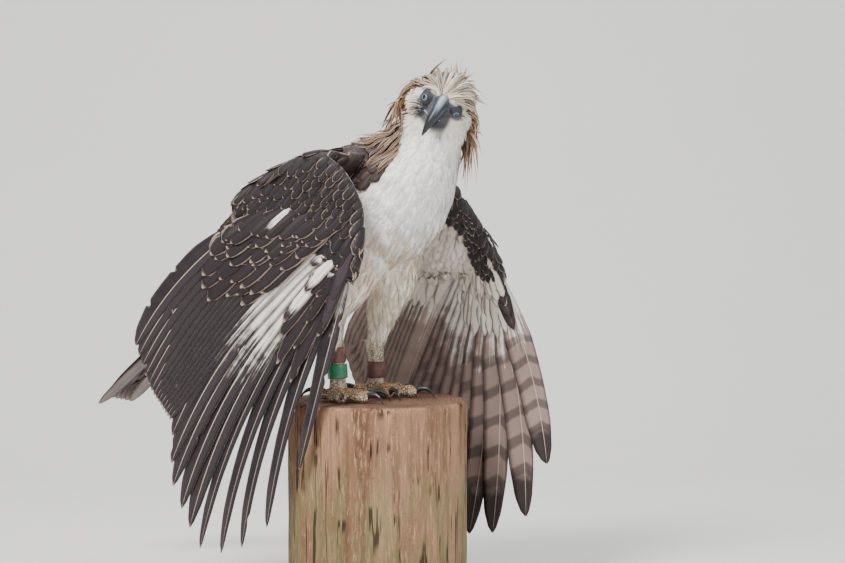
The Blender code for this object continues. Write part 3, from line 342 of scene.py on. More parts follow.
class PlumageDraft(MeshDraft):
    """A mesh draft that knows how to lay feathers."""

    def __init__(self, seed: int, rims_below: bool = False) -> None:
        """Starts empty, with its own seeded draws, and with the rims' colours from above or below."""
        super().__init__()
        self.draw = np.random.default_rng(seed)
        self.rims_below = rims_below
        self.cell = 0

    def lay(self, plume: Plume, root_place: tuple[float, float] | None = None) -> None:
        """Adds one closed feather.

        Args:
            plume: the feather.
            root_place: its root's place on the skin's unwrap, or None for a cell of its own.
        """
        path, look = plume.path, plume.look
        rows = len(path)
        steps = np.linalg.norm(np.diff(path, axis=0), axis=1)
        t = np.concatenate(([0.0], np.cumsum(steps))) / max(steps.sum(), 1e-6)
        way = unit(np.gradient(path, axis=0))
        normal = unit(plume.normals - way * np.sum(plume.normals * way, axis=1, keepdims=True))
        across = np.cross(normal, way) * plume.lead_sign
        cos, sin = math.cos(plume.turn), math.sin(plume.turn)
        across, normal = across * cos + normal * sin, normal * cos - across * sin
        s = np.array(plume.columns)
        outline = np.array(plume.outline)
        width = plume.width * np.interp(t, outline[:, 0], outline[:, 1])
        half = np.where(s > 0, plume.lead_share, 1 - plume.lead_share)
        reach = np.abs(s)[None, :] * half[None, :] * width[:, None]
        for edge in (0, -1):
            reach[:, edge] *= 1 - plume.ragged * self.draw.random(rows)
        for _ in range(plume.splits):
            row = self.draw.integers(rows // 4, rows - 2)
            side = 0 if self.draw.random() < 0.75 else -1
            reach[row, side] *= self.draw.uniform(0.45, 0.85)
        place = path[:, None] + across[:, None] * (np.sign(s)[None, :] * reach)[..., None]
        droop = plume.camber * width[:, None] * np.abs(s)[None, :] ** 1.6
        body = (1 - 0.75 * s ** 2)[None, :] * plume.thick * 0.5 * np.ones((rows, 1))
        body += (s == 0)[None, :] * (plume.quill * (1 - 0.85 * t))[:, None]
        place = place - normal[:, None] * droop[..., None]
        place += way[:, None] * (plume.chevron * np.abs(s)[None, :] * width[:, None])[..., None]
        top = place + normal[:, None] * body[..., None]
        low = place - normal[:, None] * body[..., None]
        top[:, 0] = low[:, 0] = place[:, 0]
        top[:, -1] = low[:, -1] = place[:, -1]
        columns = len(s)
        ring = np.concatenate((top, low[:, -2:0:-1]), axis=1)
        count = ring.shape[1]
        i, j = np.meshgrid(np.arange(rows - 1), np.arange(count), indexing="ij")
        nxt = (j + 1) % count
        faces = np.stack((i * count + j, i * count + nxt, (i + 1) * count + nxt, (i + 1) * count + j), -1)
        ring_s = np.concatenate((s, s[-2:0:-1]))
        ring_next = np.concatenate((ring_s[1:], ring_s[:1]))
        below = (np.arange(count) >= columns - 1).astype(float)
        u = np.stack((ring_s[j], ring_next[j], ring_next[j], ring_s[j]), -1) * 0.5 + 0.5
        v = np.stack((t[i], t[i], t[i + 1], t[i + 1]), -1)
        side_of = np.repeat(below[j][..., None], 4, axis=-1)
        caps, cap_u, cap_v = [], [], []
        for row, flip in ((0, False), (rows - 1, True)):
            for k in range(columns - 1):
                a, b = row * count + k, row * count + k + 1
                d = row * count + (count - k) % count
                c = row * count + (count - k - 1)
                corners = [a, d, c, b] if k > 0 else [a, c, b, -1]
                if k == columns - 2:
                    corners = [a, d, b, -1]
                if flip:
                    corners = [corners[2], corners[1], corners[0], -1] if corners[3] < 0 else corners[::-1]
                caps.append(corners)
                cap_u.append([0.5 + 0.5 * s[k]] * 4)
                cap_v.append([t[row]] * 4)
        faces = np.concatenate((faces.reshape(-1, 4), np.array(caps)))
        u = np.concatenate((u.reshape(-1, 4), np.array(cap_u)))
        v = np.concatenate((v.reshape(-1, 4), np.array(cap_v)))
        side_of = np.concatenate((side_of.reshape(-1, 4), np.zeros((len(caps), 4))))
        handed = float(np.sum(np.cross(across[rows // 2], normal[rows // 2]) * way[rows // 2]))
        if handed > 0:
            quads = faces[:, 3] >= 0
            order = np.where(quads[:, None], [[3, 2, 1, 0]], [[2, 1, 0, 3]])
            faces = np.take_along_axis(faces, order, 1)
            u, v = np.take_along_axis(u, order, 1), np.take_along_axis(v, order, 1)
            side_of = np.take_along_axis(side_of, order, 1)
        if root_place is None:
            size = 1.0 / ATLAS_CELLS
            column, row = self.cell % ATLAS_CELLS, (self.cell // ATLAS_CELLS) % ATLAS_CELLS
            self.cell += 1
            bake = np.stack(((column + 0.04 + 0.44 * u + 0.48 * side_of) * size,
                             (row + 0.03 + 0.94 * v) * size), -1)
        else:
            bake = np.stack((root_place[0] + (u - 0.5) * PATCH, root_place[1] + (v - 0.5) * PATCH), -1)
        is_low = (np.arange(count) >= columns).astype(bool)
        is_low[[0, columns - 1]] = self.rims_below
        tone = np.clip(plume.tone, 0.0, 1.0)

        def spread(above: tuple[float, ...], beneath: tuple[float, ...]) -> np.ndarray:
            """Gives each point the upper or the lower marking."""
            row_of = np.where(is_low[:, None], np.array(beneath)[None, :], np.array(above)[None, :])
            return np.tile(row_of, (rows, 1))

        colours = {
            "tint": spread((*look.tint, tone), (*look.under, tone)),
            "edge_tint": spread((*look.edge, look.edge_width), (*look.edge, look.edge_width * 0.5)),
            "shaft_tint": spread((*look.shaft, look.shaft_width), (*look.edge, look.shaft_width)),
            "marks": spread((look.bars, look.white_base, look.dark_tip, look.barbs),
                            (look.under_bars, look.under_white, look.under_tip, look.barbs)),
        }
        self.add(ring.reshape(-1, 3), faces, {"feather": np.stack((u, v), -1), "OFBake": bake}, colours)


def arc_path(root: np.ndarray, middle: np.ndarray, tip: np.ndarray, rows: int, begin: float = 0.0,
             end: float = 1.0) -> np.ndarray:
    """Returns points on the arc from a root past a middle to a tip.

    Args:
        root: where it starts.
        middle: what bends it.
        tip: where it ends.
        rows: how many points.
        begin: the share of the arc to start at.
        end: the share of the arc to stop at.
    Returns:
        The points, one a row.
    """
    t = np.linspace(begin, end, rows)[:, None]
    return root * (1 - t) ** 2 + middle * 2 * t * (1 - t) + tip * t * t


class Wiring:
    """Wires the nodes of one material, shader group or geometry group."""

    def __init__(self, tree: bpy.types.NodeTree) -> None:
        """Keeps the tree that the nodes go into."""
        self.tree = tree

    def make(self, kind: str, **values: object) -> bpy.types.Node:
        """Adds a node.

        Args:
            kind: Blender's name for the node.
            values: properties to set on it.
        Returns:
            The node.
        """
        node = self.tree.nodes.new(kind)
        for name, value in values.items():
            setattr(node, name, value)
        return node

    def put(self, value: object, socket: Socket) -> None:
        """Links a socket, or sets a plain value, on an input."""
        if isinstance(value, Socket):
            self.tree.links.new(value, socket)
        else:
            socket.default_value = value

    def maths(self, operation: str, *values: object) -> Socket:
        """Returns the result of one Math node on up to three values."""
        node = self.make("ShaderNodeMath", operation=operation)
        for index, value in enumerate(values):
            self.put(value, node.inputs[index])
        return node.outputs[0]

    def times(self, first: object, second: object) -> Socket:
        """Returns a product."""
        return self.maths("MULTIPLY", first, second)

    def plus(self, first: object, second: object) -> Socket:
        """Returns a sum."""
        return self.maths("ADD", first, second)

    def minus(self, first: object, second: object) -> Socket:
        """Returns a difference."""
        return self.maths("SUBTRACT", first, second)

    def line(self, value: object, slope: object, start: object) -> Socket:
        """Returns a value times a slope, plus a start."""
        return self.maths("MULTIPLY_ADD", value, slope, start)

    def scaled(self, vector: object, factor: object) -> Socket:
        """Returns a colour or a vector times a factor."""
        node = self.make("ShaderNodeVectorMath", operation="SCALE")
        self.put(vector, node.inputs[0])
        self.put(factor, node.inputs["Scale"])
        return node.outputs[0]

    def attribute(self, name: str) -> bpy.types.Node:
        """Reads a named attribute in a shader."""
        return self.make("ShaderNodeAttribute", attribute_name=name)

    def step(self, value: object, low: object, high: object, to_low: float = 0.0,
             to_high: float = 1.0) -> Socket:
        """Returns a soft step of a value between two limits."""
        node = self.make("ShaderNodeMapRange", interpolation_type="SMOOTHSTEP")
        for index, item in enumerate((value, low, high, to_low, to_high)):
            self.put(item, node.inputs[index])
        return node.outputs[0]

    def mix(self, factor: object, first: object, second: object, blend: str = "MIX") -> Socket:
        """Returns a mix of two colours."""
        node = self.make("ShaderNodeMix", data_type="RGBA", blend_type=blend)
        self.put(factor, node.inputs[0])
        self.put(self.colour(first), node.inputs[6])
        self.put(self.colour(second), node.inputs[7])
        return node.outputs[2]

    @staticmethod
    def colour(value: object) -> object:
        """Gives a plain colour its fourth value."""
        return (*value, 1.0) if isinstance(value, tuple) and len(value) == 3 else value

    def noise(self, place: object, scale: object, detail: float = 3.0, rough: float = 0.55,
              stretch: Triple | None = None) -> Socket:
        """Returns the value of a Noise Texture, on places stretched along the axes if asked."""
        if stretch is not None:
            mapping = self.make("ShaderNodeMapping")
            self.put(place, mapping.inputs["Vector"])
            mapping.inputs["Scale"].default_value = stretch
            place = mapping.outputs[0]
        node = self.make("ShaderNodeTexNoise")
        self.put(place, node.inputs["Vector"])
        self.put(scale, node.inputs["Scale"])
        node.inputs["Detail"].default_value = detail
        node.inputs["Roughness"].default_value = rough
        return node.outputs["Fac"]

    def here(self) -> Socket:
        """Returns the Object coordinates."""
        return self.make("ShaderNodeTexCoord").outputs["Object"]

    def group(self, tree: bpy.types.NodeTree, **values: object) -> bpy.types.Node:
        """Places a node group and sets or links its inputs, underscores standing for spaces."""
        node = self.make("ShaderNodeGroup", node_tree=tree)
        for name, value in values.items():
            self.put(value, node.inputs[name.replace("_", " ")])
        return node


def new_group(name: str, inputs: dict[str, float], outputs: dict[str, str]) -> tuple[
        bpy.types.NodeTree, Wiring, bpy.types.Node, bpy.types.Node]:
    """Starts a shader node group.

    Args:
        name: the group's name.
        inputs: input names to their plain values.
        outputs: output names to their socket kinds.
    Returns:
        The tree, its wiring, the group input node and the group output node.
    """
    tree = bpy.data.node_groups.new(name, "ShaderNodeTree")
    for label, value in inputs.items():
        socket = tree.interface.new_socket(name=label, in_out="INPUT", socket_type="NodeSocketFloat")
        socket.default_value = value
    for label, kind in outputs.items():
        tree.interface.new_socket(name=label, in_out="OUTPUT", socket_type=kind)
    wiring = Wiring(tree)
    return tree, wiring, wiring.make("NodeGroupInput"), wiring.make("NodeGroupOutput")


def feather_pattern() -> bpy.types.NodeTree:
    """Builds the group for a feather's shaft, barbs, margin, bars, white base, dark tip and painted sheen.

    Returns:
        The shader node group.
    """
    tree, w, given, result = new_group(
        "feather pattern", {"Bars": 9.0, "Barb Lines": 60.0, "Slant": 14.0, "Mottle": 0.22, "Lead": 0.0},
        {"Color": "NodeSocketColor", "Height": "NodeSocketFloat", "Gloss": "NodeSocketFloat"})
    corner = w.make("ShaderNodeSeparateXYZ")
    w.put(w.make("ShaderNodeUVMap", uv_map="feather").outputs[0], corner.inputs[0])
    s = w.maths("ABSOLUTE", w.line(corner.outputs[0], 2.0, -1.0))
    t = corner.outputs[1]
    tint = w.attribute("tint")
    edge = w.attribute("edge_tint")
    shaft = w.attribute("shaft_tint")
    marks = w.attribute("marks")
    mark = w.make("ShaderNodeSeparateColor")
    w.put(marks.outputs["Color"], mark.inputs[0])
    here = w.here()
    fine = w.noise(here, 260.0, 2.0)
    broad = w.noise(here, 45.0, 2.0)
    lines = w.line(t, given.outputs["Barb Lines"], w.times(s, w.times(given.outputs["Slant"], -1.0)))
    barb = w.times(w.maths("SINE", w.times(lines, 6.2832)), marks.outputs["Alpha"])
    shade = w.line(w.minus(tint.outputs["Alpha"], 0.5), 0.42, 1.0)
    shade = w.plus(shade, w.times(w.minus(broad, 0.5), given.outputs["Mottle"]))
    shade = w.line(barb, 0.07, shade)
    # Painted sheen: the leading half of the vane is mixed towards a pale silvery lilac, by the sheen share.
    front = w.times(w.step(corner.outputs[0], 0.50, 0.53), given.outputs["Lead"])
    base = w.scaled(w.mix(front, tint.outputs["Color"], paint(156, 142, 146)), shade)
    wobble = w.times(w.minus(broad, 0.5), 0.30)
    strip = w.make("ShaderNodeCombineXYZ")
    w.put(w.times(corner.outputs[0], 16.0), strip.inputs[0])
    w.put(w.times(t, 1.6), strip.inputs[1])
    w.put(w.times(tint.outputs["Alpha"], 40.0), strip.inputs[2])
    streak = w.minus(w.noise(strip.outputs[0], 1.0, 3.0), 0.5)
    soft_t = w.plus(w.line(s, 0.08, t), w.line(streak, 0.55, wobble))
    white = w.step(soft_t, w.minus(mark.outputs[1], 0.07),
                   w.plus(mark.outputs[1], 0.09), 1.0, 0.0)
    white = w.times(white, w.maths("GREATER_THAN", mark.outputs[1], 0.01))
    colour = w.mix(white, base, paint(238, 230, 222))
    phase = w.line(t, given.outputs["Bars"], w.times(s, -0.22))
    phase = w.plus(phase, w.times(wobble, 0.8))
    bars = w.step(w.maths("SINE", w.times(phase, 6.2832)), 0.05, 0.75)
    bars = w.times(bars, w.times(mark.outputs[0], w.step(t, 0.22, 0.42)))
    colour = w.mix(bars, colour, w.mix(0.80, colour, paint(52, 42, 40)))
    tip = w.times(w.step(w.plus(t, w.times(wobble, 0.3)), 0.79, 0.87),
                mark.outputs[2])
    colour = w.mix(tip, colour, paint(50, 41, 40))
    inner = w.minus(1.0, edge.outputs["Alpha"])
    margin_s = w.step(w.plus(s, w.times(w.minus(fine, 0.5), 0.10)), inner,
                      w.line(edge.outputs["Alpha"], -0.35, 1.0))
    margin_t = w.step(t, w.line(edge.outputs["Alpha"], -0.24, 1.0), 1.0)
    margin = w.times(w.maths("MAXIMUM", margin_s, margin_t), w.step(t, 0.05, 0.45))
    margin = w.times(margin, w.maths("GREATER_THAN", edge.outputs["Alpha"], 0.004))
    colour = w.mix(w.times(margin, 0.88), colour, edge.outputs["Color"])
    ridge = w.step(s, w.times(shaft.outputs["Alpha"], 0.35), shaft.outputs["Alpha"], 1.0, 0.0)
    ridge = w.times(ridge, w.maths("GREATER_THAN", shaft.outputs["Alpha"], 0.004))
    colour = w.mix(w.times(ridge, 0.85), colour, shaft.outputs["Color"])
    w.put(colour, result.inputs["Color"])
    w.put(w.plus(w.times(barb, 0.35), w.step(s, 0.0, 0.14, 1.0, 0.0)),
          result.inputs["Height"])
    w.put(w.line(fine, 0.16, -0.08), result.inputs["Gloss"])
    return tree


def weathering() -> bpy.types.NodeTree:
    """Builds the group that gives stains, fine speckle and streaks to bare materials.

    Returns:
        The shader node group.
    """
    tree, w, given, result = new_group(
        "weathering", {"Scale": 30.0, "Streak": 1.0, "Sharp": 0.12},
        {"Stain": "NodeSocketFloat", "Speck": "NodeSocketFloat", "Grain": "NodeSocketFloat"})
    here = w.here()
    stretched = w.make("ShaderNodeVectorMath", operation="MULTIPLY")
    w.put(here, stretched.inputs[0])
    long = w.make("ShaderNodeCombineXYZ")
    long.inputs[0].default_value = 1.0
    long.inputs[1].default_value = 1.0
    w.put(given.outputs["Streak"], long.inputs[2])
    w.put(long.outputs[0], stretched.inputs[1])
    stain = w.noise(here, given.outputs["Scale"], 4.0)
    w.put(w.step(stain, w.minus(0.5, given.outputs["Sharp"]),
                 w.plus(0.5, given.outputs["Sharp"])), result.inputs["Stain"])
    speck = w.noise(here, w.times(given.outputs["Scale"], 14.0), 3.0, 0.7)
    w.put(w.step(speck, 0.52, 0.68), result.inputs["Speck"])
    w.put(w.noise(stretched.outputs[0], w.times(given.outputs["Scale"], 4.0), 5.0, 0.6),
          result.inputs["Grain"])
    return tree


class Groups:
    """The shader node groups, each made once."""

    pattern: bpy.types.NodeTree
    weather: bpy.types.NodeTree

    @classmethod
    def make(cls) -> None:
        """Builds both groups."""
        cls.pattern = feather_pattern()
        cls.weather = weathering()


def new_material(name: str, roughness: float, **sockets: object) -> tuple[
        bpy.types.Material, Wiring, bpy.types.Node]:
    """Starts a material.

    Args:
        name: the material's name.
        roughness: the Principled shader's plain roughness.
        sockets: other plain values on the shader, underscores standing for spaces.
    Returns:
        The material, its wiring and its Principled shader.
    """
    material = bpy.data.materials.new(name)
    material.use_nodes = True
    shader = material.node_tree.nodes["Principled BSDF"]
    shader.inputs["Roughness"].default_value = roughness
    for label, value in sockets.items():
        shader.inputs[label.replace("_", " ")].default_value = value
    return material, Wiring(material.node_tree), shader


def bump(w: Wiring, shader: bpy.types.Node, height: object, distance: float) -> None:
    """Feeds a height through a Bump node into the shader's normal."""
    node = w.make("ShaderNodeBump")
    node.inputs["Distance"].default_value = distance
    node.inputs["Strength"].default_value = 1.0
    w.put(height, node.inputs["Height"])
    w.put(node.outputs[0], shader.inputs["Normal"])


@dataclass(frozen=True)
class PlumageFinish:
    """The finish of a piece made of feathers."""

    name: str
    roughness: float = 0.55
    sheen: float = 0.25
    sheen_tint: Triple = (0.80, 0.78, 0.95)
    bars: float = 9.0
    lines: float = 60.0
    slant: float = 14.0
    mottle: float = 0.22
    # lead: the share of painted sheen that lightens each feather's leading vane.
    lead: float = 0.0
    depth: float = 0.0003

    def make(self) -> bpy.types.Material:
        """Returns the material."""
        material, w, shader = new_material(self.name, self.roughness, Sheen_Weight=self.sheen,
                                           Sheen_Roughness=0.4, Sheen_Tint=(*self.sheen_tint, 1.0),
                                           Specular_IOR_Level=0.35)
        pattern = w.group(Groups.pattern, Bars=self.bars, Barb_Lines=self.lines, Slant=self.slant,
                          Mottle=self.mottle, Lead=self.lead)
        w.put(pattern.outputs["Color"], shader.inputs["Base Color"])
        w.put(w.plus(pattern.outputs["Gloss"], self.roughness), shader.inputs["Roughness"])
        bump(w, shader, pattern.outputs["Height"], self.depth)
        return material


@dataclass(frozen=True)
class SkinFinish:
    """The finish of the skin under the coat, which carries the coat's own markings."""

    name: str = "bird_skin"

    def make(self) -> bpy.types.Material:
        """Returns the material."""
        material, w, shader = new_material(self.name, 0.62, Specular_IOR_Level=0.3)
        tint = w.attribute("tint")
        weather = w.group(Groups.weather, Scale=60.0)
        speck = w.line(weather.outputs["Speck"], -0.16, 1.0)
        w.put(w.scaled(tint.outputs["Color"], speck), shader.inputs["Base Color"])
        bump(w, shader, w.plus(weather.outputs["Grain"], weather.outputs["Speck"]), 0.0006)
        return material


@dataclass(frozen=True)
class HornFinish:
    """The finish of the bill and claws: a body colour, a lighter and a darker part by attribute."""

    name: str
    roughness: float = 0.32
    coat: float = 0.15

    def make(self) -> bpy.types.Material:
        """Returns the material."""
        material, w, shader = new_material(self.name, self.roughness, Coat_Weight=self.coat,
                                           Coat_Roughness=0.25)
        tint = w.attribute("tint")
        weather = w.group(Groups.weather, Scale=55.0, Streak=0.5)
        shade = w.line(w.minus(weather.outputs["Grain"], 0.5), 0.55, 1.0)
        shade = w.plus(shade, w.times(weather.outputs["Speck"], -0.10))
        w.put(w.scaled(tint.outputs["Color"], shade), shader.inputs["Base Color"])
        w.put(w.line(weather.outputs["Stain"], 0.14, self.roughness - 0.05),
              shader.inputs["Roughness"])
        bump(w, shader, weather.outputs["Grain"], 0.0005)
        return material


@dataclass(frozen=True)
class ScaleFinish:
    """The finish of bare legs and toes: small rounded scales with dark lines between."""

    name: str
    cells: float = 420.0
    gap_tint: Triple = paint(64, 40, 26)

    def make(self) -> bpy.types.Material:
        """Returns the material."""
        material, w, shader = new_material(self.name, 0.55, Specular_IOR_Level=0.4)
        tint = w.attribute("tint")
        cells = w.make("ShaderNodeTexVoronoi", feature="DISTANCE_TO_EDGE")
        w.put(w.here(), cells.inputs["Vector"])
        cells.inputs["Scale"].default_value = self.cells
        raised = w.step(cells.outputs["Distance"], 0.03, 0.26)
        weather = w.group(Groups.weather, Scale=80.0)
        gap = w.mix(w.line(weather.outputs["Stain"], 0.30, 0.12), self.gap_tint,
                    tint.outputs["Color"])
        colour = w.mix(raised, gap, tint.outputs["Color"])
        tone = w.line(weather.outputs["Grain"], 0.5, 0.75)
        w.put(w.scaled(colour, tone), shader.inputs["Base Color"])
        bump(w, shader, raised, 0.0007)
        return material


@dataclass(frozen=True)
class LeatherFinish:
    """The finish of the leather cuffs."""

    name: str
    tint: Triple
    worn: Triple

    def make(self) -> bpy.types.Material:
        """Returns the material."""
        material, w, shader = new_material(self.name, 0.52, Specular_IOR_Level=0.45)
        weather = w.group(Groups.weather, Scale=70.0)
        pores = w.make("ShaderNodeTexVoronoi", feature="F1")
        w.put(w.here(), pores.inputs["Vector"])
        pores.inputs["Scale"].default_value = 900.0
        colour = w.mix(w.times(weather.outputs["Stain"], 0.6), self.tint, self.worn)
        colour = w.mix(w.times(weather.outputs["Speck"], 0.35), colour, paint(44, 30, 28))
        w.put(colour, shader.inputs["Base Color"])
        w.put(w.line(weather.outputs["Stain"], -0.15, 0.58), shader.inputs["Roughness"])
        bump(w, shader, w.plus(pores.outputs["Distance"], weather.outputs["Grain"]), 0.0004)
        return material


@dataclass(frozen=True)
class PlainFinish:
    """The finish of a small hard piece with light wear: plastic, metal, paint or thread."""

    name: str
    tint: Triple
    worn: Triple
    roughness: float = 0.4
    metallic: float = 0.0
    coat: float = 0.0

    def make(self) -> bpy.types.Material:
        """Returns the material."""
        material, w, shader = new_material(self.name, self.roughness, Metallic=self.metallic,
                                           Coat_Weight=self.coat)
        weather = w.group(Groups.weather, Scale=90.0)
        w.put(w.mix(w.times(weather.outputs["Stain"], 0.45), self.tint, self.worn),
              shader.inputs["Base Color"])
        w.put(w.line(weather.outputs["Speck"], 0.2, self.roughness - 0.05),
              shader.inputs["Roughness"])
        bump(w, shader, weather.outputs["Grain"], 0.00015)
        return material


@dataclass(frozen=True)
class EyeFinish:
    """The finish of an eye: its colours come from an attribute, under a wet coat."""

    name: str = "eye"

    def make(self) -> bpy.types.Material:
        """Returns the material."""
        material, w, shader = new_material(self.name, 0.22, Coat_Weight=1.0, Coat_Roughness=0.02,
                                           Coat_IOR=1.4)
        tint = w.attribute("tint")
        rays = w.noise(w.here(), 900.0, 3.0, 0.7)
        w.put(w.scaled(tint.outputs["Color"], w.line(rays, 0.6, 0.7)), shader.inputs["Base Color"])
        return material


@dataclass(frozen=True)
class PostFinish:
    """The finish of the cut post: red-brown end, upright grain and cracks, green growth lower down."""

    name: str = "weathered_post"

    def make(self) -> bpy.types.Material:
        """Returns the material."""
        material, w, shader = new_material(self.name, 0.82, Specular_IOR_Level=0.25)
        here = w.here()
        place = w.make("ShaderNodeSeparateXYZ")
        w.put(here, place.inputs[0])
        marks = w.attribute("marks")
        mark = w.make("ShaderNodeSeparateColor")
        w.put(marks.outputs["Color"], mark.inputs[0])
        grain = w.noise(here, 60.0, 6.0, 0.65, (1.0, 1.0, 0.07))
        broad = w.noise(here, 11.0, 4.0, 0.6, (1.0, 1.0, 0.25))
        fine = w.noise(here, 330.0, 4.0, 0.7, (1.0, 1.0, 0.12))
        pits = w.noise(here, 240.0, 3.0, 0.7)
        colour = w.mix(w.step(broad, 0.36, 0.66), paint(122, 88, 66), paint(170, 132, 102))
        colour = w.mix(w.times(w.step(grain, 0.42, 0.66), 0.75), colour, paint(88, 62, 46))
        colour = w.mix(w.times(w.step(fine, 0.52, 0.66), 0.75), colour, paint(192, 152, 116))
        colour = w.mix(w.times(w.step(pits, 0.58, 0.72), 0.55), colour, paint(52, 36, 28))
        height = w.step(place.outputs[2], PERCH_TOP - 0.02, PERCH_TOP - 0.16, 0.0, 1.0)
        growth = w.noise(here, 34.0, 6.0, 0.72, (1.0, 1.0, 0.22))
        green = w.times(w.step(w.plus(growth, w.times(height, 0.14)), 0.50, 0.74),
                      w.times(height, 0.62))
        colour = w.mix(green, colour, w.mix(fine, paint(98, 100, 62), paint(142, 136, 96)))
        rings = w.maths("SINE", w.line(w.noise(here, 9.0, 3.0), 26.0,
                                    w.times(mark.outputs[1], 150.0)))
        end = w.mix(w.step(rings, -0.6, 0.9), paint(122, 92, 74), paint(94, 68, 54))
        end = w.mix(w.times(w.step(pits, 0.52, 0.68), 0.6), end, paint(176, 146, 120))
        end = w.mix(w.times(w.step(broad, 0.45, 0.62), 0.4), end, paint(88, 62, 50))
        colour = w.mix(mark.outputs[0], colour, end)
        line = w.maths("ABSOLUTE", w.minus(w.noise(here, 30.0, 3.0, 0.55, (1.0, 1.0, 0.06)), 0.5))
        crack = w.times(w.step(line, 0.006, 0.020, 1.0, 0.0), w.step(w.noise(here, 14.0, 2.0), 0.46, 0.58))
        crack = w.times(crack, w.minus(1.0, w.times(mark.outputs[0], 0.5)))
        colour = w.mix(w.times(crack, 0.85), colour, paint(38, 26, 20))
        w.put(colour, shader.inputs["Base Color"])
        relief = w.plus(w.times(grain, 0.8), w.times(fine, 0.5))
        relief = w.minus(relief, w.times(crack, 0.8))
        bump(w, shader, relief, 0.0028)
        return material


@dataclass(frozen=True)
class StageFinish:
    """The finish of the pale floor and backdrop."""

    name: str = "studio_paper"

    def make(self) -> bpy.types.Material:
        """Returns the material."""
        material, w, shader = new_material(self.name, 0.85, Specular_IOR_Level=0.2)
        weather = w.group(Groups.weather, Scale=3.0)
        w.put(w.mix(w.times(weather.outputs["Stain"], 0.10), paint(218, 217, 214),
                    paint(208, 207, 204)), shader.inputs["Base Color"])
        return material


class Tint(Enum):
    """The bird's plumage colours."""

    BREAST = paint(246, 243, 238)
    CREAM = paint(222, 204, 178)
    BROWN = paint(74, 56, 50)
    DARK = paint(52, 41, 40)
    SLATE = paint(58, 64, 74)
    PALE_BROWN = paint(128, 102, 84)


@dataclass(frozen=True)
class HeadFrame:
    """The head's own axes: forward along the bill, left and up, from the middle of the eyes."""

    eye_middle: Triple = (0.103, -0.075, 0.475)
    tip: float = math.radians(25.0)
    roll: float = math.radians(30.0)
    rise: float = 0.122

    def axes(self) -> tuple[np.ndarray, np.ndarray, np.ndarray]:
        """Returns the forward, left and up ways."""
        level = math.sqrt(1 - self.rise ** 2)
        toward = np.array((0.0, -level, self.rise))
        view_up = np.array((0.0, self.rise, level))
        lean = np.array((1.0, 0.0, 0.0)) * math.sin(self.roll) + view_up * math.cos(self.roll)
        forward = toward * math.cos(self.tip) - lean * math.sin(self.tip)
        up = toward * math.sin(self.tip) + lean * math.cos(self.tip)
        return forward, np.cross(up, forward), up

    def point(self, x: float, y: float, z: float) -> np.ndarray:
        """Returns a place given in the head's axes."""
        forward, left, up = self.axes()
        return on_post(self.eye_middle) + forward * x + left * y + up * z

    def way(self, x: float, y: float, z: float) -> np.ndarray:
        """Returns a direction given in the head's axes."""
        forward, left, up = self.axes()
        return forward * x + left * y + up * z

    def local(self, places: np.ndarray) -> np.ndarray:
        """Returns places in the head's axes, one a row."""
        return (places - on_post(self.eye_middle)) @ np.array(self.axes()).T


HEAD = HeadFrame()
EYE_PLACE = (0.009, 0.0226, 0.0)


@dataclass(frozen=True)
class TrunkLine:
    """The middle line and half sizes of the body from the tail's root to the neck."""

    centres: Triples = (
        (-0.146, 0.086, 0.214), (-0.130, 0.076, 0.222), (-0.092, 0.053, 0.239), (-0.052, 0.026, 0.262),
        (-0.018, 0.002, 0.283), (0.022, -0.022, 0.309), (0.048, -0.038, 0.334), (0.068, -0.050, 0.358),
        (0.081, -0.057, 0.380), (0.090, -0.063, 0.404), (0.096, -0.066, 0.424), (0.100, -0.068, 0.437))
    dorsal: Triple = (-0.516, 0.359, 0.777)
    right: Triple = (-0.57, -0.82, 0.0)

    def place(self, points: np.ndarray) -> tuple[np.ndarray, np.ndarray, np.ndarray]:
        """Finds where points lie about the body.

        Args:
            points: the places, one a row.
        Returns:
            The share along the line, the distance from it, and how far each faces the back, -1 to 1.
        """
        line = np.array([along(np.array(self.centres), share) for share in np.linspace(0, 1, 60)])
        line[:, 2] += PERCH_TOP
        gap = points[:, None] - line[None]
        near = np.argmin(np.sum(gap ** 2, axis=2), axis=1)
        spoke = points - line[near]
        far = np.linalg.norm(spoke, axis=1)
        facing = spoke @ unit(np.array(self.dorsal)) / np.maximum(far, 1e-6)
        return near / 59.0, far, facing


TRUNK = TrunkLine()


@dataclass(frozen=True)
class WingShape:
    """The places that give a half-spread wing its form, from the middle of the post's top."""

    name: str
    lead_sign: float
    normal: Triple
    primary_roots: Triples
    primary_tips: Triples
    secondary_roots: Triples
    secondary_tips: Triples
    top_edge: Triples
    low_edge: Triples
    mantle_ridge: Triples
    mantle_rim: Triples
    sweep: float
    outer_sweep: float
    tilt: float
    finger_share: float
    alula: tuple[Triple, Triple]
    scapular_roots: Triples
    scapular_tips: Triples

    def facing(self) -> np.ndarray:
        """Returns the way that the wing's upper side faces."""
        return unit(np.array(self.normal))

    def edge_gap(self, edge: Triples, points: np.ndarray, low: float, high: float) -> np.ndarray:
        """Returns how far points lie from a stretch of an edge, between two shares of it."""
        return np.min([np.linalg.norm(points - on_post(along(edge, share)), axis=1)
                       for share in np.linspace(low, high, 40)], axis=0)


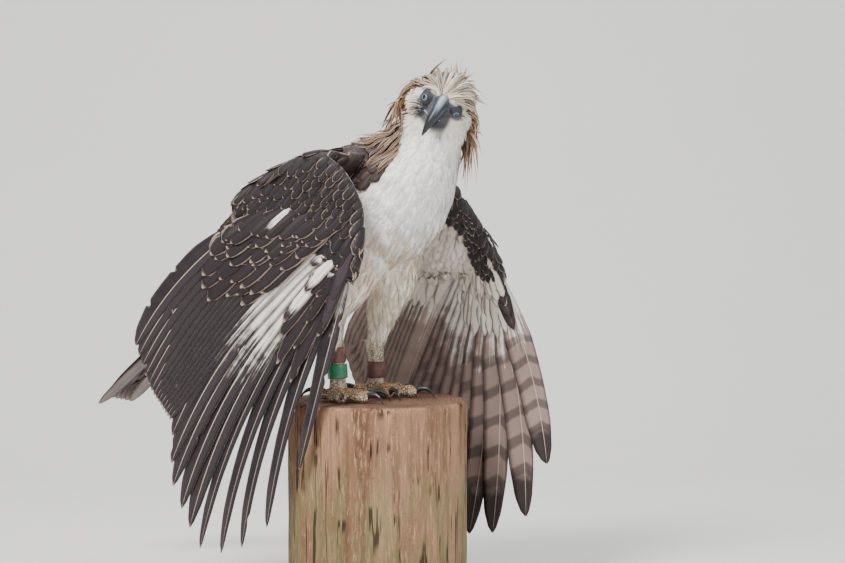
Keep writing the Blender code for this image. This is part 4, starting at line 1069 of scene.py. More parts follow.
RIGHT_WING = WingShape(
    "wing_right", 1.0, (-0.371, -0.928, 0.0),
    ((-0.036, -0.144, 0.285), (-0.036, -0.144, 0.259), (-0.042, -0.142, 0.228)),
    ((-0.328, -0.030, -0.056), (-0.330, -0.030, -0.100), (-0.328, -0.030, -0.137), (-0.315, -0.035, -0.173),
     (-0.302, -0.040, -0.203), (-0.286, -0.047, -0.236), (-0.252, -0.060, -0.242), (-0.219, -0.072, -0.231),
     (-0.179, -0.088, -0.197), (-0.127, -0.122, -0.101)),
    ((-0.050, -0.139, 0.294), (-0.095, -0.121, 0.298), (-0.140, -0.103, 0.298), (-0.185, -0.085, 0.300)),
    ((-0.331, -0.029, -0.030), (-0.346, -0.024, -0.006), (-0.362, -0.018, 0.022), (-0.384, -0.009, 0.087)),
    ((-0.230, -0.067, 0.318), (-0.204, -0.078, 0.346), (-0.147, -0.100, 0.381), (-0.090, -0.123, 0.399),
     (-0.050, -0.139, 0.378), (-0.018, -0.152, 0.318), (-0.019, -0.151, 0.262), (-0.030, -0.147, 0.205)),
    ((-0.230, -0.067, 0.318), (-0.222, -0.070, 0.288), (-0.180, -0.087, 0.252), (-0.120, -0.111, 0.238),
     (-0.080, -0.127, 0.225), (-0.056, -0.136, 0.208), (-0.040, -0.143, 0.198), (-0.030, -0.147, 0.205)),
    ((0.004, -0.060, 0.398), (-0.045, -0.035, 0.375), (-0.085, -0.012, 0.335), (-0.125, -0.018, 0.294),
     (-0.180, -0.050, 0.290), (-0.222, -0.070, 0.312)),
    ((0.004, -0.060, 0.398), (-0.036, -0.112, 0.396), (-0.090, -0.125, 0.398), (-0.147, -0.104, 0.379),
     (-0.200, -0.082, 0.344), (-0.222, -0.070, 0.312)),
    0.034, -0.004, 1.0, 0.80, ((-0.022, -0.150, 0.284), (-0.084, -0.140, 0.128)),
    ((-0.050, -0.098, 0.398), (-0.092, -0.084, 0.386), (-0.128, -0.062, 0.362)),
    ((-0.190, -0.106, 0.340), (-0.250, -0.060, 0.286), (-0.278, -0.018, 0.244)))

LEFT_WING = WingShape(
    "wing_left", -1.0, (0.410, 0.912, 0.0),
    ((0.160, 0.104, 0.252), (0.178, 0.096, 0.232), (0.192, 0.090, 0.206)),
    ((0.023, 0.166, -0.110), (0.033, 0.161, -0.134), (0.046, 0.156, -0.162), (0.065, 0.148, -0.187),
     (0.088, 0.138, -0.209), (0.117, 0.124, -0.226), (0.151, 0.108, -0.232), (0.189, 0.091, -0.228),
     (0.243, 0.067, -0.198), (0.277, 0.052, -0.110)),
    ((0.150, 0.108, 0.256), (0.120, 0.122, 0.250), (0.092, 0.134, 0.238), (0.064, 0.146, 0.226)),
    ((0.015, 0.169, -0.089), (-0.010, 0.180, -0.054), (-0.035, 0.191, -0.008), (-0.056, 0.201, 0.052)),
    ((0.028, 0.162, 0.262), (0.040, 0.150, 0.312), (0.070, 0.112, 0.362), (0.100, 0.084, 0.366),
     (0.122, 0.086, 0.342), (0.152, 0.104, 0.304), (0.188, 0.091, 0.236), (0.204, 0.084, 0.186)),
    ((0.028, 0.162, 0.262), (0.036, 0.160, 0.222), (0.072, 0.144, 0.190), (0.112, 0.126, 0.190),
     (0.148, 0.110, 0.188), (0.172, 0.099, 0.184), (0.190, 0.091, 0.180), (0.204, 0.084, 0.186)),
    ((0.066, -0.004, 0.388), (0.030, 0.040, 0.372), (-0.005, 0.064, 0.332), (-0.022, 0.096, 0.286),
     (-0.002, 0.136, 0.260), (0.030, 0.158, 0.262)),
    ((0.066, -0.004, 0.388), (0.096, 0.048, 0.378), (0.098, 0.084, 0.370), (0.070, 0.112, 0.362),
     (0.042, 0.146, 0.316), (0.030, 0.158, 0.262)),
    -0.008, -0.008, 0.45, 1.15, ((0.172, 0.098, 0.262), (0.222, 0.078, 0.106)),
    ((0.060, 0.056, 0.380), (0.034, 0.084, 0.362), (0.004, 0.096, 0.330)),
    ((0.036, 0.150, 0.310), (-0.012, 0.150, 0.272), (-0.050, 0.138, 0.236)))

MANTLE_NORMAL = unit(np.array((-0.37, 0.25, 0.90)))
LONG_OUTLINE = ((0.0, 0.30), (0.36, 1.0), (0.78, 0.90), (0.92, 0.62), (0.98, 0.30), (1.0, 0.06))
FINGER_OUTLINE = ((0.0, 0.30), (0.36, 1.0), (0.60, 0.70), (0.88, 0.50), (0.97, 0.28), (1.0, 0.05))
SHORT_OUTLINE = ((0.0, 0.45), (0.45, 1.0), (0.75, 0.97), (0.90, 0.72), (0.97, 0.40), (1.0, 0.08))
SCALE_OUTLINE = ((0.0, 0.50), (0.40, 0.95), (0.70, 1.0), (0.88, 0.80), (0.96, 0.48), (1.0, 0.10))
BLADE_OUTLINE = ((0.0, 0.50), (0.30, 1.0), (0.60, 0.82), (0.85, 0.42), (1.0, 0.05))


LEAF_STEPS = (28, 14)
TAIL_ROOT = (-0.128, 0.080, 0.224)
TAIL_TIP = (-0.452, 0.250, -0.030)


def leaf_points(top_edge: Triples, low_edge: Triples, normal: np.ndarray,
                thick: float) -> tuple[list[np.ndarray], list[list[int]]]:
    """Makes the padded middle of a wing between two edge curves that share both ends.

    Args:
        top_edge: the upper edge's places.
        low_edge: the lower edge's places.
        normal: the way that its upper side faces.
        thick: its greatest thickness.
    Returns:
        The points and faces.
    """
    columns, rows = LEAF_STEPS
    points, faces, upper, lower = [], [], {}, {}
    for column in range(columns + 1):
        u = column / columns
        high, low = on_post(along(top_edge, u)), on_post(along(low_edge, u))
        fill = math.sqrt(max(math.sin(math.pi * u), 0.0))
        for row in range(rows + 1):
            v = row / rows
            place = high * (1 - v) + low * v
            puff = fill * math.sqrt(max(4 * v * (1 - v), 0.0)) * thick * 0.5
            if column in (0, columns) and row > 0:
                upper[column, row] = lower[column, row] = upper[column, 0]
                continue
            rim = column in (0, columns) or row in (0, rows)
            points.append(place if rim else place + normal * puff)
            upper[column, row] = lower[column, row] = len(points) - 1
            if not rim:
                points.append(place - normal * puff)
                lower[column, row] = len(points) - 1
    for column in range(columns):
        for row in range(rows):
            for table, flip in ((upper, False), (lower, True)):
                keys = ((column, row), (column + 1, row), (column + 1, row + 1), (column, row + 1))
                corners = list(dict.fromkeys(table[key] for key in keys))
                if len(corners) >= 3:
                    faces.append(corners[::-1] if flip else corners)
    return points, faces


def tail_axes() -> tuple[np.ndarray, np.ndarray, np.ndarray]:
    """Returns the tail's ways: along it, across it and upwards."""
    shaft = unit(on_post(TAIL_TIP) - on_post(TAIL_ROOT))
    right = np.array(TRUNK.right)
    across = unit(right - shaft * (right @ shaft))
    normal = unit(np.cross(across, shaft))
    return shaft, across, normal if normal[2] > 0 else -normal


class Flow:
    """The way the feathers lie: directions known at some places, blended between them."""

    def __init__(self) -> None:
        """Starts with no places."""
        self.places: list[np.ndarray] = []
        self.ways: list[np.ndarray] = []

    def hold(self, place: np.ndarray, way: np.ndarray) -> None:
        """Fixes the direction at one place."""
        self.places.append(np.array(place, float))
        self.ways.append(unit(way))

    def at(self, points: np.ndarray, normals: np.ndarray) -> np.ndarray:
        """Reads the lie.

        Args:
            points: places on the skin, one a row.
            normals: the skin's normals there.
        Returns:
            The direction at each, along the skin.
        """
        places, ways = np.array(self.places), np.array(self.ways)
        result = np.zeros_like(points)
        for begin in range(0, len(points), 8000):
            part = points[begin:begin + 8000]
            gap = np.sum((part[:, None] - places[None]) ** 2, axis=2)
            weight = 1.0 / (gap + 1e-4) ** 2
            result[begin:begin + 8000] = (weight @ ways) / weight.sum(1, keepdims=True)
        result -= normals * np.sum(result * normals, axis=1, keepdims=True)
        return unit(result)


@dataclass
class Skin:
    """The one skin under the coat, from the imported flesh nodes, drawn in by the coat's depth."""

    voxel: float = 0.0028
    body_depth: float = 0.0055
    wing_depth: float = 0.0020
    arm_thick: float = 0.034
    mantle_thick: float = 0.040
    nape_forms: tuple[tuple[Triple, Triple], ...] = (((-0.020, -0.034, 0.383), (0.054, 0.045, 0.030)),
                         ((0.022, -0.040, 0.400), (0.040, 0.042, 0.033)),
                         ((0.050, -0.044, 0.424), (0.034, 0.038, 0.031)))
    flow: Flow = field(default_factory=Flow)
    item: bpy.types.Object = field(init=False)
    points: np.ndarray = field(init=False)
    normals: np.ndarray = field(init=False)
    places: np.ndarray = field(init=False)
    corners: list[tuple[int, ...]] = field(init=False)
    starts: list[int] = field(init=False)
    tree: BVHTree = field(init=False)

    @staticmethod
    def head_forms() -> list[tuple[Triple, Triple]]:
        """Returns the places and half sizes of the head's rounded forms, in its own axes."""
        forms = [((-0.020, 0.0, 0.004), (0.0440, 0.0375, 0.0370)),
                 ((0.002, 0.0, -0.003), (0.0260, 0.0250, 0.0245)),
                 ((0.013, 0.0, 0.003), (0.0130, 0.0120, 0.0170)),
                 ((-0.006, 0.0, -0.024), (0.0260, 0.0230, 0.0190)),
                 ((0.010, 0.0, -0.019), (0.0130, 0.0150, 0.0120)),
                 ((-0.012, 0.0, -0.036), (0.0250, 0.0350, 0.0220))]
        for side in (-1, 1):
            forms += [((-0.004, side * 0.020, -0.020), (0.0220, 0.0150, 0.0180)),
                      ((0.004, side * 0.0195, 0.0125), (0.0165, 0.0095, 0.0050)),
                      ((-0.015, side * 0.0330, -0.021), (0.0250, 0.0210, 0.0250)),
                      ((-0.014, side * 0.0270, 0.0080), (0.0150, 0.0090, 0.0090))]
        return forms

    def gather(self) -> bpy.types.Object:
        """Joins copies of the flesh nodes with the head's forms and the wings' padded middles."""
        shape = bmesh.new()
        for name in ("torso", "neck", "thigh_left", "thigh_right"):
            shape.from_mesh(frame["nodes"][name].data)
        bmesh.ops.remove_doubles(shape, verts=shape.verts, dist=1e-5)
        forward, left, up = HEAD.axes()
        turn = Matrix((forward, left, up)).transposed().to_4x4()
        for centre, half in self.head_forms():
            self.add_ball(shape, HEAD.point(*centre), half, turn)
        for wing in (RIGHT_WING, LEFT_WING):
            normal = wing.facing()
            for points, faces in (leaf_points(wing.top_edge, wing.low_edge, normal, self.arm_thick),
                                  leaf_points(wing.mantle_ridge, wing.mantle_rim, MANTLE_NORMAL,
                                              self.mantle_thick)):
                self.add_form(shape, points, faces)
        for centre, half in self.nape_forms:
            self.add_ball(shape, on_post(centre), half, Matrix.Identity(4))
        collar = fine_curve([on_post((0.090, -0.063, 0.404)), on_post((0.100, -0.068, 0.437)),
                             HEAD.point(-0.024, 0.0, -0.012)], 10)
        for rings in (self.rump_rings(), tube_rings(collar, np.linspace(0.046, 0.036, 10), 24)):
            draft = MeshDraft()
            draft.loft(rings)
            self.add_form(shape, draft.points[0], draft.faces[0])
        mesh = bpy.data.meshes.new("bird_skin")
        shape.to_mesh(mesh)
        shape.free()
        item = bpy.data.objects.new("bird_skin", mesh)
        bpy.context.scene.collection.objects.link(item)
        return item

    @staticmethod
    def add_form(shape: bmesh.types.BMesh, points: object, faces: object) -> None:
        """Adds points and the faces between them, without the corner number -1."""
        made = [shape.verts.new(point) for point in points]
        for corners in faces:
            shape.faces.new([made[index] for index in corners if index >= 0])

    @staticmethod
    def add_ball(shape: bmesh.types.BMesh, centre: np.ndarray, half: Triple, turn: Matrix) -> None:
        """Adds a ball stretched to half sizes along turned axes."""
        place = Matrix.Translation(Vector(centre)) @ turn @ Matrix.Diagonal((*half, 1.0))
        bmesh.ops.create_uvsphere(shape, u_segments=40, v_segments=24, radius=1.0, matrix=place)

    @staticmethod
    def rump_rings() -> np.ndarray:
        """Returns the rings of the tail's fleshy root."""
        root = on_post(TAIL_ROOT)
        shaft, across, normal = tail_axes()
        angle = np.linspace(0, 2 * math.pi, 24, endpoint=False)
        sign = 1.0 if np.cross(across, normal) @ shaft > 0 else -1.0
        rings = []
        for reach, half, thick in ((-0.045, 0.040, 0.034), (0.0, 0.042, 0.033), (0.05, 0.039, 0.023),
                                   (0.11, 0.032, 0.012), (0.15, 0.022, 0.005)):
            spoke = (np.cos(angle)[:, None] * across * half + sign * np.sin(angle)[:,
                                                                                   None] * normal * thick)
            rings.append(root + shaft * reach + spoke)
        return np.array(rings)

    def build(self) -> bpy.types.Object:
        """Makes the skin with its markings, lie and unwrap.

        Returns:
            The skin object.
        """
        item = self.gather()
        remesh = item.modifiers.new("even", "REMESH")
        remesh.mode = "VOXEL"
        remesh.voxel_size = self.voxel
        remesh.use_smooth_shade = True
        bpy.context.view_layer.update()
        even = bpy.data.meshes.new_from_object(item.evaluated_get(bpy.context.evaluated_depsgraph_get()))
        item.modifiers.clear()
        item.data = even
        shape = bmesh.new()
        shape.from_mesh(even)
        for _ in range(5):
            bmesh.ops.smooth_vert(shape, verts=shape.verts, factor=0.5, use_axis_x=True, use_axis_y=True,
                                  use_axis_z=True)
        shape.to_mesh(even)
        shape.free()
        self.read(item)
        self.draw_in(item)
        self.hold_lie()
        self.unwrap(item)
        self.mark(item)
        item.data.materials.clear()
        item.data.materials.append(SkinFinish().make())
        self.item = item
        return item

    def read(self, item: bpy.types.Object) -> None:
        """Keeps the skin's points and normals as arrays."""
        mesh = item.data
        count = len(mesh.vertices)
        flat = np.zeros(count * 3, np.float32)
        mesh.vertices.foreach_get("co", flat)
        self.points = flat.reshape(-1, 3).astype(float)
        mesh.vertex_normals.foreach_get("vector", flat)
        self.normals = flat.reshape(-1, 3).astype(float)

    def regions(self, points: np.ndarray) -> dict[str, np.ndarray]:
        """Finds which part of the bird each point belongs to.

        Args:
            points: the places, one a row.
        Returns:
            Shares from 0 to 1 by part: head, body, wing_right, wing_left, leg and tail.
        """
        local = HEAD.local(points)
        head = 1 - smooth(0.060, 0.076, np.linalg.norm(local - (-0.016, 0.0, -0.008), axis=1))
        share, far, facing = TRUNK.place(points)
        shares = {"head": head}
        for wing in (RIGHT_WING, LEFT_WING):
            normal = wing.facing()
            middle = on_post(np.mean(wing.top_edge + wing.low_edge, axis=0))
            off = np.abs((points - middle) @ normal)
            flat = points - middle
            reach = np.linalg.norm(flat, axis=1)
            shares[wing.name] = ((1 - smooth(0.018, 0.032, off)) * (1 - smooth(0.15, 0.19, reach))
                                 * smooth(0.060, 0.085, far))
        low = points[:, 2] - PERCH_TOP
        shares["leg"] = (1 - smooth(0.200, 0.235, low)) * (1 - smooth(0.09, 0.11,
                                                                      np.hypot(points[:, 0], points[:, 1])))
        shares["leg"] *= (1 - shares["wing_right"]) * (1 - shares["wing_left"])
        shares["tail"] = (1 - smooth(-0.16, -0.12, points[:, 0])) * (1 - shares["wing_right"])
        rim = np.interp(low, (0.355, 0.366, 0.380, 0.400, 0.440), (-0.09, -0.010, 0.014, 0.032, 0.040))
        shares["front"] = smooth(-0.004, 0.008, points[:, 0] - rim) * smooth(0.0, -0.03,
                                                                             points[:, 1] + 0.045)
        shares["along"], shares["far"], shares["facing"] = share, far, facing
        return shares

    def draw_in(self, item: bpy.types.Object) -> None:
        """Moves the skin inwards by the depth of the coat, and sinks it behind the eyes."""
        part = self.regions(self.points)
        wing = np.maximum(part["wing_right"], part["wing_left"])
        depth = self.body_depth * (1 - wing) * (1 - part["head"]) + self.wing_depth * wing
        moved = self.points - self.normals * depth[:, None]
        for side in (-1, 1):
            centre = HEAD.point(EYE_PLACE[0], side * EYE_PLACE[1], EYE_PLACE[2])
            gap = moved - centre
            near = np.linalg.norm(gap, axis=1)
            look = unit(HEAD.way(0.70, side * 0.71, 0.0))
            facing = unit(gap) @ look
            socket = (1 - smooth(0.0100, 0.0140, near)) * smooth(0.10, 0.55, facing)
            moved -= look[None] * (socket * 0.0075)[:, None]
        item.data.vertices.foreach_set("co", moved.astype(np.float32).ravel())
        item.data.update()
        self.read(item)

    def hold_lie(self) -> None:
        """Fixes the lie of the feathers at named places of the bird."""
        flow = self.flow
        centres = [on_post(point) for point in TRUNK.centres]
        dorsal = unit(np.array(TRUNK.dorsal))
        right = unit(np.array(TRUNK.right))
        for index in range(1, len(centres)):
            back = centres[index - 1] - centres[index]
            middle = (centres[index] + centres[index - 1]) / 2
            half = 0.075 if index < 9 else 0.045
            flow.hold(middle + dorsal * half, back)
            flow.hold(middle - dorsal * half, unit(back) * 0.5 - UP * 0.7)
            for side in (-1, 1):
                flow.hold(middle + right * side * half, unit(back) * 0.8 - UP * 0.4)
        for x, y, z in ((0.02, 0, 0.02), (0.0, 0.02, 0.035), (0.0, -0.02, 0.035), (-0.03, 0, 0.045),
                        (-0.055, 0, 0.02), (-0.06, 0, -0.01), (-0.03, 0.035, 0.02), (-0.03, -0.035, 0.02),
                        (-0.02, 0.040, -0.01), (-0.02, -0.040, -0.01), (0.005, 0.033, -0.016),
                        (0.005, -0.033, -0.016), (0.012, 0.012, -0.026), (0.012, -0.012, -0.026),
                        (-0.01, 0.0, -0.045), (-0.03, 0.03, -0.03), (-0.03, -0.03, -0.03)):
            place = HEAD.point(x, y, z)
            away = unit(place - HEAD.point(0.050, 0.0, 0.0))
            flow.hold(place, away + (HEAD.way(-0.3, 0, -0.7) if z < -0.02 else HEAD.way(-0.2, 0, -0.15)))
        for wing in (RIGHT_WING, LEFT_WING):
            for share in np.linspace(0, 1, 7):
                root = on_post(along(wing.primary_roots, share))
                tip = on_post(wing.primary_tips[int(round(share * 9))])
                flow.hold(root, tip - root)
                flow.hold(root * 0.85 + tip * 0.15, tip - root)
                root = on_post(along(wing.secondary_roots, share))
                tip = on_post(along(wing.secondary_tips, share))
                flow.hold(root, tip - root)
                flow.hold(root * 0.85 + tip * 0.15, tip - root)
                edge = on_post(along(wing.top_edge, 0.10 + 0.80 * share))
                inner = on_post(along(wing.secondary_tips, 1 - min(share * 1.6, 1.0)))
                flow.hold(edge, inner - edge)
        for hip, heel in (((-0.022, -0.020, 0.235), (-0.068, -0.043, 0.100)),
                          ((0.020, 0.022, 0.235), (0.000, 0.041, 0.100))):
            for share in (0.25, 0.6, 1.0):
                place = on_post(np.array(hip) * (1 - share) + np.array(heel) * share)
                for way in ((0.03, 0, 0), (-0.03, 0, 0), (0, 0.03, 0), (0, -0.03, 0)):
                    flow.hold(place + way, np.array(heel) - np.array(hip))
        tail = tail_axes()[0]
        for reach in (0.0, 0.06, 0.12):
            flow.hold(on_post(TAIL_ROOT) + tail * reach, tail)

    def unwrap(self, item: bpy.types.Object) -> None:
        """Unwraps the skin's own shape for the coat's colour map."""
        view = bpy.context.view_layer
        for other in view.objects:
            other.select_set(False)
        item.select_set(True)
        view.objects.active = item
        bpy.ops.object.mode_set(mode="EDIT")
        bpy.ops.mesh.select_all(action="SELECT")
        bpy.ops.uv.smart_project(angle_limit=math.radians(66), island_margin=0.002)
        bpy.ops.object.mode_set(mode="OBJECT")
        mesh = item.data
        mesh.uv_layers[0].name = "OFBake"
        places = np.zeros(len(mesh.loops) * 2, np.float32)
        mesh.uv_layers["OFBake"].uv.foreach_get("vector", places)
        self.places = places.reshape(-1, 2)
        self.corners = [tuple(face.vertices) for face in mesh.polygons]
        self.starts = [face.loop_start for face in mesh.polygons]
        self.tree = BVHTree.FromPolygons([Vector(point) for point in self.points], self.corners)

    def nearest(self, point: np.ndarray) -> tuple[np.ndarray, np.ndarray, int]:
        """Returns the nearest place on the skin, its normal, and the face there."""
        place, normal, index, _ = self.tree.find_nearest(Vector(point))
        return np.array(place), np.array(normal), index

    def map_place(self, point: np.ndarray) -> tuple[float, float]:
        """Returns where the nearest skin lies on the unwrap."""
        place, _, index = self.nearest(point)
        a, b, c = [Vector(self.points[corner]) for corner in self.corners[index][:3]]
        start = self.starts[index]
        flat = [Vector((*self.places[start + k], 0.0)) for k in range(3)]
        found = barycentric_transform(Vector(place), a, b, c, *flat)
        return float(found.x), float(found.y)

    def shades(self, points: np.ndarray, normals: np.ndarray) -> dict[str, np.ndarray]:
        """Gives the markings of skin and soft coat.

        Args:
            points: places on the skin, one a row.
            normals: the skin's normals there.
        Returns:
            Arrays by name: tint, edge_tint, shaft_tint, marks, soft, length and width.
        """
        part = self.regions(points)
        local = HEAD.local(points)
        wave = ripple(points, 0.045, 11)
        fine = ripple(points, 0.012, 12)
        count = len(points)

        def fill(colour: Triple) -> np.ndarray:
            """One colour for every point."""
            return np.tile(np.array(colour), (count, 1))

        def blend(base: np.ndarray, colour: Triple, share: np.ndarray) -> np.ndarray:
            """Lays a colour over a base by a share."""
            return base * (1 - share[:, None]) + np.array(colour)[None] * share[:, None]

        tint = fill(Tint.BREAST.value)
        low = points[:, 2] - PERCH_TOP
        belly = (1 - smooth(0.235, 0.300, low)) * (1 - part["head"])
        tint = blend(tint, paint(206, 178, 144), belly * 0.75 * smooth(-0.9, 0.6, wave))
        back = smooth(0.16, 0.40, part["facing"] + wave * 0.05) * (1 - part["head"]) * (1 - part["front"])
        tint = blend(tint, Tint.DARK.value, back)
        tint = blend(tint, paint(246, 234, 212), part["leg"] * 0.75)
        streaks = smooth(0.45, 0.90, fine) * part["leg"] * 0.40
        tint = blend(tint, paint(150, 122, 96), streaks)
        for wing in (RIGHT_WING, LEFT_WING):
            outer = normals @ wing.facing()
            upper = smooth(-0.15, 0.25, outer) if wing.lead_sign > 0 else smooth(0.55, 0.75, outer)
            tint = blend(tint, Tint.DARK.value, part[wing.name] * upper)
            tint = blend(tint, paint(228, 218, 206), part[wing.name] * (1 - upper))
        tail = part["tail"] * (1 - part["head"])
        tint = blend(tint, Tint.BROWN.value, tail * smooth(-0.3, 0.1, normals[:, 2]))
        head = part["head"]
        tint = blend(tint, paint(236, 226, 210), head)
        crown = head * smooth(0.012, 0.030, local[:, 2]) * (1 - smooth(0.010, 0.030, local[:, 0]))
        tint = blend(tint, Tint.CREAM.value, crown)
        nape = head * smooth(0.015, 0.045, -local[:, 0]) * smooth(-0.02, 0.01, local[:, 2])
        tint = blend(tint, Tint.PALE_BROWN.value, nape * 0.8)
        mask = np.zeros(count)
        for side in (-1, 1):
            eye = np.linalg.norm(local - (0.011, side * 0.0215, -0.002), axis=1)
            mask = np.maximum(mask, 1 - smooth(0.0158, 0.0190, eye))
        lores = (smooth(0.000, 0.008, local[:, 0]) * (1 - smooth(0.012, 0.018, local[:, 2]))
                 * smooth(-0.036, -0.028, local[:, 2]) * (1 - smooth(0.022, 0.029, np.abs(local[:, 1]))))
        mask = np.clip(np.maximum(mask, lores), 0, 1) * head
        tint = blend(tint, Tint.SLATE.value, mask * 0.92)
        bare = mask * smooth(0.5, 0.9, mask)
        cere = head * smooth(0.016, 0.024, local[:, 0])
        soft = (1 - back) * (1 - bare) * (1 - cere)
        for wing in (RIGHT_WING, LEFT_WING):
            soft *= 1 - part[wing.name] * smooth(-0.3, 0.1, normals @ wing.facing())
        soft *= 1 - tail
        soft *= 1 - smooth(0.90, 1.0, crown)
        length = 0.021 + 0.004 * wave
        length = length * (1 - part["leg"]) + 0.027 * part["leg"]
        face = head * (1 - smooth(0.010, 0.060, np.linalg.norm(local - (0.014, 0, -0.004), axis=1)))
        length = length * (1 - head) + (0.0125 * (1 - face) + 0.0050 * face) * head
        width = length * (0.30 * (1 - part["leg"]) + 0.26 * part["leg"])
        edge = blend(tint, (1.0, 0.98, 0.95), np.full(count, 0.35))
        shaft = tint * 0.86
        shaft = shaft * (1 - part["leg"][:, None]) + tint * 0.62 * part["leg"][:, None]
        marks = np.zeros((count, 4))
        marks[:, 3] = 0.7
        return {"tint": np.column_stack((tint, np.full(count, 0.5))),
                "edge_tint": np.column_stack((edge, np.full(count, 0.22))),
                "shaft_tint": np.column_stack((shaft, 0.05 + 0.10 * part["leg"])),
                "marks": marks, "soft": soft, "length": length, "width": width,
                "face": face, "leg": part["leg"], "head": head}

    def mark(self, item: bpy.types.Object) -> None:
        """Writes the markings, the lie and the coat's sizes onto the skin."""
        mesh = item.data
        values = self.shades(self.points, self.normals)
        for name in ("tint", "edge_tint", "shaft_tint", "marks"):
            layer = mesh.attributes.new(name, "FLOAT_COLOR", "POINT")
            layer.data.foreach_set("color", values[name].astype(np.float32).ravel())
        for name in ("soft", "length", "width", "face", "leg", "head"):
            layer = mesh.attributes.new(name, "FLOAT", "POINT")
            layer.data.foreach_set("value", values[name].astype(np.float32))
        lie = self.flow.at(self.points, self.normals)
        layer = mesh.attributes.new("lie", "FLOAT_VECTOR", "POINT")
        layer.data.foreach_set("vector", lie.astype(np.float32).ravel())
        mesh.update()

    def drape(self, root: np.ndarray, length: float, rows: int, lift: float,
              rise: float) -> tuple[np.ndarray, np.ndarray]:
        """Lays a path on the skin from a root along the lie.

        Args:
            root: the starting place, near the skin.
            length: how far it runs.
            rows: how many points it gets.
            lift: the height over the skin at the root.
            rise: how much higher the tip stands.
        Returns:
            The path and the normals along it.
        """
        place, normal, _ = self.nearest(root)
        path, normals = [], []
        step = length / (rows - 1)
        for row in range(rows):
            share = row / (rows - 1)
            path.append(place + normal * (lift + rise * share))
            normals.append(normal)
            lead = self.flow.at(place[None], normal[None])[0]
            lead = unit(lead - normal * (lead @ normal))
            found, turned, _ = self.nearest(place + lead * step)
            if np.linalg.norm(found - place) < step * 0.35:
                found = place + lead * step
                turned = normal
            place = found
            normal = unit(normal * 0.4 + turned * 0.6)
        return np.array(path), np.array(normals)


def dress(item: bpy.types.Object, slot: str, *nodes: str) -> bpy.types.Object:
    """Rides a piece on the one body and lets it stand for CAD nodes.

    Args:
        item: the piece.
        slot: the record's material slot, which is not used.
        nodes: the CAD nodes that it replaces.
    Returns:
        The piece.
    """
    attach(item, "root")
    if nodes:
        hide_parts(*nodes)
    LOG.info("%s: %d faces", item.name, len(item.data.polygons))
    return item


@dataclass
class Shingles:
    """Contour feathers set over a region of the skin like tiles, each lying along the coat."""

    skin: Skin
    draft: PlumageDraft

    def spots(self, share: np.ndarray, spacing: float, seed: int) -> list[int]:
        """Chooses skin points no closer than a spacing.

        Args:
            share: 0 to 1 for each skin point, how well the region covers it.
            spacing: the least distance between two feathers.
            seed: chooses the draw.
        Returns:
            The chosen points' numbers.
        """
        draw = np.random.default_rng(seed)
        wanted = np.flatnonzero(share > 0.02)
        wanted = wanted[draw.random(len(wanted)) < share[wanted]]
        draw.shuffle(wanted)
        taken: dict[tuple[int, int, int], list[int]] = {}
        chosen = []
        for index in wanted:
            place = self.skin.points[index]
            key = tuple(int(value) for value in np.floor(place / spacing))
            near = [other for step in np.ndindex(3, 3, 3)
                    for other in taken.get(tuple(key[axis] + step[axis] - 1 for axis in range(3)), ())]
            if all(np.sum((self.skin.points[other] - place) ** 2) >= spacing ** 2 for other in near):
                taken.setdefault(key, []).append(int(index))
                chosen.append(int(index))
        return chosen

    def cover(self, share: np.ndarray, spacing: float, length: float, width: float, seed: int,
              look: Callable[[np.ndarray, np.random.Generator], Plumage],
              outline: tuple[tuple[float, float], ...] = SCALE_OUTLINE, lift: float = 0.0012,
              rise: float = 0.0030, rows: int = 7,
              columns: tuple[float, ...] = (-1.0, -0.45, 0.0, 0.45, 1.0), camber: float = 0.16,
              grow: np.ndarray | None = None) -> None:
        """Covers a region.

        Args:
            share: 0 to 1 for each skin point.
            spacing: the least distance between feathers.
            length: a feather's length.
            width: a feather's width.
            seed: chooses the draw.
            look: a function from a place and a draw to its markings.
            outline: the feather's outline.
            lift: height of the root over the skin.
            rise: how much higher the tip lies.
            rows: points along each feather.
            columns: points across each feather.
            camber: how much its edges droop.
            grow: a share of the size for each skin point, or None.
        """
        draw = self.draft.draw
        for index in self.spots(share, spacing, seed):
            scale = draw.uniform(0.88, 1.12) * (1.0 if grow is None else grow[index])
            path, normals = self.skin.drape(self.skin.points[index], length * scale, rows, lift,
                                            rise * draw.uniform(0.7, 1.4))
            plume = Plume(path, normals, width * scale * draw.uniform(0.92, 1.08), outline,
                          look(self.skin.points[index], draw), tone=float(draw.random()), columns=columns,
                          turn=float(draw.normal(0, 0.07)), camber=camber, thick=0.0004, quill=0.0003,
                          ragged=0.08)
            self.draft.lay(plume, self.skin.map_place(self.skin.points[index]))


class FlightKind(Enum):
    """The two sets of long wing feathers."""

    PRIMARY = "primary"
    SECONDARY = "secondary"


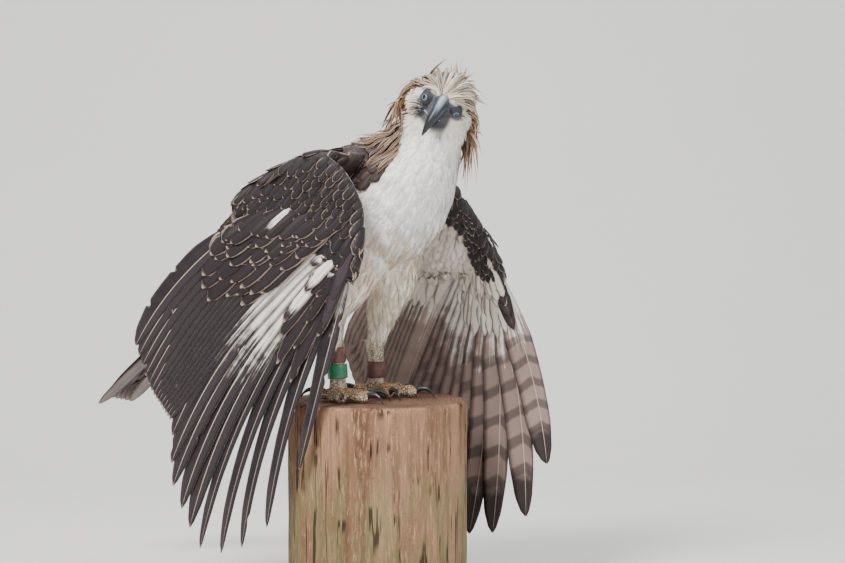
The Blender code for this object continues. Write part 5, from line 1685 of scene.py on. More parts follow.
@dataclass
class Wing:
    """A half-spread wing: flight feathers, their coverts, the alula and the scales of the arm."""

    shape: WingShape
    skin: Skin
    seed: int
    primaries: int = 10
    secondaries: int = 14
    louvre: float = math.radians(11.0)
    layer: float = 0.0012

    def path(self, kind: FlightKind, share: float, rows: int, begin: float = 0.0, end: float = 1.0,
             lift: float = 0.0) -> tuple[np.ndarray, float]:
        """Returns the arc of a flight feather, or of a covert that lies along it, and its row's sweep.

        Args:
            kind: which set.
            share: 0 to 1 through the set, outwards for primaries and inwards for secondaries.
            rows: points along it.
            begin: where on the flight feather it starts.
            end: where it ends.
            lift: how far over the flight feather it lies.
        Returns:
            The path and its length.
        """
        shape = self.shape
        normal = shape.facing()
        if kind is FlightKind.PRIMARY:
            drop = normal * (-self.layer * (share * 9 + 1) * shape.tilt ** 0.5)
            root = on_post(along(shape.primary_roots, share)) + drop
            tip = on_post(along(shape.primary_tips, share)) + drop
            sweep = shape.sweep + (shape.outer_sweep - shape.sweep) * share ** 6
        else:
            drop = normal * (self.layer * 0.5 * (1 + share * 9))
            root = on_post(along(shape.secondary_roots, share)) + drop
            tip = on_post(along(shape.secondary_tips, share)) + drop
            sweep = 0.016
        lead = unit(np.cross(normal, unit(tip - root))) * shape.lead_sign
        middle = (root + tip) / 2 + normal * 0.032 - lead * sweep * 2
        arc = arc_path(root, middle, tip, rows, begin, end) + normal * lift
        return arc, float(np.linalg.norm(tip - root))

    def flight_look(self, kind: FlightKind, share: float) -> Plumage:
        """Returns the markings of one flight feather, whose underside tint holds painted shade."""
        right = self.shape.lead_sign > 0
        dark = paint(30, 21, 24) if right else paint(66, 52, 50)
        if kind is FlightKind.PRIMARY:
            inner = 1 - smooth(0.35, 0.60, share)
            outer = smooth(0.42, 0.62, share)
            white = 0.50 * inner + 0.20 * (1 - inner) if right else 0.25 * inner + 0.12 * (1 - inner)
            # Underside tint: partly the feathers' own grey-brown, partly painted shade, darkened for the shade the
            # far wing lies in.
            return Plumage(dark, paint(142, 122, 114), paint(190, 168, 154), 0.06, paint(214, 198, 188),
                           0.045,
                           bars=0.25, white_base=float(white), dark_tip=float(0.5 + 0.5 * outer), barbs=0.7,
                           under_bars=float(0.42 + 0.40 * outer), under_white=float(0.40 - 0.08 * outer),
                           under_tip=float(0.45 + 0.55 * outer))
        outer = 1 - smooth(0.05, 0.25, share)
        # Underside tint as for the primaries: their own grey-brown, darkened by painted shade.
        return Plumage(dark, paint(152, 132, 122), paint(190, 166, 150), 0.06, paint(202, 182, 170), 0.045,
                       bars=0.2, white_base=float(0.52 * outer + 0.04), dark_tip=0.4, barbs=0.7,
                       under_bars=0.16, under_white=0.42, under_tip=0.25)

    def flights(self, draft: PlumageDraft) -> None:
        """Lays the secondaries from the innermost out, then the primaries."""
        normal = self.shape.facing()
        columns = (-1.0, -0.66, -0.33, -0.08, 0.0, 0.12, 0.50, 1.0)
        plan = [(FlightKind.SECONDARY, 1 - k / (self.secondaries - 1)) for k in range(self.secondaries)]
        plan += [(FlightKind.PRIMARY, k / (self.primaries - 1)) for k in range(self.primaries)]
        for kind, share in plan:
            path, _ = self.path(kind, share, 44)
            outer = kind is FlightKind.PRIMARY and share > 0.5
            finger = outer and self.shape.finger_share < 1
            width = 0.042 * (self.shape.finger_share if outer else 1.0)
            width = width if kind is FlightKind.PRIMARY else 0.040
            draft.lay(Plume(path, np.tile(normal, (len(path), 1)), width,
                            FINGER_OUTLINE if finger else LONG_OUTLINE, self.flight_look(kind, share),
                            tone=float(draft.draw.uniform(0.25, 0.75)), lead_share=0.33 if finger else 0.38,
                            lead_sign=self.shape.lead_sign, turn=self.louvre * self.shape.tilt, camber=0.05,
                            thick=0.0008,
                            columns=columns, splits=2 if self.shape.lead_sign > 0 else 0, ragged=0.02,
                            quill=0.0011, chevron=0.05))

    def covert_look(self, draw: np.random.Generator, white: float, under: bool) -> Plumage:
        """Returns the markings of one covert."""
        if under:
            warm = draw.uniform(0, 1)
            share = 0.15 + 0.30 * warm
            tint = tuple(np.array(paint(238, 230, 220)) * (1 - share) + np.array(paint(212, 190,
                                                                                       168)) * share)
            return Plumage(tint, tint, paint(246, 242, 236), 0.15, paint(214, 200, 184), 0.03, barbs=0.9)
        return Plumage(paint(36, 26, 28), paint(120, 104, 96), paint(230, 202, 184),
                       draw.uniform(0.14, 0.24),
                       paint(28, 21, 22), 0.05, white_base=white, barbs=0.6)

    def coverts(self, draft: PlumageDraft) -> None:
        """Lays the rows of greater and median coverts above, and the long white ones beneath."""
        normal = self.shape.facing()
        draw = draft.draw
        rows = []
        early = 1.0 if self.shape.lead_sign > 0 else 0.0
        for k in range(11):
            share = (k + 0.5) / 11
            rows.append((FlightKind.SECONDARY, 1 - share, 0.06, 0.42 + 0.05 * share, 0.0055, 0.040, False))
            rows.append((FlightKind.SECONDARY, 1 - share, 0.02, 0.33 + 0.03 * share, 0.0080, 0.036, False))
            rows.append((FlightKind.SECONDARY, 1 - share, 0.00, 0.25, 0.0105, 0.031, False))
            rows.append((FlightKind.SECONDARY, 1 - share, -0.03 * early, 0.19, 0.0128, 0.030, False))
            rows.append((FlightKind.SECONDARY, 1 - share, -0.06 * early, 0.12, 0.0148, 0.029, False))
        for k in range(10):
            share = (k + 0.3) / 10
            reach = 0.16 + 0.24 * smooth(0.30, 0.50, share)
            rows.append((FlightKind.PRIMARY, share, 0.02, reach, 0.0060, 0.026, False))
            rows.append((FlightKind.PRIMARY, share, 0.00, reach * 0.55, 0.0100, 0.022, False))
        for k in range(28):
            share = (k + 0.5) / 28
            rows.append((FlightKind.SECONDARY, 1 - share, 0.02, 0.35, -0.0060, 0.024, True))
            rows.append((FlightKind.SECONDARY, 1 - share, 0.00, 0.24, -0.0095, 0.021, True))
            rows.append((FlightKind.SECONDARY, 1 - share, 0.00, 0.14, -0.0125, 0.018, True))
        for k in range(24):
            share = (k + 0.3) / 24
            rows.append((FlightKind.PRIMARY, share, 0.02, 0.30 - 0.06 * share, -0.0060, 0.019, True))
            rows.append((FlightKind.PRIMARY, share, 0.00, 0.19 - 0.05 * share, -0.0095, 0.016, True))
        for kind, share, begin, end, lift, width, under in rows:
            jitter = draw.normal(0.0, 0.012)
            path, _ = self.path(kind, float(np.clip(share + jitter, 0, 1)), 14, begin,
                                end * draw.uniform(0.74, 1.16), lift * draw.uniform(0.85, 1.15))
            white = 0.0
            if not under and lift > 0.0102 and abs(share - (0.682 if lift > 0.012 else 0.50)) < 0.03:
                white = float(draw.uniform(0.50, 0.70))
            if not under and kind is FlightKind.PRIMARY:
                white = 0.0 if share > 0.45 else 0.85
            draft.lay(Plume(path, np.tile(normal, (len(path), 1)), width * draw.uniform(0.94, 1.06),
                            SHORT_OUTLINE,
                            self.covert_look(draw, white, under), tone=float(draw.random()),
                            lead_share=0.42,
                            lead_sign=self.shape.lead_sign,
                            turn=self.louvre * (1 if not under else 0.4) + float(draw.normal(0, 0.06)),
                            camber=0.10 if not under else -0.04, thick=0.0006, quill=0.0005,
                            ragged=0.16 if under else 0.05, splits=2 if under else 1, chevron=0.04),
                      self.skin.map_place(path[2]))
        for k in range(4):
            step = normal * ((0.005 - 0.0022 * k) * self.shape.lead_sign - (0.006 if self.shape.lead_sign < 0 else 0))
            root = on_post(self.shape.alula[0]) + step
            tip = on_post(self.shape.alula[1]) + step
            tip = tip * (0.62 + 0.13 * k) + root * (0.38 - 0.13 * k)
            bend = (root + tip) / 2 + normal * 0.008
            path = arc_path(root, bend, tip, 16)
            draft.lay(Plume(path, np.tile(normal, (16, 1)), 0.024, SHORT_OUTLINE,
                            Plumage(paint(54, 44, 48), paint(58, 46, 46), paint(150, 126, 112), 0.05,
                                    paint(34, 28, 30), 0.04, barbs=0.6),
                            tone=float(draw.random()), lead_share=0.4, lead_sign=self.shape.lead_sign,
                            turn=self.louvre, camber=0.08, thick=0.0007, quill=0.0006),
                       self.skin.map_place(root))

    def scapulars(self, draft: PlumageDraft) -> None:
        """Lays the long feathers that cover the joint of wing and back."""
        shape = self.shape
        for row in range(5):
            for k in range(8):
                share = (k + 0.5 * (row % 2)) / 7.5
                root = on_post(along(shape.scapular_roots, share))
                tip = on_post(along(shape.scapular_tips, share))
                start = root + (tip - root) * 0.14 * (4 - row)
                end = start + (tip - root) * (0.25 + 0.05 * float(draft.draw.random()))
                rise = MANTLE_NORMAL * (0.0022 + 0.0014 * row)
                middle = (start + end) / 2 + MANTLE_NORMAL * 0.006 + rise
                path = arc_path(start + rise, middle, end + rise * 0.5, 16)
                draft.lay(Plume(path, np.tile(MANTLE_NORMAL, (16, 1)),
                                0.032 * draft.draw.uniform(0.9, 1.12),
                                SHORT_OUTLINE, self.covert_look(draft.draw, 0.0, False),
                                tone=float(draft.draw.random()), lead_share=0.5, lead_sign=shape.lead_sign,
                                turn=self.louvre + float(draft.draw.normal(0, 0.05)), camber=0.10,
                                thick=0.0006,
                                quill=0.0005, ragged=0.05, splits=1, chevron=0.04),
                           self.skin.map_place(root))

    def arm(self, shingles: Shingles) -> None:
        """Sets the scale-like lesser coverts over the arm, and small pale ones beneath it."""
        skin = self.skin
        part = skin.regions(skin.points)[self.shape.name]
        normal = self.shape.facing()
        outer = skin.normals @ normal
        upper = part * (smooth(-0.25, 0.05, outer) if self.shape.lead_sign > 0 else smooth(0.15, 0.35,
                                                                                           outer))
        if self.shape.lead_sign < 0:
            lower = self.shape.edge_gap(self.shape.low_edge, skin.points, 0.05, 0.85)
            upper = upper * smooth(0.006, 0.014, lower)
        middle = (on_post(self.shape.top_edge[3]) + on_post(self.shape.top_edge[5])) / 2
        size = 0.55 + 0.55 * smooth(0.01, 0.13, np.linalg.norm(skin.points - middle, axis=1))
        if self.shape.lead_sign < 0:
            size = size * np.clip(lower / 0.048, 0.25, 1.0)

        def dark(place: np.ndarray, draw: np.random.Generator) -> Plumage:
            """The dark scales with thin pale rims."""
            return Plumage(paint(34, 25, 27), paint(110, 96, 88), paint(236, 208, 188),
                           draw.uniform(0.18, 0.30),
                           paint(26, 20, 21), 0.05, barbs=0.5)

        def pale(place: np.ndarray, draw: np.random.Generator) -> Plumage:
            """The soft white lining, browner towards the leading edge."""
            return self.covert_look(draw, 0.0, True)

        shingles.cover(upper, 0.0118, 0.044, 0.0235, self.seed, dark, grow=size, rise=0.0042)
        if self.shape.lead_sign < 0:
            lining = smooth(-0.30, -0.05, -outer)
            edge = 1 - smooth(0.023, 0.027,
                              self.shape.edge_gap(self.shape.top_edge, skin.points, 0.45, 1.0))
            shingles.cover(part * lining * (1 - edge), 0.0095, 0.040, 0.019, self.seed + 1, pale,
                           outline=SHORT_OUTLINE, rise=0.0030)
            shingles.cover(part * lining * edge, 0.0064, 0.030, 0.0155, self.seed + 2, dark, lift=0.003,
                           rise=0.0070)

    def build(self) -> None:
        """Makes the wing's pieces."""
        flights = PlumageDraft(self.seed, self.shape.lead_sign < 0)
        self.flights(flights)
        side = self.shape.name
        # The flights get a faint painted sheen on their leading vanes (lead=0.05).
        finish = PlumageFinish(side + "_flights", 0.46, 0.06, bars=9.0, lines=150.0, slant=16.0,
                               mottle=0.16, lead=0.05)
        dress(flights.build(side + "_flights", finish.make()), side, side)
        draft = PlumageDraft(self.seed + 5, self.shape.lead_sign < 0)
        self.coverts(draft)
        self.scapulars(draft)
        self.arm(Shingles(self.skin, draft))
        finish = PlumageFinish(side + "_coverts", 0.50, 0.06, lines=46.0)
        dress(draft.build(side + "_coverts", finish.make()), side)


@dataclass
class Tail:
    """The tail: twelve long feathers, the middle pair on top."""

    skin: Skin
    spread: float = 0.052
    width: float = 0.050
    layer: float = 0.0016
    bow: float = 0.020

    def build(self) -> None:
        """Makes the tail's pieces."""
        root = on_post(TAIL_ROOT)
        shaft, across, normal = tail_axes()
        draft = PlumageDraft(61)
        look = Plumage(paint(56, 41, 35), paint(120, 100, 88), paint(184, 156, 130), 0.06,
                       paint(50, 38, 33), 0.03,
                       bars=0.45, dark_tip=0.35, barbs=0.7, under_bars=0.35)
        for index in range(12):
            side = -1.0 if index % 2 == 0 else 1.0
            step = index // 2
            spread = side * (0.5 + step) / 6.0
            layer = normal * (self.layer * (5 - 2 * step - 0.5 * side))
            begin = root + shaft * 0.035 + across * (spread * 0.020) + layer
            end = on_post(TAIL_TIP) + across * (spread * self.spread) + layer - shaft * (0.012 * abs(spread))
            middle = (begin + end) / 2 + normal * self.bow * 2
            path = arc_path(begin, middle, end, 40)
            draft.lay(Plume(path, np.tile(normal, (40, 1)), self.width,
                            ((0.0, 0.30), (0.36, 1.0), (0.86, 0.96), (0.96, 0.70), (1.0, 0.20)), look,
                            tone=float(draft.draw.uniform(0.3, 0.7)), lead_share=0.42, lead_sign=side,
                            camber=0.04,
                            thick=0.0008, columns=(-1.0, -0.6, -0.25, -0.06, 0.0, 0.08, 0.45, 1.0),
                            splits=2,
                            ragged=0.02, quill=0.0011, chevron=0.05))
        finish = PlumageFinish("tail_feathers", 0.50, 0.30, bars=7.0, lines=150.0, slant=16.0)
        dress(draft.build("tail_feathers", finish.make()), "tail", "tail")


@dataclass
class BackPlumage:
    """The mantle, back, rump and hackles: dark scales that turn to long streaked blades at the nape."""

    skin: Skin

    def build(self) -> None:
        """Makes the pieces of the back and the nape."""
        skin = self.skin
        part = skin.regions(skin.points)
        local = HEAD.local(skin.points)
        wings = np.maximum(part["wing_right"], part["wing_left"])
        wave = ripple(skin.points, 0.03, 5)
        dorsal = smooth(0.10, 0.26, part["facing"] + 0.05 * wave) * (1 - part["head"]) * (1 - part["front"])
        neck = smooth(0.66, 0.80, part["along"])
        mantle = dorsal * (1 - neck) * (1 - wings)
        draft = PlumageDraft(71)
        shingles = Shingles(skin, draft)

        def dark(place: np.ndarray, draw: np.random.Generator) -> Plumage:
            """Dark brown scales with buff rims."""
            warm = smooth(0.62, 0.70, place[2]) * 0.5
            tint = np.array(Tint.DARK.value) * (1 - warm) + np.array(Tint.BROWN.value) * warm
            return Plumage(tuple(tint * 0.78), paint(120, 104, 92), paint(216, 174, 142),
                           draw.uniform(0.08, 0.20),
                           paint(28, 21, 22), 0.06, barbs=0.5)

        def blade(place: np.ndarray, draw: np.random.Generator) -> Plumage:
            """Streaked blades, cream to rufous with a dark shaft."""
            warm = draw.uniform(0.0, 1.0)
            tint = np.array(paint(176, 122, 80)) * warm + np.array(paint(246, 216, 178)) * (1 - warm)
            return Plumage(tuple(tint), paint(200, 176, 150), paint(252, 228, 196),
                           draw.uniform(0.25, 0.42),
                           paint(22, 14, 12), draw.uniform(0.50, 0.95), barbs=0.4)

        shingles.cover(mantle, 0.0125, 0.046, 0.026, 31, dark, rise=0.0045)
        dress(draft.build("mantle_feathers",
                          PlumageFinish("mantle_plumage", 0.52, 0.06, lines=46.0).make()), "torso")
        draft = PlumageDraft(73)
        shingles = Shingles(skin, draft)
        nape = smooth(0.02, 0.045, -local[:, 0]) * smooth(-0.055, -0.035, local[:, 2]) * part["head"]
        hackle = np.maximum(dorsal * neck, nape)
        shingles.cover(hackle, 0.0084, 0.044, 0.0088, 37, blade, outline=BLADE_OUTLINE, lift=0.002,
                       rise=0.0060,
                       rows=8, columns=(-1.0, 0.0, 1.0), camber=0.10)
        dress(draft.build("hackles", PlumageFinish("hackle_plumage", 0.58, 0.2, lines=34.0).make()), "neck")


@dataclass
class SoftCoat:
    """Soft tufts grown over the skin by one geometry node tree, a piece for each part."""

    skin: Skin
    seed: int = 17
    rows: int = 4

    def tuft(self, name: str, strands: int, spread: float, curl: float) -> bpy.types.Object:
        """Makes one tuft a unit long, root at the origin, lying along Y with Z outwards.

        Args:
            name: the object's name.
            strands: how many narrow blades it has.
            spread: how wide the blades fan.
            curl: how far the tips bend back to the skin.
        Returns:
            The tuft object, not linked to the scene.
        """
        rows = self.rows
        draw = np.random.default_rng(self.seed + strands)
        draft = MeshDraft()
        for k in range(strands):
            place = (k + 0.5) / strands * 2 - 1
            length = (1 - 0.28 * abs(place) ** 1.5) * draw.uniform(0.86, 1.0)
            t = np.linspace(0, 1, rows)
            half = 0.60 / strands * (1 - t ** 2.2) + 0.006
            x = place * (0.16 + (spread - 0.16) * t ** 0.8) + 0.04 * draw.normal() * t
            y = t * length
            z = 0.10 * np.sin(t * 2.2) * (1 - 0.4 * abs(place)) - curl * t ** 2 + 0.012 * draw.normal() * t
            left = np.column_stack((x - half, y, z - 0.01))
            right = np.column_stack((x + half, y, z - 0.01))
            points = np.stack((left, right), 1).reshape(-1, 3)
            i = np.arange(rows - 1) * 2
            faces = np.stack((i, i + 1, i + 3, i + 2), -1)
            u = np.clip(np.stack((place - half[:-1], place + half[:-1], place + half[1:],
                                  place - half[1:]), -1), -1, 1)
            v = np.stack((t[:-1], t[:-1], t[1:], t[1:]), -1)
            own = np.stack((u * 0.5 + 0.5, v), -1)
            draft.add(points, faces, {"feather": own, "patch": (own - 0.5) * PATCH}, {})
        mesh_item = draft.build(name, bpy.data.materials.new(name))
        bpy.context.scene.collection.objects.unlink(mesh_item)
        return mesh_item

    def tree(self) -> bpy.types.NodeTree:
        """Builds the tree that grows tufts along the lie of the coat and keeps the skin's markings.

        Returns:
            The geometry node tree.
        """
        tree = bpy.data.node_groups.new("soft coat", "GeometryNodeTree")
        face = tree.interface
        face.new_socket(name="Skin", in_out="INPUT", socket_type="NodeSocketGeometry")
        for label, kind in (("Cover", "NodeSocketString"), ("Spacing", "NodeSocketFloat"),
                            ("Density", "NodeSocketFloat"), ("Seed", "NodeSocketInt"),
                            ("Lift", "NodeSocketFloat"),
                            ("Wild", "NodeSocketFloat"), ("Size", "NodeSocketFloat"),
                            ("Tuft A", "NodeSocketObject"), ("Tuft B", "NodeSocketObject"),
                            ("Finish", "NodeSocketMaterial")):
            face.new_socket(name=label, in_out="INPUT", socket_type=kind)
        face.new_socket(name="Coat", in_out="OUTPUT", socket_type="NodeSocketGeometry")
        w = Wiring(tree)
        given = w.make("NodeGroupInput")

        def read(name: str, kind: str) -> Socket:
            """Reads a named attribute."""
            node = w.make("GeometryNodeInputNamedAttribute", data_type=kind)
            node.inputs["Name"].default_value = name
            return node.outputs["Attribute"]

        def draw(low: float, high: object, number: int) -> Socket:
            """A random value for each tuft."""
            node = w.make("FunctionNodeRandomValue", data_type="FLOAT")
            w.put(low, node.inputs[2])
            w.put(high, node.inputs[3])
            w.put(w.plus(given.outputs["Seed"], float(number)), node.inputs["Seed"])
            return node.outputs[1]

        cover = w.make("GeometryNodeInputNamedAttribute", data_type="FLOAT")
        w.put(given.outputs["Cover"], cover.inputs["Name"])
        spots = w.make("GeometryNodeDistributePointsOnFaces", distribute_method="POISSON")
        w.put(given.outputs["Skin"], spots.inputs["Mesh"])
        w.put(given.outputs["Spacing"], spots.inputs["Distance Min"])
        w.put(given.outputs["Density"], spots.inputs["Density Max"])
        w.put(cover.outputs["Attribute"], spots.inputs["Density Factor"])
        w.put(given.outputs["Seed"], spots.inputs["Seed"])
        lifted = w.scaled(spots.outputs["Normal"], w.times(given.outputs["Lift"], draw(0.5, 1.5, 1)))
        way = w.make("ShaderNodeVectorMath", operation="ADD")
        w.put(read("lie", "FLOAT_VECTOR"), way.inputs[0])
        w.put(lifted, way.inputs[1])
        axes = w.make("FunctionNodeAxesToRotation", primary_axis="Y", secondary_axis="Z")
        w.put(way.outputs[0], axes.inputs[0])
        w.put(spots.outputs["Normal"], axes.inputs[1])
        turn = w.make("ShaderNodeCombineXYZ")
        w.put(w.times(given.outputs["Wild"], draw(-0.5, 0.5, 2)), turn.inputs[0])
        w.put(w.times(given.outputs["Wild"], draw(-1.0, 1.0, 3)), turn.inputs[2])
        spin = w.make("FunctionNodeRotateRotation", rotation_space="LOCAL")
        w.put(axes.outputs[0], spin.inputs[0])
        w.put(turn.outputs[0], spin.inputs[1])
        scale = w.make("ShaderNodeCombineXYZ")
        size = w.times(given.outputs["Size"], draw(0.80, 1.2, 4))
        w.put(w.times(read("width", "FLOAT"), size), scale.inputs[0])
        long = w.times(read("length", "FLOAT"), size)
        w.put(long, scale.inputs[1])
        w.put(long, scale.inputs[2])
        both = w.make("GeometryNodeJoinGeometry")
        for label in ("Tuft A", "Tuft B"):
            info = w.make("GeometryNodeObjectInfo")
            info.inputs["As Instance"].default_value = True
            w.put(given.outputs[label], info.inputs["Object"])
            w.put(info.outputs["Geometry"], both.inputs[0])
        keep = w.make("GeometryNodeStoreNamedAttribute", data_type="FLOAT_VECTOR", domain="POINT")
        keep.inputs["Name"].default_value = "root_place"
        w.put(spots.outputs["Points"], keep.inputs["Geometry"])
        w.put(read("OFBake", "FLOAT_VECTOR"), keep.inputs["Value"])
        tone = w.make("GeometryNodeStoreNamedAttribute", data_type="FLOAT", domain="POINT")
        tone.inputs["Name"].default_value = "tone"
        w.put(keep.outputs[0], tone.inputs["Geometry"])
        w.put(draw(0.0, 1.0, 5), tone.inputs["Value"])
        grown = w.make("GeometryNodeInstanceOnPoints")
        w.put(tone.outputs[0], grown.inputs["Points"])
        w.put(both.outputs[0], grown.inputs["Instance"])
        grown.inputs["Pick Instance"].default_value = True
        w.put(spin.outputs[0], grown.inputs["Rotation"])
        w.put(scale.outputs[0], grown.inputs["Scale"])
        real = w.make("GeometryNodeRealizeInstances")
        w.put(grown.outputs[0], real.inputs[0])
        place = w.make("ShaderNodeVectorMath", operation="ADD")
        w.put(read("root_place", "FLOAT_VECTOR"), place.inputs[0])
        w.put(read("patch", "FLOAT_VECTOR"), place.inputs[1])
        store = w.make("GeometryNodeStoreNamedAttribute", data_type="FLOAT2", domain="CORNER")
        store.inputs["Name"].default_value = "OFBake"
        w.put(real.outputs[0], store.inputs["Geometry"])
        w.put(place.outputs[0], store.inputs["Value"])
        finish = w.make("GeometryNodeSetMaterial")
        w.put(store.outputs[0], finish.inputs["Geometry"])
        w.put(given.outputs["Finish"], finish.inputs["Material"])
        result = w.make("NodeGroupOutput")
        w.put(finish.outputs[0], result.inputs[0])
        return tree

    def grow(self, tree: bpy.types.NodeTree, name: str, cover: np.ndarray, spacing: float, lift: float,
             wild: float,
             size: float, tufts: tuple[bpy.types.Object, bpy.types.Object], finish: PlumageFinish,
             slot: str) -> bpy.types.Object:
        """Grows one piece of coat.

        Args:
            tree: the geometry node tree.
            name: the piece's name.
            cover: 0 to 1 for each skin point.
            spacing: the least distance between tufts.
            lift: how far the tufts stand off, as a slope.
            wild: how much they turn from the lie, in radians.
            size: a share of the skin's own tuft sizes.
            tufts: the two tuft objects.
            finish: the piece's finish.
            slot: the record's material slot.
        Returns:
            The piece.
        """
        bed = self.skin.item.copy()
        bed.data = self.skin.item.data.copy()
        bpy.context.scene.collection.objects.link(bed)
        layer = bed.data.attributes.new("cover", "FLOAT", "POINT")
        layer.data.foreach_set("value", np.clip(cover, 0, 1).astype(np.float32))
        modifier = bed.modifiers.new("coat", "NODES")
        modifier.node_group = tree
        values = {"Cover": "cover", "Spacing": spacing, "Density": 1.1 / spacing ** 2, "Seed": self.seed,
                  "Lift": lift, "Wild": wild, "Size": size, "Tuft A": tufts[0], "Tuft B": tufts[1],
                  "Finish": finish.make()}
        for socket in tree.interface.items_tree:
            if socket.in_out == "INPUT" and socket.name in values:
                modifier[socket.identifier] = values[socket.name]
        bpy.context.view_layer.update()
        mesh = bpy.data.meshes.new_from_object(bed.evaluated_get(bpy.context.evaluated_depsgraph_get()))
        bpy.data.objects.remove(bed)
        mesh.name = name
        self.settle(mesh)
        item = bpy.data.objects.new(name, mesh)
        bpy.context.scene.collection.objects.link(item)
        return dress(item, slot)

    @staticmethod
    def settle(mesh: bpy.types.Mesh) -> None:
        """Puts each tuft's tone into its tint and drops the attributes that only grew it."""
        count = len(mesh.vertices)
        tone, tint = np.zeros(count, np.float32), np.zeros(count * 4, np.float32)
        mesh.attributes["tone"].data.foreach_get("value", tone)
        mesh.attributes["tint"].data.foreach_get("color", tint)
        tint = tint.reshape(-1, 4)
        tint[:, 3] = tone
        mesh.attributes["tint"].data.foreach_set("color", tint.ravel())
        for name in ("tone", "root_place", "lie", "soft", "length", "width", "cover", "face", "leg",
                     "head", "patch"):
            if name in mesh.attributes:
                mesh.attributes.remove(mesh.attributes[name])
        mesh.polygons.foreach_set("use_smooth", np.ones(len(mesh.polygons), bool))

    def build(self) -> None:
        """Grows the coats of head, breast, belly and legs."""
        skin = self.skin
        values = skin.shades(skin.points, skin.normals)
        tree = self.tree()
        soft = (self.tuft("soft_tuft", 5, 0.75, 0.16), self.tuft("broad_tuft", 7, 0.85, 0.20))
        fine = (self.tuft("fine_tuft", 3, 0.60, 0.14), self.tuft("lash_tuft", 4, 0.60, 0.14))
        body = values["soft"] * (1 - values["head"])
        upper = smooth(PERCH_TOP + 0.285, PERCH_TOP + 0.295, skin.points[:, 2])
        finish = PlumageFinish("breast_plumage", 0.62, 0.45, (1.0, 1.0, 1.0), lines=5.0, slant=2.0,
                               mottle=0.03,
                               depth=0.0001)
        self.grow(tree, "coat_breast", body * upper, 0.0044, 0.05, 0.06, 1.0, soft, finish, "torso")
        finish = PlumageFinish("belly_plumage", 0.64, 0.40, (1.0, 0.98, 0.94), lines=5.0, slant=2.0,
                               mottle=0.20)
        self.grow(tree, "coat_belly", body * (1 - upper) * (1 - values["leg"]), 0.0054, 0.12, 0.18, 1.1,
                  soft, finish,
                  "torso")
        finish = PlumageFinish("trouser_plumage", 0.66, 0.35, (1.0, 0.97, 0.92), lines=4.0, slant=2.0,
                               mottle=0.35)
        self.grow(tree, "coat_legs", body * values["leg"], 0.0046, 0.14, 0.22, 1.0, fine, finish,
                  "thigh_right")
        finish = PlumageFinish("face_plumage", 0.62, 0.35, (1.0, 0.99, 0.96), lines=4.0, slant=2.0,
                               mottle=0.18)
        self.grow(tree, "coat_head", values["soft"] * values["head"], 0.0026, 0.14, 0.20, 1.0, fine,
                  finish, "head")


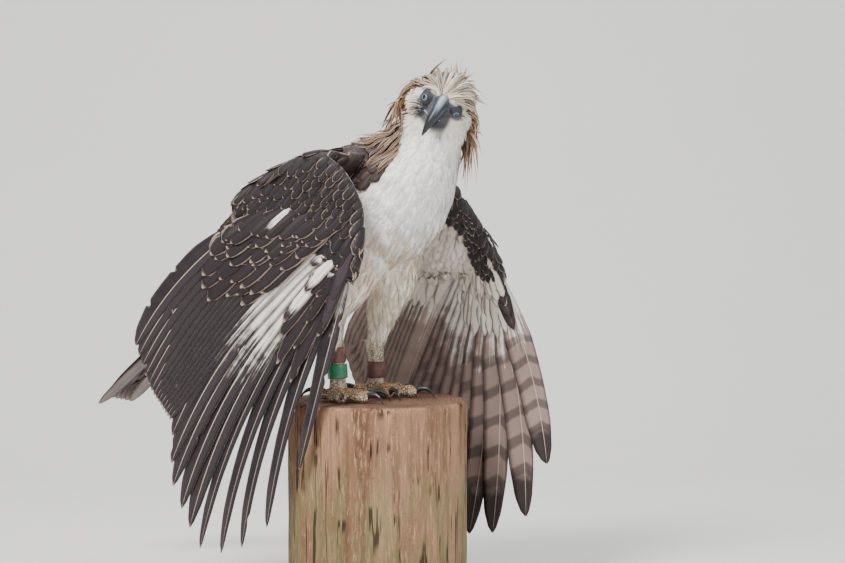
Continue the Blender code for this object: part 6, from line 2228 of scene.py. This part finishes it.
@dataclass
class Crest:
    """The long streaked crest: narrow blades that fan from the bill's root over crown and sides and droop."""

    skin: Skin
    width: float = 0.0074
    rows: int = 10
    forehead: Triple = (0.026, 0.0, 0.012)

    def blade(self, draft: PlumageDraft, root: np.ndarray, lead: np.ndarray, length: float, droop: float,
              rise: float, free: float, width: float, look: Plumage) -> None:
        """Lays one blade that hugs the head at first and then hangs free.

        Args:
            draft: what it goes into.
            root: its root on the skin.
            lead: the way that it starts.
            length: how long it is.
            droop: how far it turns down by its tip, 0 to 1.
            rise: its height over the skin where it comes free.
            free: the share of its length that hugs the head.
            width: how wide it is.
            look: its markings.
        """
        step = length / (self.rows - 1)
        _, normal, _ = self.skin.nearest(root)
        place, way = root + normal * 0.0005, unit(lead)
        path, normals = [place], [normal]
        for row in range(1, self.rows):
            share = row / (self.rows - 1)
            way = unit(way - UP * (droop * 2.0 / self.rows))
            if share <= free:
                way = unit(way - normal * (way @ normal))
                foot, normal, _ = self.skin.nearest(place + way * step)
                place = foot + normal * (0.0012 + rise * share / free)
            else:
                place = place + way * step
            path.append(place)
            normals.append(normal)
        draft.lay(Plume(np.array(path), np.array(normals), width, BLADE_OUTLINE, look,
                        tone=float(draft.draw.random()), turn=float(draft.draw.normal(0, 0.30)),
                        camber=0.14,
                        thick=0.0004, quill=0.0003, ragged=0.14, columns=(-1.0, 0.0, 1.0), chevron=0.2),
                   self.skin.map_place(root))

    @staticmethod
    def border(local: np.ndarray) -> np.ndarray:
        """Returns how far points in the head's axes lie above the lower rim of the crest."""
        return local[:, 2] - 0.015 - 1.5 * np.minimum(local[:, 0] + 0.002, 0.0)

    def look(self, warm: float, dark: float) -> Plumage:
        """Returns a blade's markings, from cream to rufous, with a dark streak of a given share."""
        warm = float(np.clip(warm, 0.0, 1.0))
        tint = np.array(paint(255, 244, 222)) * (1 - warm) + np.array(paint(196, 138, 88)) * warm
        edge = np.array(paint(255, 248, 232)) * (1 - warm) + np.array(paint(232, 180, 128)) * warm
        return Plumage(tuple(tint), tuple(tint * 0.8), tuple(edge), 0.25, paint(46, 27, 18), dark,
                       barbs=0.5,
                       dark_tip=0.6 if dark > 0.55 else 0.0)

    def crown(self, draft: PlumageDraft) -> None:
        """Lays the blades of forehead, crown and back of the head."""
        skin, draw = self.skin, draft.draw
        local = HEAD.local(skin.points)
        border = self.border(local)
        share = smooth(-0.001, 0.004, border) * skin.regions(skin.points)["head"]
        share = share * (1 - smooth(0.026, 0.030, local[:, 0])) * (1 - smooth(0.065, 0.080, -local[:, 0]))
        start = HEAD.point(*self.forehead)
        for index in Shingles(skin, draft).spots(share, 0.0062, 41):
            root = skin.points[index]
            if np.linalg.norm(root - start) < 0.004:
                continue
            side = float(smooth(0.010, 0.042, abs(local[index, 1])))
            away = unit(root - start)
            outward = HEAD.axes()[1] * math.copysign(1.2 * side, local[index, 1])
            above = side * float(smooth(-0.034, -0.010, local[index, 0])) * (0.6 if local[index,
                                                                                          1] > 0 else 0.15)
            outward = outward * (1.35 - 0.6 * above) - HEAD.axes()[0] * 1.5 * above
            lead = away + outward - UP * 0.25 * (side - above) + HEAD.axes()[1] * draw.uniform(-0.20, 0.20)
            length = 0.036 + 0.046 * float(smooth(0.005, 0.060, np.linalg.norm(root - start)))
            length *= 1 + 0.22 * side - 0.45 * above
            warm = draw.normal(0.17, 0.14) + 0.62 * side
            streak = draw.uniform(0.26, 0.58) + 0.38 * side
            self.blade(draft, root, lead, length * draw.uniform(0.85, 1.15),
                       0.34 + 0.26 * side - 0.42 * above,
                       draw.uniform(0.004, 0.010) + 0.008 * side, draw.uniform(0.55, 0.85) - 0.25 * side,
                       self.width * draw.uniform(0.7, 1.15), self.look(warm, streak))

    def ruff(self, draft: PlumageDraft) -> None:
        """Lays the streaked rim behind the cheeks, which stands off the head."""
        skin, draw = self.skin, draft.draw
        local = HEAD.local(skin.points)
        border = self.border(local)
        share = 1 - smooth(0.004, 0.010, np.abs(border - 0.004))
        front = np.where(local[:, 1] > 0, 0.016, 0.006)
        share = share * smooth(0.0, 0.007, -local[:, 0] - front) * (1 - smooth(0.056, 0.066, -local[:, 0]))
        share = share * skin.regions(skin.points)["head"]
        for index in Shingles(skin, draft).spots(share, 0.0052, 43):
            root = skin.points[index]
            side = 1 if local[index, 1] > 0 else -1
            back = -0.80 if side > 0 else -0.20
            lead = HEAD.way(back, side * 1.0, 0.05) - UP * 0.25 + HEAD.axes()[1] * draw.uniform(-0.2, 0.2)
            self.blade(draft, root, lead, 0.047 * draw.uniform(0.75, 1.25), 0.66,
                       draw.uniform(0.007, 0.016),
                       draw.uniform(0.25, 0.40), self.width * draw.uniform(0.7, 1.0),
                       self.look(draw.normal(0.62, 0.18), draw.uniform(0.40, 0.75)))

    def bristles(self, draft: PlumageDraft) -> None:
        """Lays the dark bristles of lores and chin."""
        skin, draw = self.skin, draft.draw
        local = HEAD.local(skin.points)
        share = np.zeros(len(skin.points))
        for side in (-1, 1):
            far = np.linalg.norm(local - (0.012, side * 0.019, -0.020), axis=1)
            share = np.maximum(share, 1 - smooth(0.011, 0.016, far))
        share = np.maximum(share,
                           1 - smooth(0.010, 0.014, np.linalg.norm(local - (0.014, 0, -0.034), axis=1)))
        for index in Shingles(skin, draft).spots(share, 0.0026, 47):
            root = skin.points[index]
            away = unit(root - HEAD.point(0.030, 0.0, -0.016))
            self.blade(draft, root, away - UP * 0.25, 0.014 * draw.uniform(0.6, 1.4), 0.2,
                       draw.uniform(0.001, 0.004), 0.5, 0.0013,
                       Plumage(paint(40, 40, 46), paint(40, 40, 46), paint(40, 40, 46), 0.0,
                               shaft_width=0.0))

    def build(self) -> None:
        """Makes the crest, the ruff and the bristles."""
        draft = PlumageDraft(91)
        self.crown(draft)
        self.ruff(draft)
        self.bristles(draft)
        finish = PlumageFinish("crest_plumage", 0.56, 0.15, (1.0, 0.95, 0.88), lines=60.0, slant=8.0,
                               mottle=0.3)
        dress(draft.build("crest_feathers", finish.make()), "head", "head")


@dataclass
class Bill:
    """The deep narrow bill in two halves: painted ridge highlight, dark sides, hooked tip and slit nostrils."""

    upper: tuple[tuple[float, float, float, float], ...] = (
        (0.011, 0.0222, -0.0085, 0.0136), (0.026, 0.0215, -0.0095, 0.0130),
                                                            (0.042, 0.0175, -0.0115, 0.0110),
        (0.056, 0.0085, -0.0150, 0.0090), (0.066, -0.0050, -0.0230, 0.0068),
                                                            (0.0715, -0.0210, -0.0320, 0.0040),
        (0.0725, -0.0340, -0.0395, 0.0014))
    lower: tuple[tuple[float, float, float, float], ...] = (
        (0.008, -0.0092, -0.0270, 0.0122), (0.024, -0.0107, -0.0265, 0.0108),
                                                            (0.040, -0.0130, -0.0265, 0.0088),
        (0.052, -0.0167, -0.0265, 0.0058), (0.058, -0.0217, -0.0262, 0.0020))
    nostril: tuple[float, float] = (0.024, 0.0100)

    def half(self, stations: tuple, rows: int, sides: int, is_upper: bool) -> MeshDraft:
        """Lofts one half of the bill.

        Args:
            stations: reach, top, bottom and half width at places along it.
            rows: rings along it.
            sides: points in each ring.
            is_upper: whether it is the upper half.
        Returns:
            The draft.
        """
        values = np.array([along(np.array(stations), share) for share in np.linspace(0, 1, rows)])
        angle = np.linspace(0, 2 * math.pi, sides, endpoint=False)
        cos, sin = np.cos(angle), np.sin(angle)
        narrow = 1 - (0.38 * np.maximum(cos, 0) ** 1.5 if is_upper else 0.30 * np.maximum(-cos, 0) ** 1.5)
        y = -np.sign(sin) * np.abs(sin) ** 0.85 * narrow
        z = np.sign(cos) * np.abs(cos) ** 0.90
        mid, tall = (values[:, 1] + values[:, 2]) / 2, (values[:, 1] - values[:, 2]) / 2
        local = np.zeros((rows, sides, 3))
        local[..., 0] = values[:, None, 0] - (0.0025 * (1 - z[None]) if is_upper else 0.0)
        local[..., 1] = values[:, None, 3] * y[None]
        local[..., 2] = mid[:, None] + tall[:, None] * z[None]
        tint = np.tile(np.array(paint(34, 38, 48)), (rows, sides, 1))

        def lay(colour: Triple, share: np.ndarray) -> None:
            """Lays a colour over the bill by a share."""
            tint[...] = tint * (1 - share[..., None]) + np.array(colour) * share[..., None]

        if is_upper:
            far = np.hypot((local[..., 0] - self.nostril[0]) / 0.0017,
                           (local[..., 2] - self.nostril[1]) / 0.0052)
            slit = 1 - smooth(0.7, 1.5, far)
            local[..., 1] *= 1 - 0.35 * slit
            # Painted highlight: a pale blue-grey band along the top of the ridge, fading out before the tip.
            ridge = smooth(0.70, 0.97, z)[None] * (1 - smooth(0.048, 0.068, local[..., 0]))
            lay(paint(150, 162, 178), ridge * 0.9)
            streak = (1 - smooth(0.04, 0.14, np.abs(z - 0.25)))[None] * smooth(0.026, 0.036, local[..., 0])
            lay(paint(120, 132, 148), streak * 0.6 * (1 - smooth(0.050, 0.066, local[..., 0])))
            cere = (1 - smooth(0.022, 0.030, local[..., 0])) * (1 - ridge * 0.7)
            lay(paint(74, 82, 100), cere * 0.8)
        gape = (1 - smooth(0.026, 0.042, local[..., 0])) * smooth(-0.020, -0.014, local[..., 2])
        lay(paint(168, 184, 204),
            gape * (0.9 if not is_upper else 0.7) * (1 - smooth(-0.009, -0.004, local[..., 2])))
        lay(paint(26, 26, 30), smooth(0.050, 0.070, local[..., 0]) * 0.85)
        if is_upper:
            lay(paint(10, 10, 12), np.clip(slit * 1.2, 0, 1))
        forward, left, up = HEAD.axes()
        origin = HEAD.point(0, 0, 0)
        world = origin + local[..., :1] * forward + local[..., 1:2] * left + local[..., 2:] * up
        draft = MeshDraft()
        draft.loft(world, {"tint": shade_of(tint)})
        return draft

    def build(self) -> None:
        """Makes both halves and the bristles at their base."""
        finish = HornFinish("bill_horn", 0.34, 0.12).make()
        dress(self.half(self.upper, 64, 56, True).build("bill_upper_half", finish), "bill_upper",
              "bill_upper")
        dress(self.half(self.lower, 40, 40, False).build("bill_lower_half", finish), "bill_lower",
              "bill_lower")
        draft = MeshDraft()
        for side in (-1, 1):
            path = fine_curve([HEAD.point(0.038, side * 0.0100, -0.0140),
                               HEAD.point(0.024, side * 0.0150, -0.0165),
                               HEAD.point(0.010, side * 0.0206, -0.0195)], 20)
            radii = np.interp(np.linspace(0, 1, 20), (0, 0.4, 0.9, 1), (0.0007, 0.0017, 0.0026, 0.0012))
            draft.loft(tube_rings(path, radii, 14), plain(paint(142, 160, 186), 20))
        dress(draft.build("gape_flanges", HornFinish("gape_skin", 0.45, 0.0).make()), "head")
        draft = MeshDraft()
        draw = np.random.default_rng(7)
        for k in range(72):
            side = -1 if k % 2 else 1
            x, z = draw.uniform(0.008, 0.020), draw.uniform(-0.020, 0.010)
            root = HEAD.point(x, side * draw.uniform(0.011, 0.017), z)
            way = HEAD.way(draw.uniform(0.3, 0.9), side * draw.uniform(0.4, 1.0), draw.uniform(-0.9, 0.1))
            length = draw.uniform(0.009, 0.019)
            tip = root + unit(way) * length - UP * length * 0.3
            path = arc_path(root, root + unit(way) * length * 0.6, tip, 6)
            draft.loft(tube_rings(path, np.linspace(0.00028, 0.00006, 6), 4, up=HEAD.axes()[0]))
        finish = PlainFinish("bristle", paint(30, 27, 28), paint(60, 52, 48), 0.6)
        dress(draft.build("face_bristles", finish.make()), "head")


@dataclass
class Eyes:
    """Both eyes with pale irises, and the dark lids that hood them."""

    place: Triple = EYE_PLACE
    radius: float = 0.0104
    pupil: float = 0.36
    iris: float = 0.66
    opening: float = 0.0077

    def build(self) -> None:
        """Makes the eyes and lids."""
        finish = EyeFinish().make()
        lids = MeshDraft()
        for side, node in ((-1, "eye_right"), (1, "eye_left")):
            centre = HEAD.point(self.place[0], side * self.place[1], self.place[2])
            look = unit(HEAD.way(0.72, side * 0.69, 0.0))
            across = unit(np.cross(HEAD.axes()[2], look))
            rise = np.cross(look, across)
            polar = np.concatenate((np.linspace(3.08, 1.2, 16), np.linspace(1.1, 0.02, 34)))
            angle = np.linspace(0, 2 * math.pi, 48, endpoint=False)
            spoke = np.cos(angle)[:, None] * across + np.sin(angle)[:, None] * rise
            swell = 1 + 0.035 * (1 - smooth(0.45, 0.80, polar))
            rings = (centre + look * (np.cos(polar) * self.radius * swell)[:, None, None]
                     + spoke[None] * (np.sin(polar) * self.radius * swell)[:, None, None])
            tint = np.tile(np.array(paint(42, 34, 32)), (len(polar), 1))
            iris = smooth(self.iris + 0.05, self.iris, polar)[:, None]
            inner = smooth(0.35, 0.62, polar)[:, None]
            pale = np.array(paint(112, 130, 140)) * (1 - inner) + np.array(paint(84, 102, 118)) * inner
            tint = tint * (1 - iris) + pale * iris
            pupil = smooth(self.pupil + 0.03, self.pupil - 0.01, polar)[:, None]
            tint = tint * (1 - pupil) + np.array((0.004, 0.004, 0.005)) * pupil
            draft = MeshDraft()
            draft.loft(rings, {"tint": shade_of(tint)})
            dress(draft.build(node + "_ball", finish), node, node)
            turn = np.linspace(0, 2 * math.pi, 60, endpoint=False)
            for reach, depth, thick in ((self.opening, 0.0072, 0.0014), (0.0098, 0.0050, 0.0023),
                                        (0.0118, 0.0018, 0.0030)):
                top = np.maximum(np.sin(turn), 0) ** 1.5
                ring = reach * (1 - 0.10 * top)
                path = (centre + look * (depth + 0.0012 * top)[:, None]
                        + (np.cos(turn) * ring)[:, None] * across + (np.sin(turn) * ring)[:, None] * rise)
                self.lid(lids, path, thick * (1 + 0.45 * top), look)
        dress(lids.build("eye_lids", HornFinish("lid_skin", 0.6, 0.0).make()), "head")

    @staticmethod
    def lid(draft: MeshDraft, path: np.ndarray, radii: np.ndarray, look: np.ndarray) -> None:
        """Adds a closed ring of skin round an eye.

        Args:
            draft: what it goes into.
            path: the ring's middle line, its ends not repeated.
            radii: its thickness at each point.
            look: the way that the eye looks.
        """
        count, sides = len(path), 10
        way = unit(np.roll(path, -1, 0) - np.roll(path, 1, 0))
        out = unit(np.cross(way, look[None]))
        angle = np.linspace(0, 2 * math.pi, sides, endpoint=False)
        spokes = np.cos(angle)[None, :, None] * out[:, None] - np.sin(angle)[None, :, None] * look[None,
                                                                                                   None]
        points = path[:, None] + spokes * radii[:, None, None]
        draft.band(points, 0.001, plain(paint(48, 50, 58), count * sides))


@dataclass(frozen=True)
class LegShape:
    """One leg's places and toes: name, heading in degrees, length and claw length."""

    side: str
    heel: Triple
    ankle: Triple
    toes: tuple[tuple[str, float, float, float], ...]


RIGHT_LEG = LegShape("right", (-0.070, -0.042, 0.150), (-0.062, -0.045, 0.022),
                     (("middle", -37, 0.062, 0.040), ("inner", 4, 0.050, 0.046),
                      ("outer", -82, 0.046, 0.034),
                      ("hind", 148, 0.036, 0.050)))
LEFT_LEG = LegShape("left", (-0.004, 0.041, 0.150), (-0.003, 0.040, 0.022),
                    (("middle", -20, 0.071, 0.042), ("inner", -62, 0.052, 0.044),
                     ("outer", 24, 0.048, 0.034),
                     ("hind", 172, 0.036, 0.050)))


@dataclass
class Leg:
    """A bare scaly shank and a foot with jointed toes, pads and long hooked claws."""

    shape: LegShape
    shank: float = 0.0125
    toe: float = 0.0092
    claw: float = 0.0058
    floor: float = PERCH_TOP + 0.0003

    def build(self) -> None:
        """Makes the leg's pieces."""
        shape = self.shape
        heel, ankle = on_post(shape.heel), on_post(shape.ankle)
        start = heel * 0.86 + ankle * 0.14
        foot_top = on_post((shape.ankle[0], shape.ankle[1], 0.022))
        finish = ScaleFinish("shank_scales_" + shape.side, 300.0).make()
        toe_finish = ScaleFinish("toe_scales_" + shape.side, 230.0).make()
        rows, sides = 90, 48
        path = fine_curve([start, start * 0.5 + foot_top * 0.5, foot_top], rows)
        angle = np.linspace(0, 2 * math.pi, sides, endpoint=False)
        t = np.linspace(0, 1, rows)
        front = np.maximum(np.cos(angle - math.pi / 2), 0)
        scutes = 0.020 * np.abs(np.sin(t[:, None] * 34 * math.pi / 2)) * front[None] ** 0.5
        shape_of = 1 + scutes + 0.05 * np.cos(2 * angle)[None] + 0.012 * ripple(
            np.column_stack((np.tile(np.cos(angle), rows), np.tile(np.sin(angle), rows),
                             np.repeat(t * 9, sides))),
            0.7, 3).reshape(rows, sides)
        radii = self.shank * (1 + 0.16 * smooth(0.10, 0.0, t) + 0.12 * smooth(0.90, 1.0, t))
        draft = MeshDraft()
        draft.loft(tube_rings(path, radii, sides, shape_of),
                   plain(paint(240, 224, 196), rows))
        dress(draft.build("shank_" + shape.side, finish), "tarsus_" + shape.side, "tarsus_" + shape.side)
        feet = MeshDraft()
        middle = np.array((foot_top[0], foot_top[1], 0.0))
        pad = fine_curve([foot_top + UP * 0.002, foot_top - UP * 0.009, middle + UP * (self.floor + 0.005),
                          middle + UP * (self.floor + 0.0005)], 24)
        feet.loft(tube_rings(pad, np.interp(np.linspace(0, 1, 24), (0, 0.3, 0.75, 1.0),
                                            (0.0132, 0.0158, 0.0168, 0.012)), 40,
                             up=np.array((1.0, 0.0, 0.0))),
                  plain(paint(232, 212, 178), 24))
        for name, degrees, length, claw in shape.toes:
            way = np.array((math.cos(math.radians(degrees)), math.sin(math.radians(degrees)), 0.0))
            end = self.add_toe(feet, middle, way, length, 2 if name == "hind" else 3)
            self.add_claw(name, end, way, claw)
        dress(feet.build("toes_" + shape.side, toe_finish), "foot_" + shape.side, "foot_" + shape.side)

    def add_toe(self, draft: MeshDraft, base: np.ndarray, way: np.ndarray, length: float,
                joints: int) -> np.ndarray:
        """Adds one toe lying on the wood.

        Args:
            draft: what it goes into.
            base: the middle of the foot, at height zero.
            way: the toe's level heading.
            length: how long it is.
            joints: its pads.
        Returns:
            The middle of its end, where the claw grows.
        """
        rows, sides = 60, 36
        t = np.linspace(0.05, 1.0, rows)
        heights = np.interp(t, (0.05, 0.35, 0.62, 0.84, 1.0), (0.0120, 0.0122, 0.0100, 0.0110, 0.0098))
        path = base + way * (length * t)[:, None] + UP * (self.floor + heights)[:, None]
        radii = self.toe * np.interp(t, (0.05, 0.35, 0.62, 0.84, 1.0), (1.15, 1.02, 0.93, 1.0, 0.64))
        angle = np.linspace(0, 2 * math.pi, sides, endpoint=False)
        above = np.maximum(np.cos(angle), 0)
        plates = np.abs(np.sin(t[:, None] * length / 0.0046 * math.pi)) ** 0.5
        pads = np.maximum(np.sin((t[:, None] - 0.15) * math.pi * joints * 1.18), 0)
        form = 1 + 0.075 * (plates - 0.6) * above[None] ** 0.7 + 0.13 * pads * np.maximum(-np.cos(angle),
                                                                                          0)[None]
        form *= 1 - 0.06 * np.abs(np.sin(angle))[None]
        rings = tube_rings(path, radii, sides, form)
        rings[..., 2] = np.maximum(rings[..., 2], self.floor)
        tan, pale = np.array(paint(206, 150, 92)), np.array(paint(246, 228, 196))
        plate_share = (plates * above[None] ** 0.5)[..., None]
        tint = pale * (1 - plate_share) + tan * plate_share
        draft.loft(rings, {"tint": shade_of(tint)})
        return path[-1]

    def add_claw(self, name: str, base: np.ndarray, way: np.ndarray, length: float) -> None:
        """Makes one claw that rises from its toe and hooks down to the wood.

        Args:
            name: the toe's name.
            base: the middle of the toe's end.
            way: the toe's level heading.
            length: the claw's length along its curve.
        """
        steps, sides = 30, 24
        bend, begin = math.radians(115.0), math.radians(38.0)
        t = np.linspace(0, 1, steps)
        angle = begin - bend * t
        moves = (way * np.cos(angle)[:, None] + UP * np.sin(angle)[:, None]) * (length / (steps - 1))
        path = base - way * 0.004 + np.concatenate((np.zeros((1, 3)), np.cumsum(moves[:-1], axis=0)))
        radii = self.claw * (1 - 0.93 * t ** 1.3)
        rise = max(self.floor - float(np.min(path[:, 2] - radii)), 0.0)
        path[:, 2] += rise * t
        around = np.linspace(0, 2 * math.pi, sides, endpoint=False)
        form = 1 - 0.14 * np.abs(np.sin(around)) - 0.10 * np.maximum(-np.cos(around), 0)
        rings = tube_rings(path, radii, sides, np.tile(form, (steps, 1)))
        rings[..., 2] = np.maximum(rings[..., 2], self.floor)
        base_tint, tip_tint = np.array(paint(54, 52, 54)), np.array(paint(22, 22, 24))
        tint = base_tint * (1 - t[:, None]) + tip_tint * t[:, None]
        draft = MeshDraft()
        draft.loft(rings, {"tint": shade_of(tint)})
        node = "claw_" + self.shape.side + "_" + name
        dress(draft.build(node + "_horn", HornFinish(node + "_horn", 0.26, 0.35).make()), "claws", node)


@dataclass
class Anklets:
    """The leather cuffs and the green leg band."""

    shank: float = 0.0125

    def ring(self, leg: LegShape, low: float, high: float, outer: float, bulge: float) -> np.ndarray:
        """Returns the rings of a band round a shank.

        Args:
            leg: whose shank.
            low: its lower height over the post.
            high: its upper height.
            outer: its outer radius.
            bulge: how far its middle swells, as a share.
        Returns:
            Rings through the wall, closed back on the first.
        """
        heel, ankle = on_post(leg.heel), on_post(leg.ankle)
        start = heel * 0.84 + ankle * 0.16
        end = on_post((leg.ankle[0], leg.ankle[1], 0.024))
        inner = self.shank * 1.02
        profile = [(0.0, inner), (0.0, inner * 0.5 + outer * 0.5), (0.02, outer * 0.965), (0.07, outer)]
        profile += [(share, outer * (1 + bulge * math.sin(math.pi * share))) for share in np.linspace(0.15, 0.85, 12)]
        profile += [(0.93, outer), (0.98, outer * 0.965), (1.0, inner * 0.5 + outer * 0.5), (1.0, inner)]
        rings = []
        angle = np.linspace(0, 2 * math.pi, 72, endpoint=False)
        axis = unit(start - end)
        side = unit(np.cross(axis, np.array((0.0, 1.0, 0.0))))
        other = np.cross(axis, side)
        for share, radius in profile:
            height = low + (high - low) * share
            place = start + (end - start) * ((start[2] - PERCH_TOP - height) / (start[2] - end[2]))
            rings.append(place + radius * (np.cos(angle)[:, None] * side + np.sin(angle)[:, None] * other))
        return np.array(rings)

    def build(self) -> None:
        """Makes the cuffs and the band."""
        leather = LeatherFinish("cuff_leather", paint(96, 62, 60), paint(132, 92, 82)).make()
        green = PlainFinish("band_green", paint(24, 112, 74), paint(52, 140, 98), 0.28, 0.0, 0.5).make()
        for name, leg, low, high, outer, finish, bulge, slot in (
                ("anklet_right", RIGHT_LEG, 0.062, 0.087, 0.0152, leather, 0.05, "cuffs"),
                ("anklet_left", LEFT_LEG, 0.031, 0.057, 0.0165, leather, 0.05, "cuffs"),
                ("leg_band", RIGHT_LEG, 0.037, 0.060, 0.0165, green, 0.0, "leg_band")):
            draft = MeshDraft()
            draft.band(self.ring(leg, low, high, outer, bulge), 0.0015, {})
            dress(draft.build(name + "_ring", finish), slot, name)


@dataclass
class Post:
    """The cut post: weathered wood with cracks, a worn rim and a ringed end."""

    radius: float = 0.144
    rim: float = 0.011
    low: float = 0.0183

    def build(self) -> None:
        """Makes the post."""
        sides = 300
        heights = list(np.linspace(self.low, PERCH_TOP - self.rim, 110))
        profile = [(self.radius, z) for z in heights]
        for angle in np.linspace(0.05, 1.0, 8) * math.pi / 2:
            profile.append((self.radius - self.rim * (1 - math.cos(angle)),
                            PERCH_TOP - self.rim * (1 - math.sin(angle))))
        profile += [(radius, PERCH_TOP) for radius in np.linspace(self.radius - self.rim - 0.003, 0.004,
                                                                  50)]
        profile = np.array(profile)
        angle = np.linspace(0, 2 * math.pi, sides, endpoint=False)
        radius = np.tile(profile[:, :1], (1, sides))
        height = np.tile(profile[:, 1:], (1, sides))
        ring = np.stack((np.cos(angle), np.sin(angle)), -1)
        around = np.concatenate((np.tile(ring, (len(profile), 1, 1)) * 0.144, height[..., None] * 0.06), -1)
        flat = around.reshape(-1, 3)
        groove = (ripple(flat, 0.012, 2) * 0.6 + ripple(flat, 0.005, 3) * 0.4).reshape(radius.shape)
        side_share = smooth(0.0, 0.4, (radius - self.radius * 0.75) / (self.radius * 0.25))
        below = 1 - smooth(PERCH_TOP - 0.006, PERCH_TOP - 0.0005, height)
        end = smooth(PERCH_TOP - 0.003, PERCH_TOP - 0.0005, height)
        moved = radius + (groove * 0.0016 - 0.0012) * side_share * below
        top_rough = (ripple(np.stack((radius * ring[None, :, 0], radius * ring[None, :, 1], height),
                                     -1).reshape(-1, 3),
                            0.014, 4)).reshape(radius.shape) * 0.0005
        height = height - end * np.abs(top_rough)
        points = np.stack((moved * ring[None, :, 0], moved * ring[None, :, 1], height), -1)
        marks = np.stack((end, radius / self.radius, np.zeros_like(end), np.ones_like(end)), -1)
        draft = MeshDraft()
        draft.loft(points, {"marks": marks})
        dress(draft.build("post_wood", PostFinish().make()), "perch_post", "perch_post")


@dataclass
class Studio:
    """The pale floor and backdrop, the soft lights and the camera at the photograph's place."""

    aim: Triple = (0.072, 0.0, 0.4885)
    distance: float = 6.0
    elevation: float = math.radians(4.0)
    field_width: float = 1.352

    def sweep(self) -> None:
        """Makes the floor that curves up into the backdrop."""
        profile = [(-7.5, 0.0), (1.4, 0.0)]
        profile += [(1.4 + 1.2 * math.sin(a),
                     1.2 - 1.2 * math.cos(a)) for a in np.linspace(0.1, math.pi / 2, 12)]
        profile += [(2.6, 5.0)]
        points = np.array([(x, y, z) for y, z in profile for x in (-6.0, 6.0)])
        faces = np.array([(2 * k, 2 * k + 1, 2 * k + 3, 2 * k + 2) for k in range(len(profile) - 1)])
        draft = MeshDraft()
        draft.add(points, faces, {}, {})
        draft.build("studio_sweep", StageFinish().make())

    @staticmethod
    def light(name: str, place: Triple, toward: Triple, size: float,
              power: float, tint: Triple) -> None:
        """Hangs one soft area light."""
        lamp = bpy.data.lights.new(name, "AREA")
        lamp.size, lamp.energy, lamp.color = size, power, tint
        item = bpy.data.objects.new(name, lamp)
        item.location = place
        way = Vector(toward) - Vector(place)
        item.rotation_euler = way.to_track_quat("-Z", "Y").to_euler()
        bpy.context.scene.collection.objects.link(item)

    def build(self) -> None:
        """Makes the studio."""
        self.sweep()
        self.light("key", (-1.6, -2.4, 3.2), (0.0, 0.0, 0.5), 1.4, 240.0, (1.0, 0.985, 0.96))
        self.light("fill", (2.6, -2.2, 1.6), (0.0, 0.0, 0.4), 2.4, 42.0, (0.95, 0.98, 1.0))
        self.light("top", (0.2, 0.9, 3.0), (0.0, 0.0, 0.4), 1.6, 60.0, (1.0, 1.0, 1.0))
        world = bpy.data.worlds.new("studio_air")
        world.use_nodes = True
        world.node_tree.nodes["Background"].inputs[0].default_value = (0.86, 0.89, 0.93, 1.0)
        world.node_tree.nodes["Background"].inputs[1].default_value = 0.62
        bpy.context.scene.world = world
        lens = bpy.data.cameras.new("photo_view")
        lens.sensor_width = 36.0
        lens.lens = 36.0 * self.distance / self.field_width
        camera = bpy.data.objects.new("photo_view", lens)
        back = Vector((0.0, -math.cos(self.elevation), math.sin(self.elevation)))
        camera.location = Vector(self.aim) + back * self.distance
        camera.rotation_euler = (-back).to_track_quat("-Z", "Y").to_euler()
        bpy.context.scene.collection.objects.link(camera)
        bpy.context.scene.camera = camera


def main() -> None:
    """Builds every class in order."""
    logging.basicConfig(level=logging.INFO, format="%(message)s")
    Groups.make()
    skin = Skin()
    dress(skin.build(), "torso", "torso", "neck", "thigh_left", "thigh_right")
    Wing(RIGHT_WING, skin, 41).build()
    Wing(LEFT_WING, skin, 51).build()
    Tail(skin).build()
    BackPlumage(skin).build()
    SoftCoat(skin).build()
    Crest(skin).build()
    Bill().build()
    Eyes().build()
    Leg(RIGHT_LEG).build()
    Leg(LEFT_LEG).build()
    Anklets().build()
    Post().build()
    base = frame["nodes"]["stand_base"]
    base.data.materials.clear()
    base.data.materials.append(PlainFinish("base_paint", paint(58, 56, 54), paint(84, 80, 76), 0.5).make())
    Studio().build()
    bpy.context.view_layer.update()


if __name__ == "__main__":
    main()
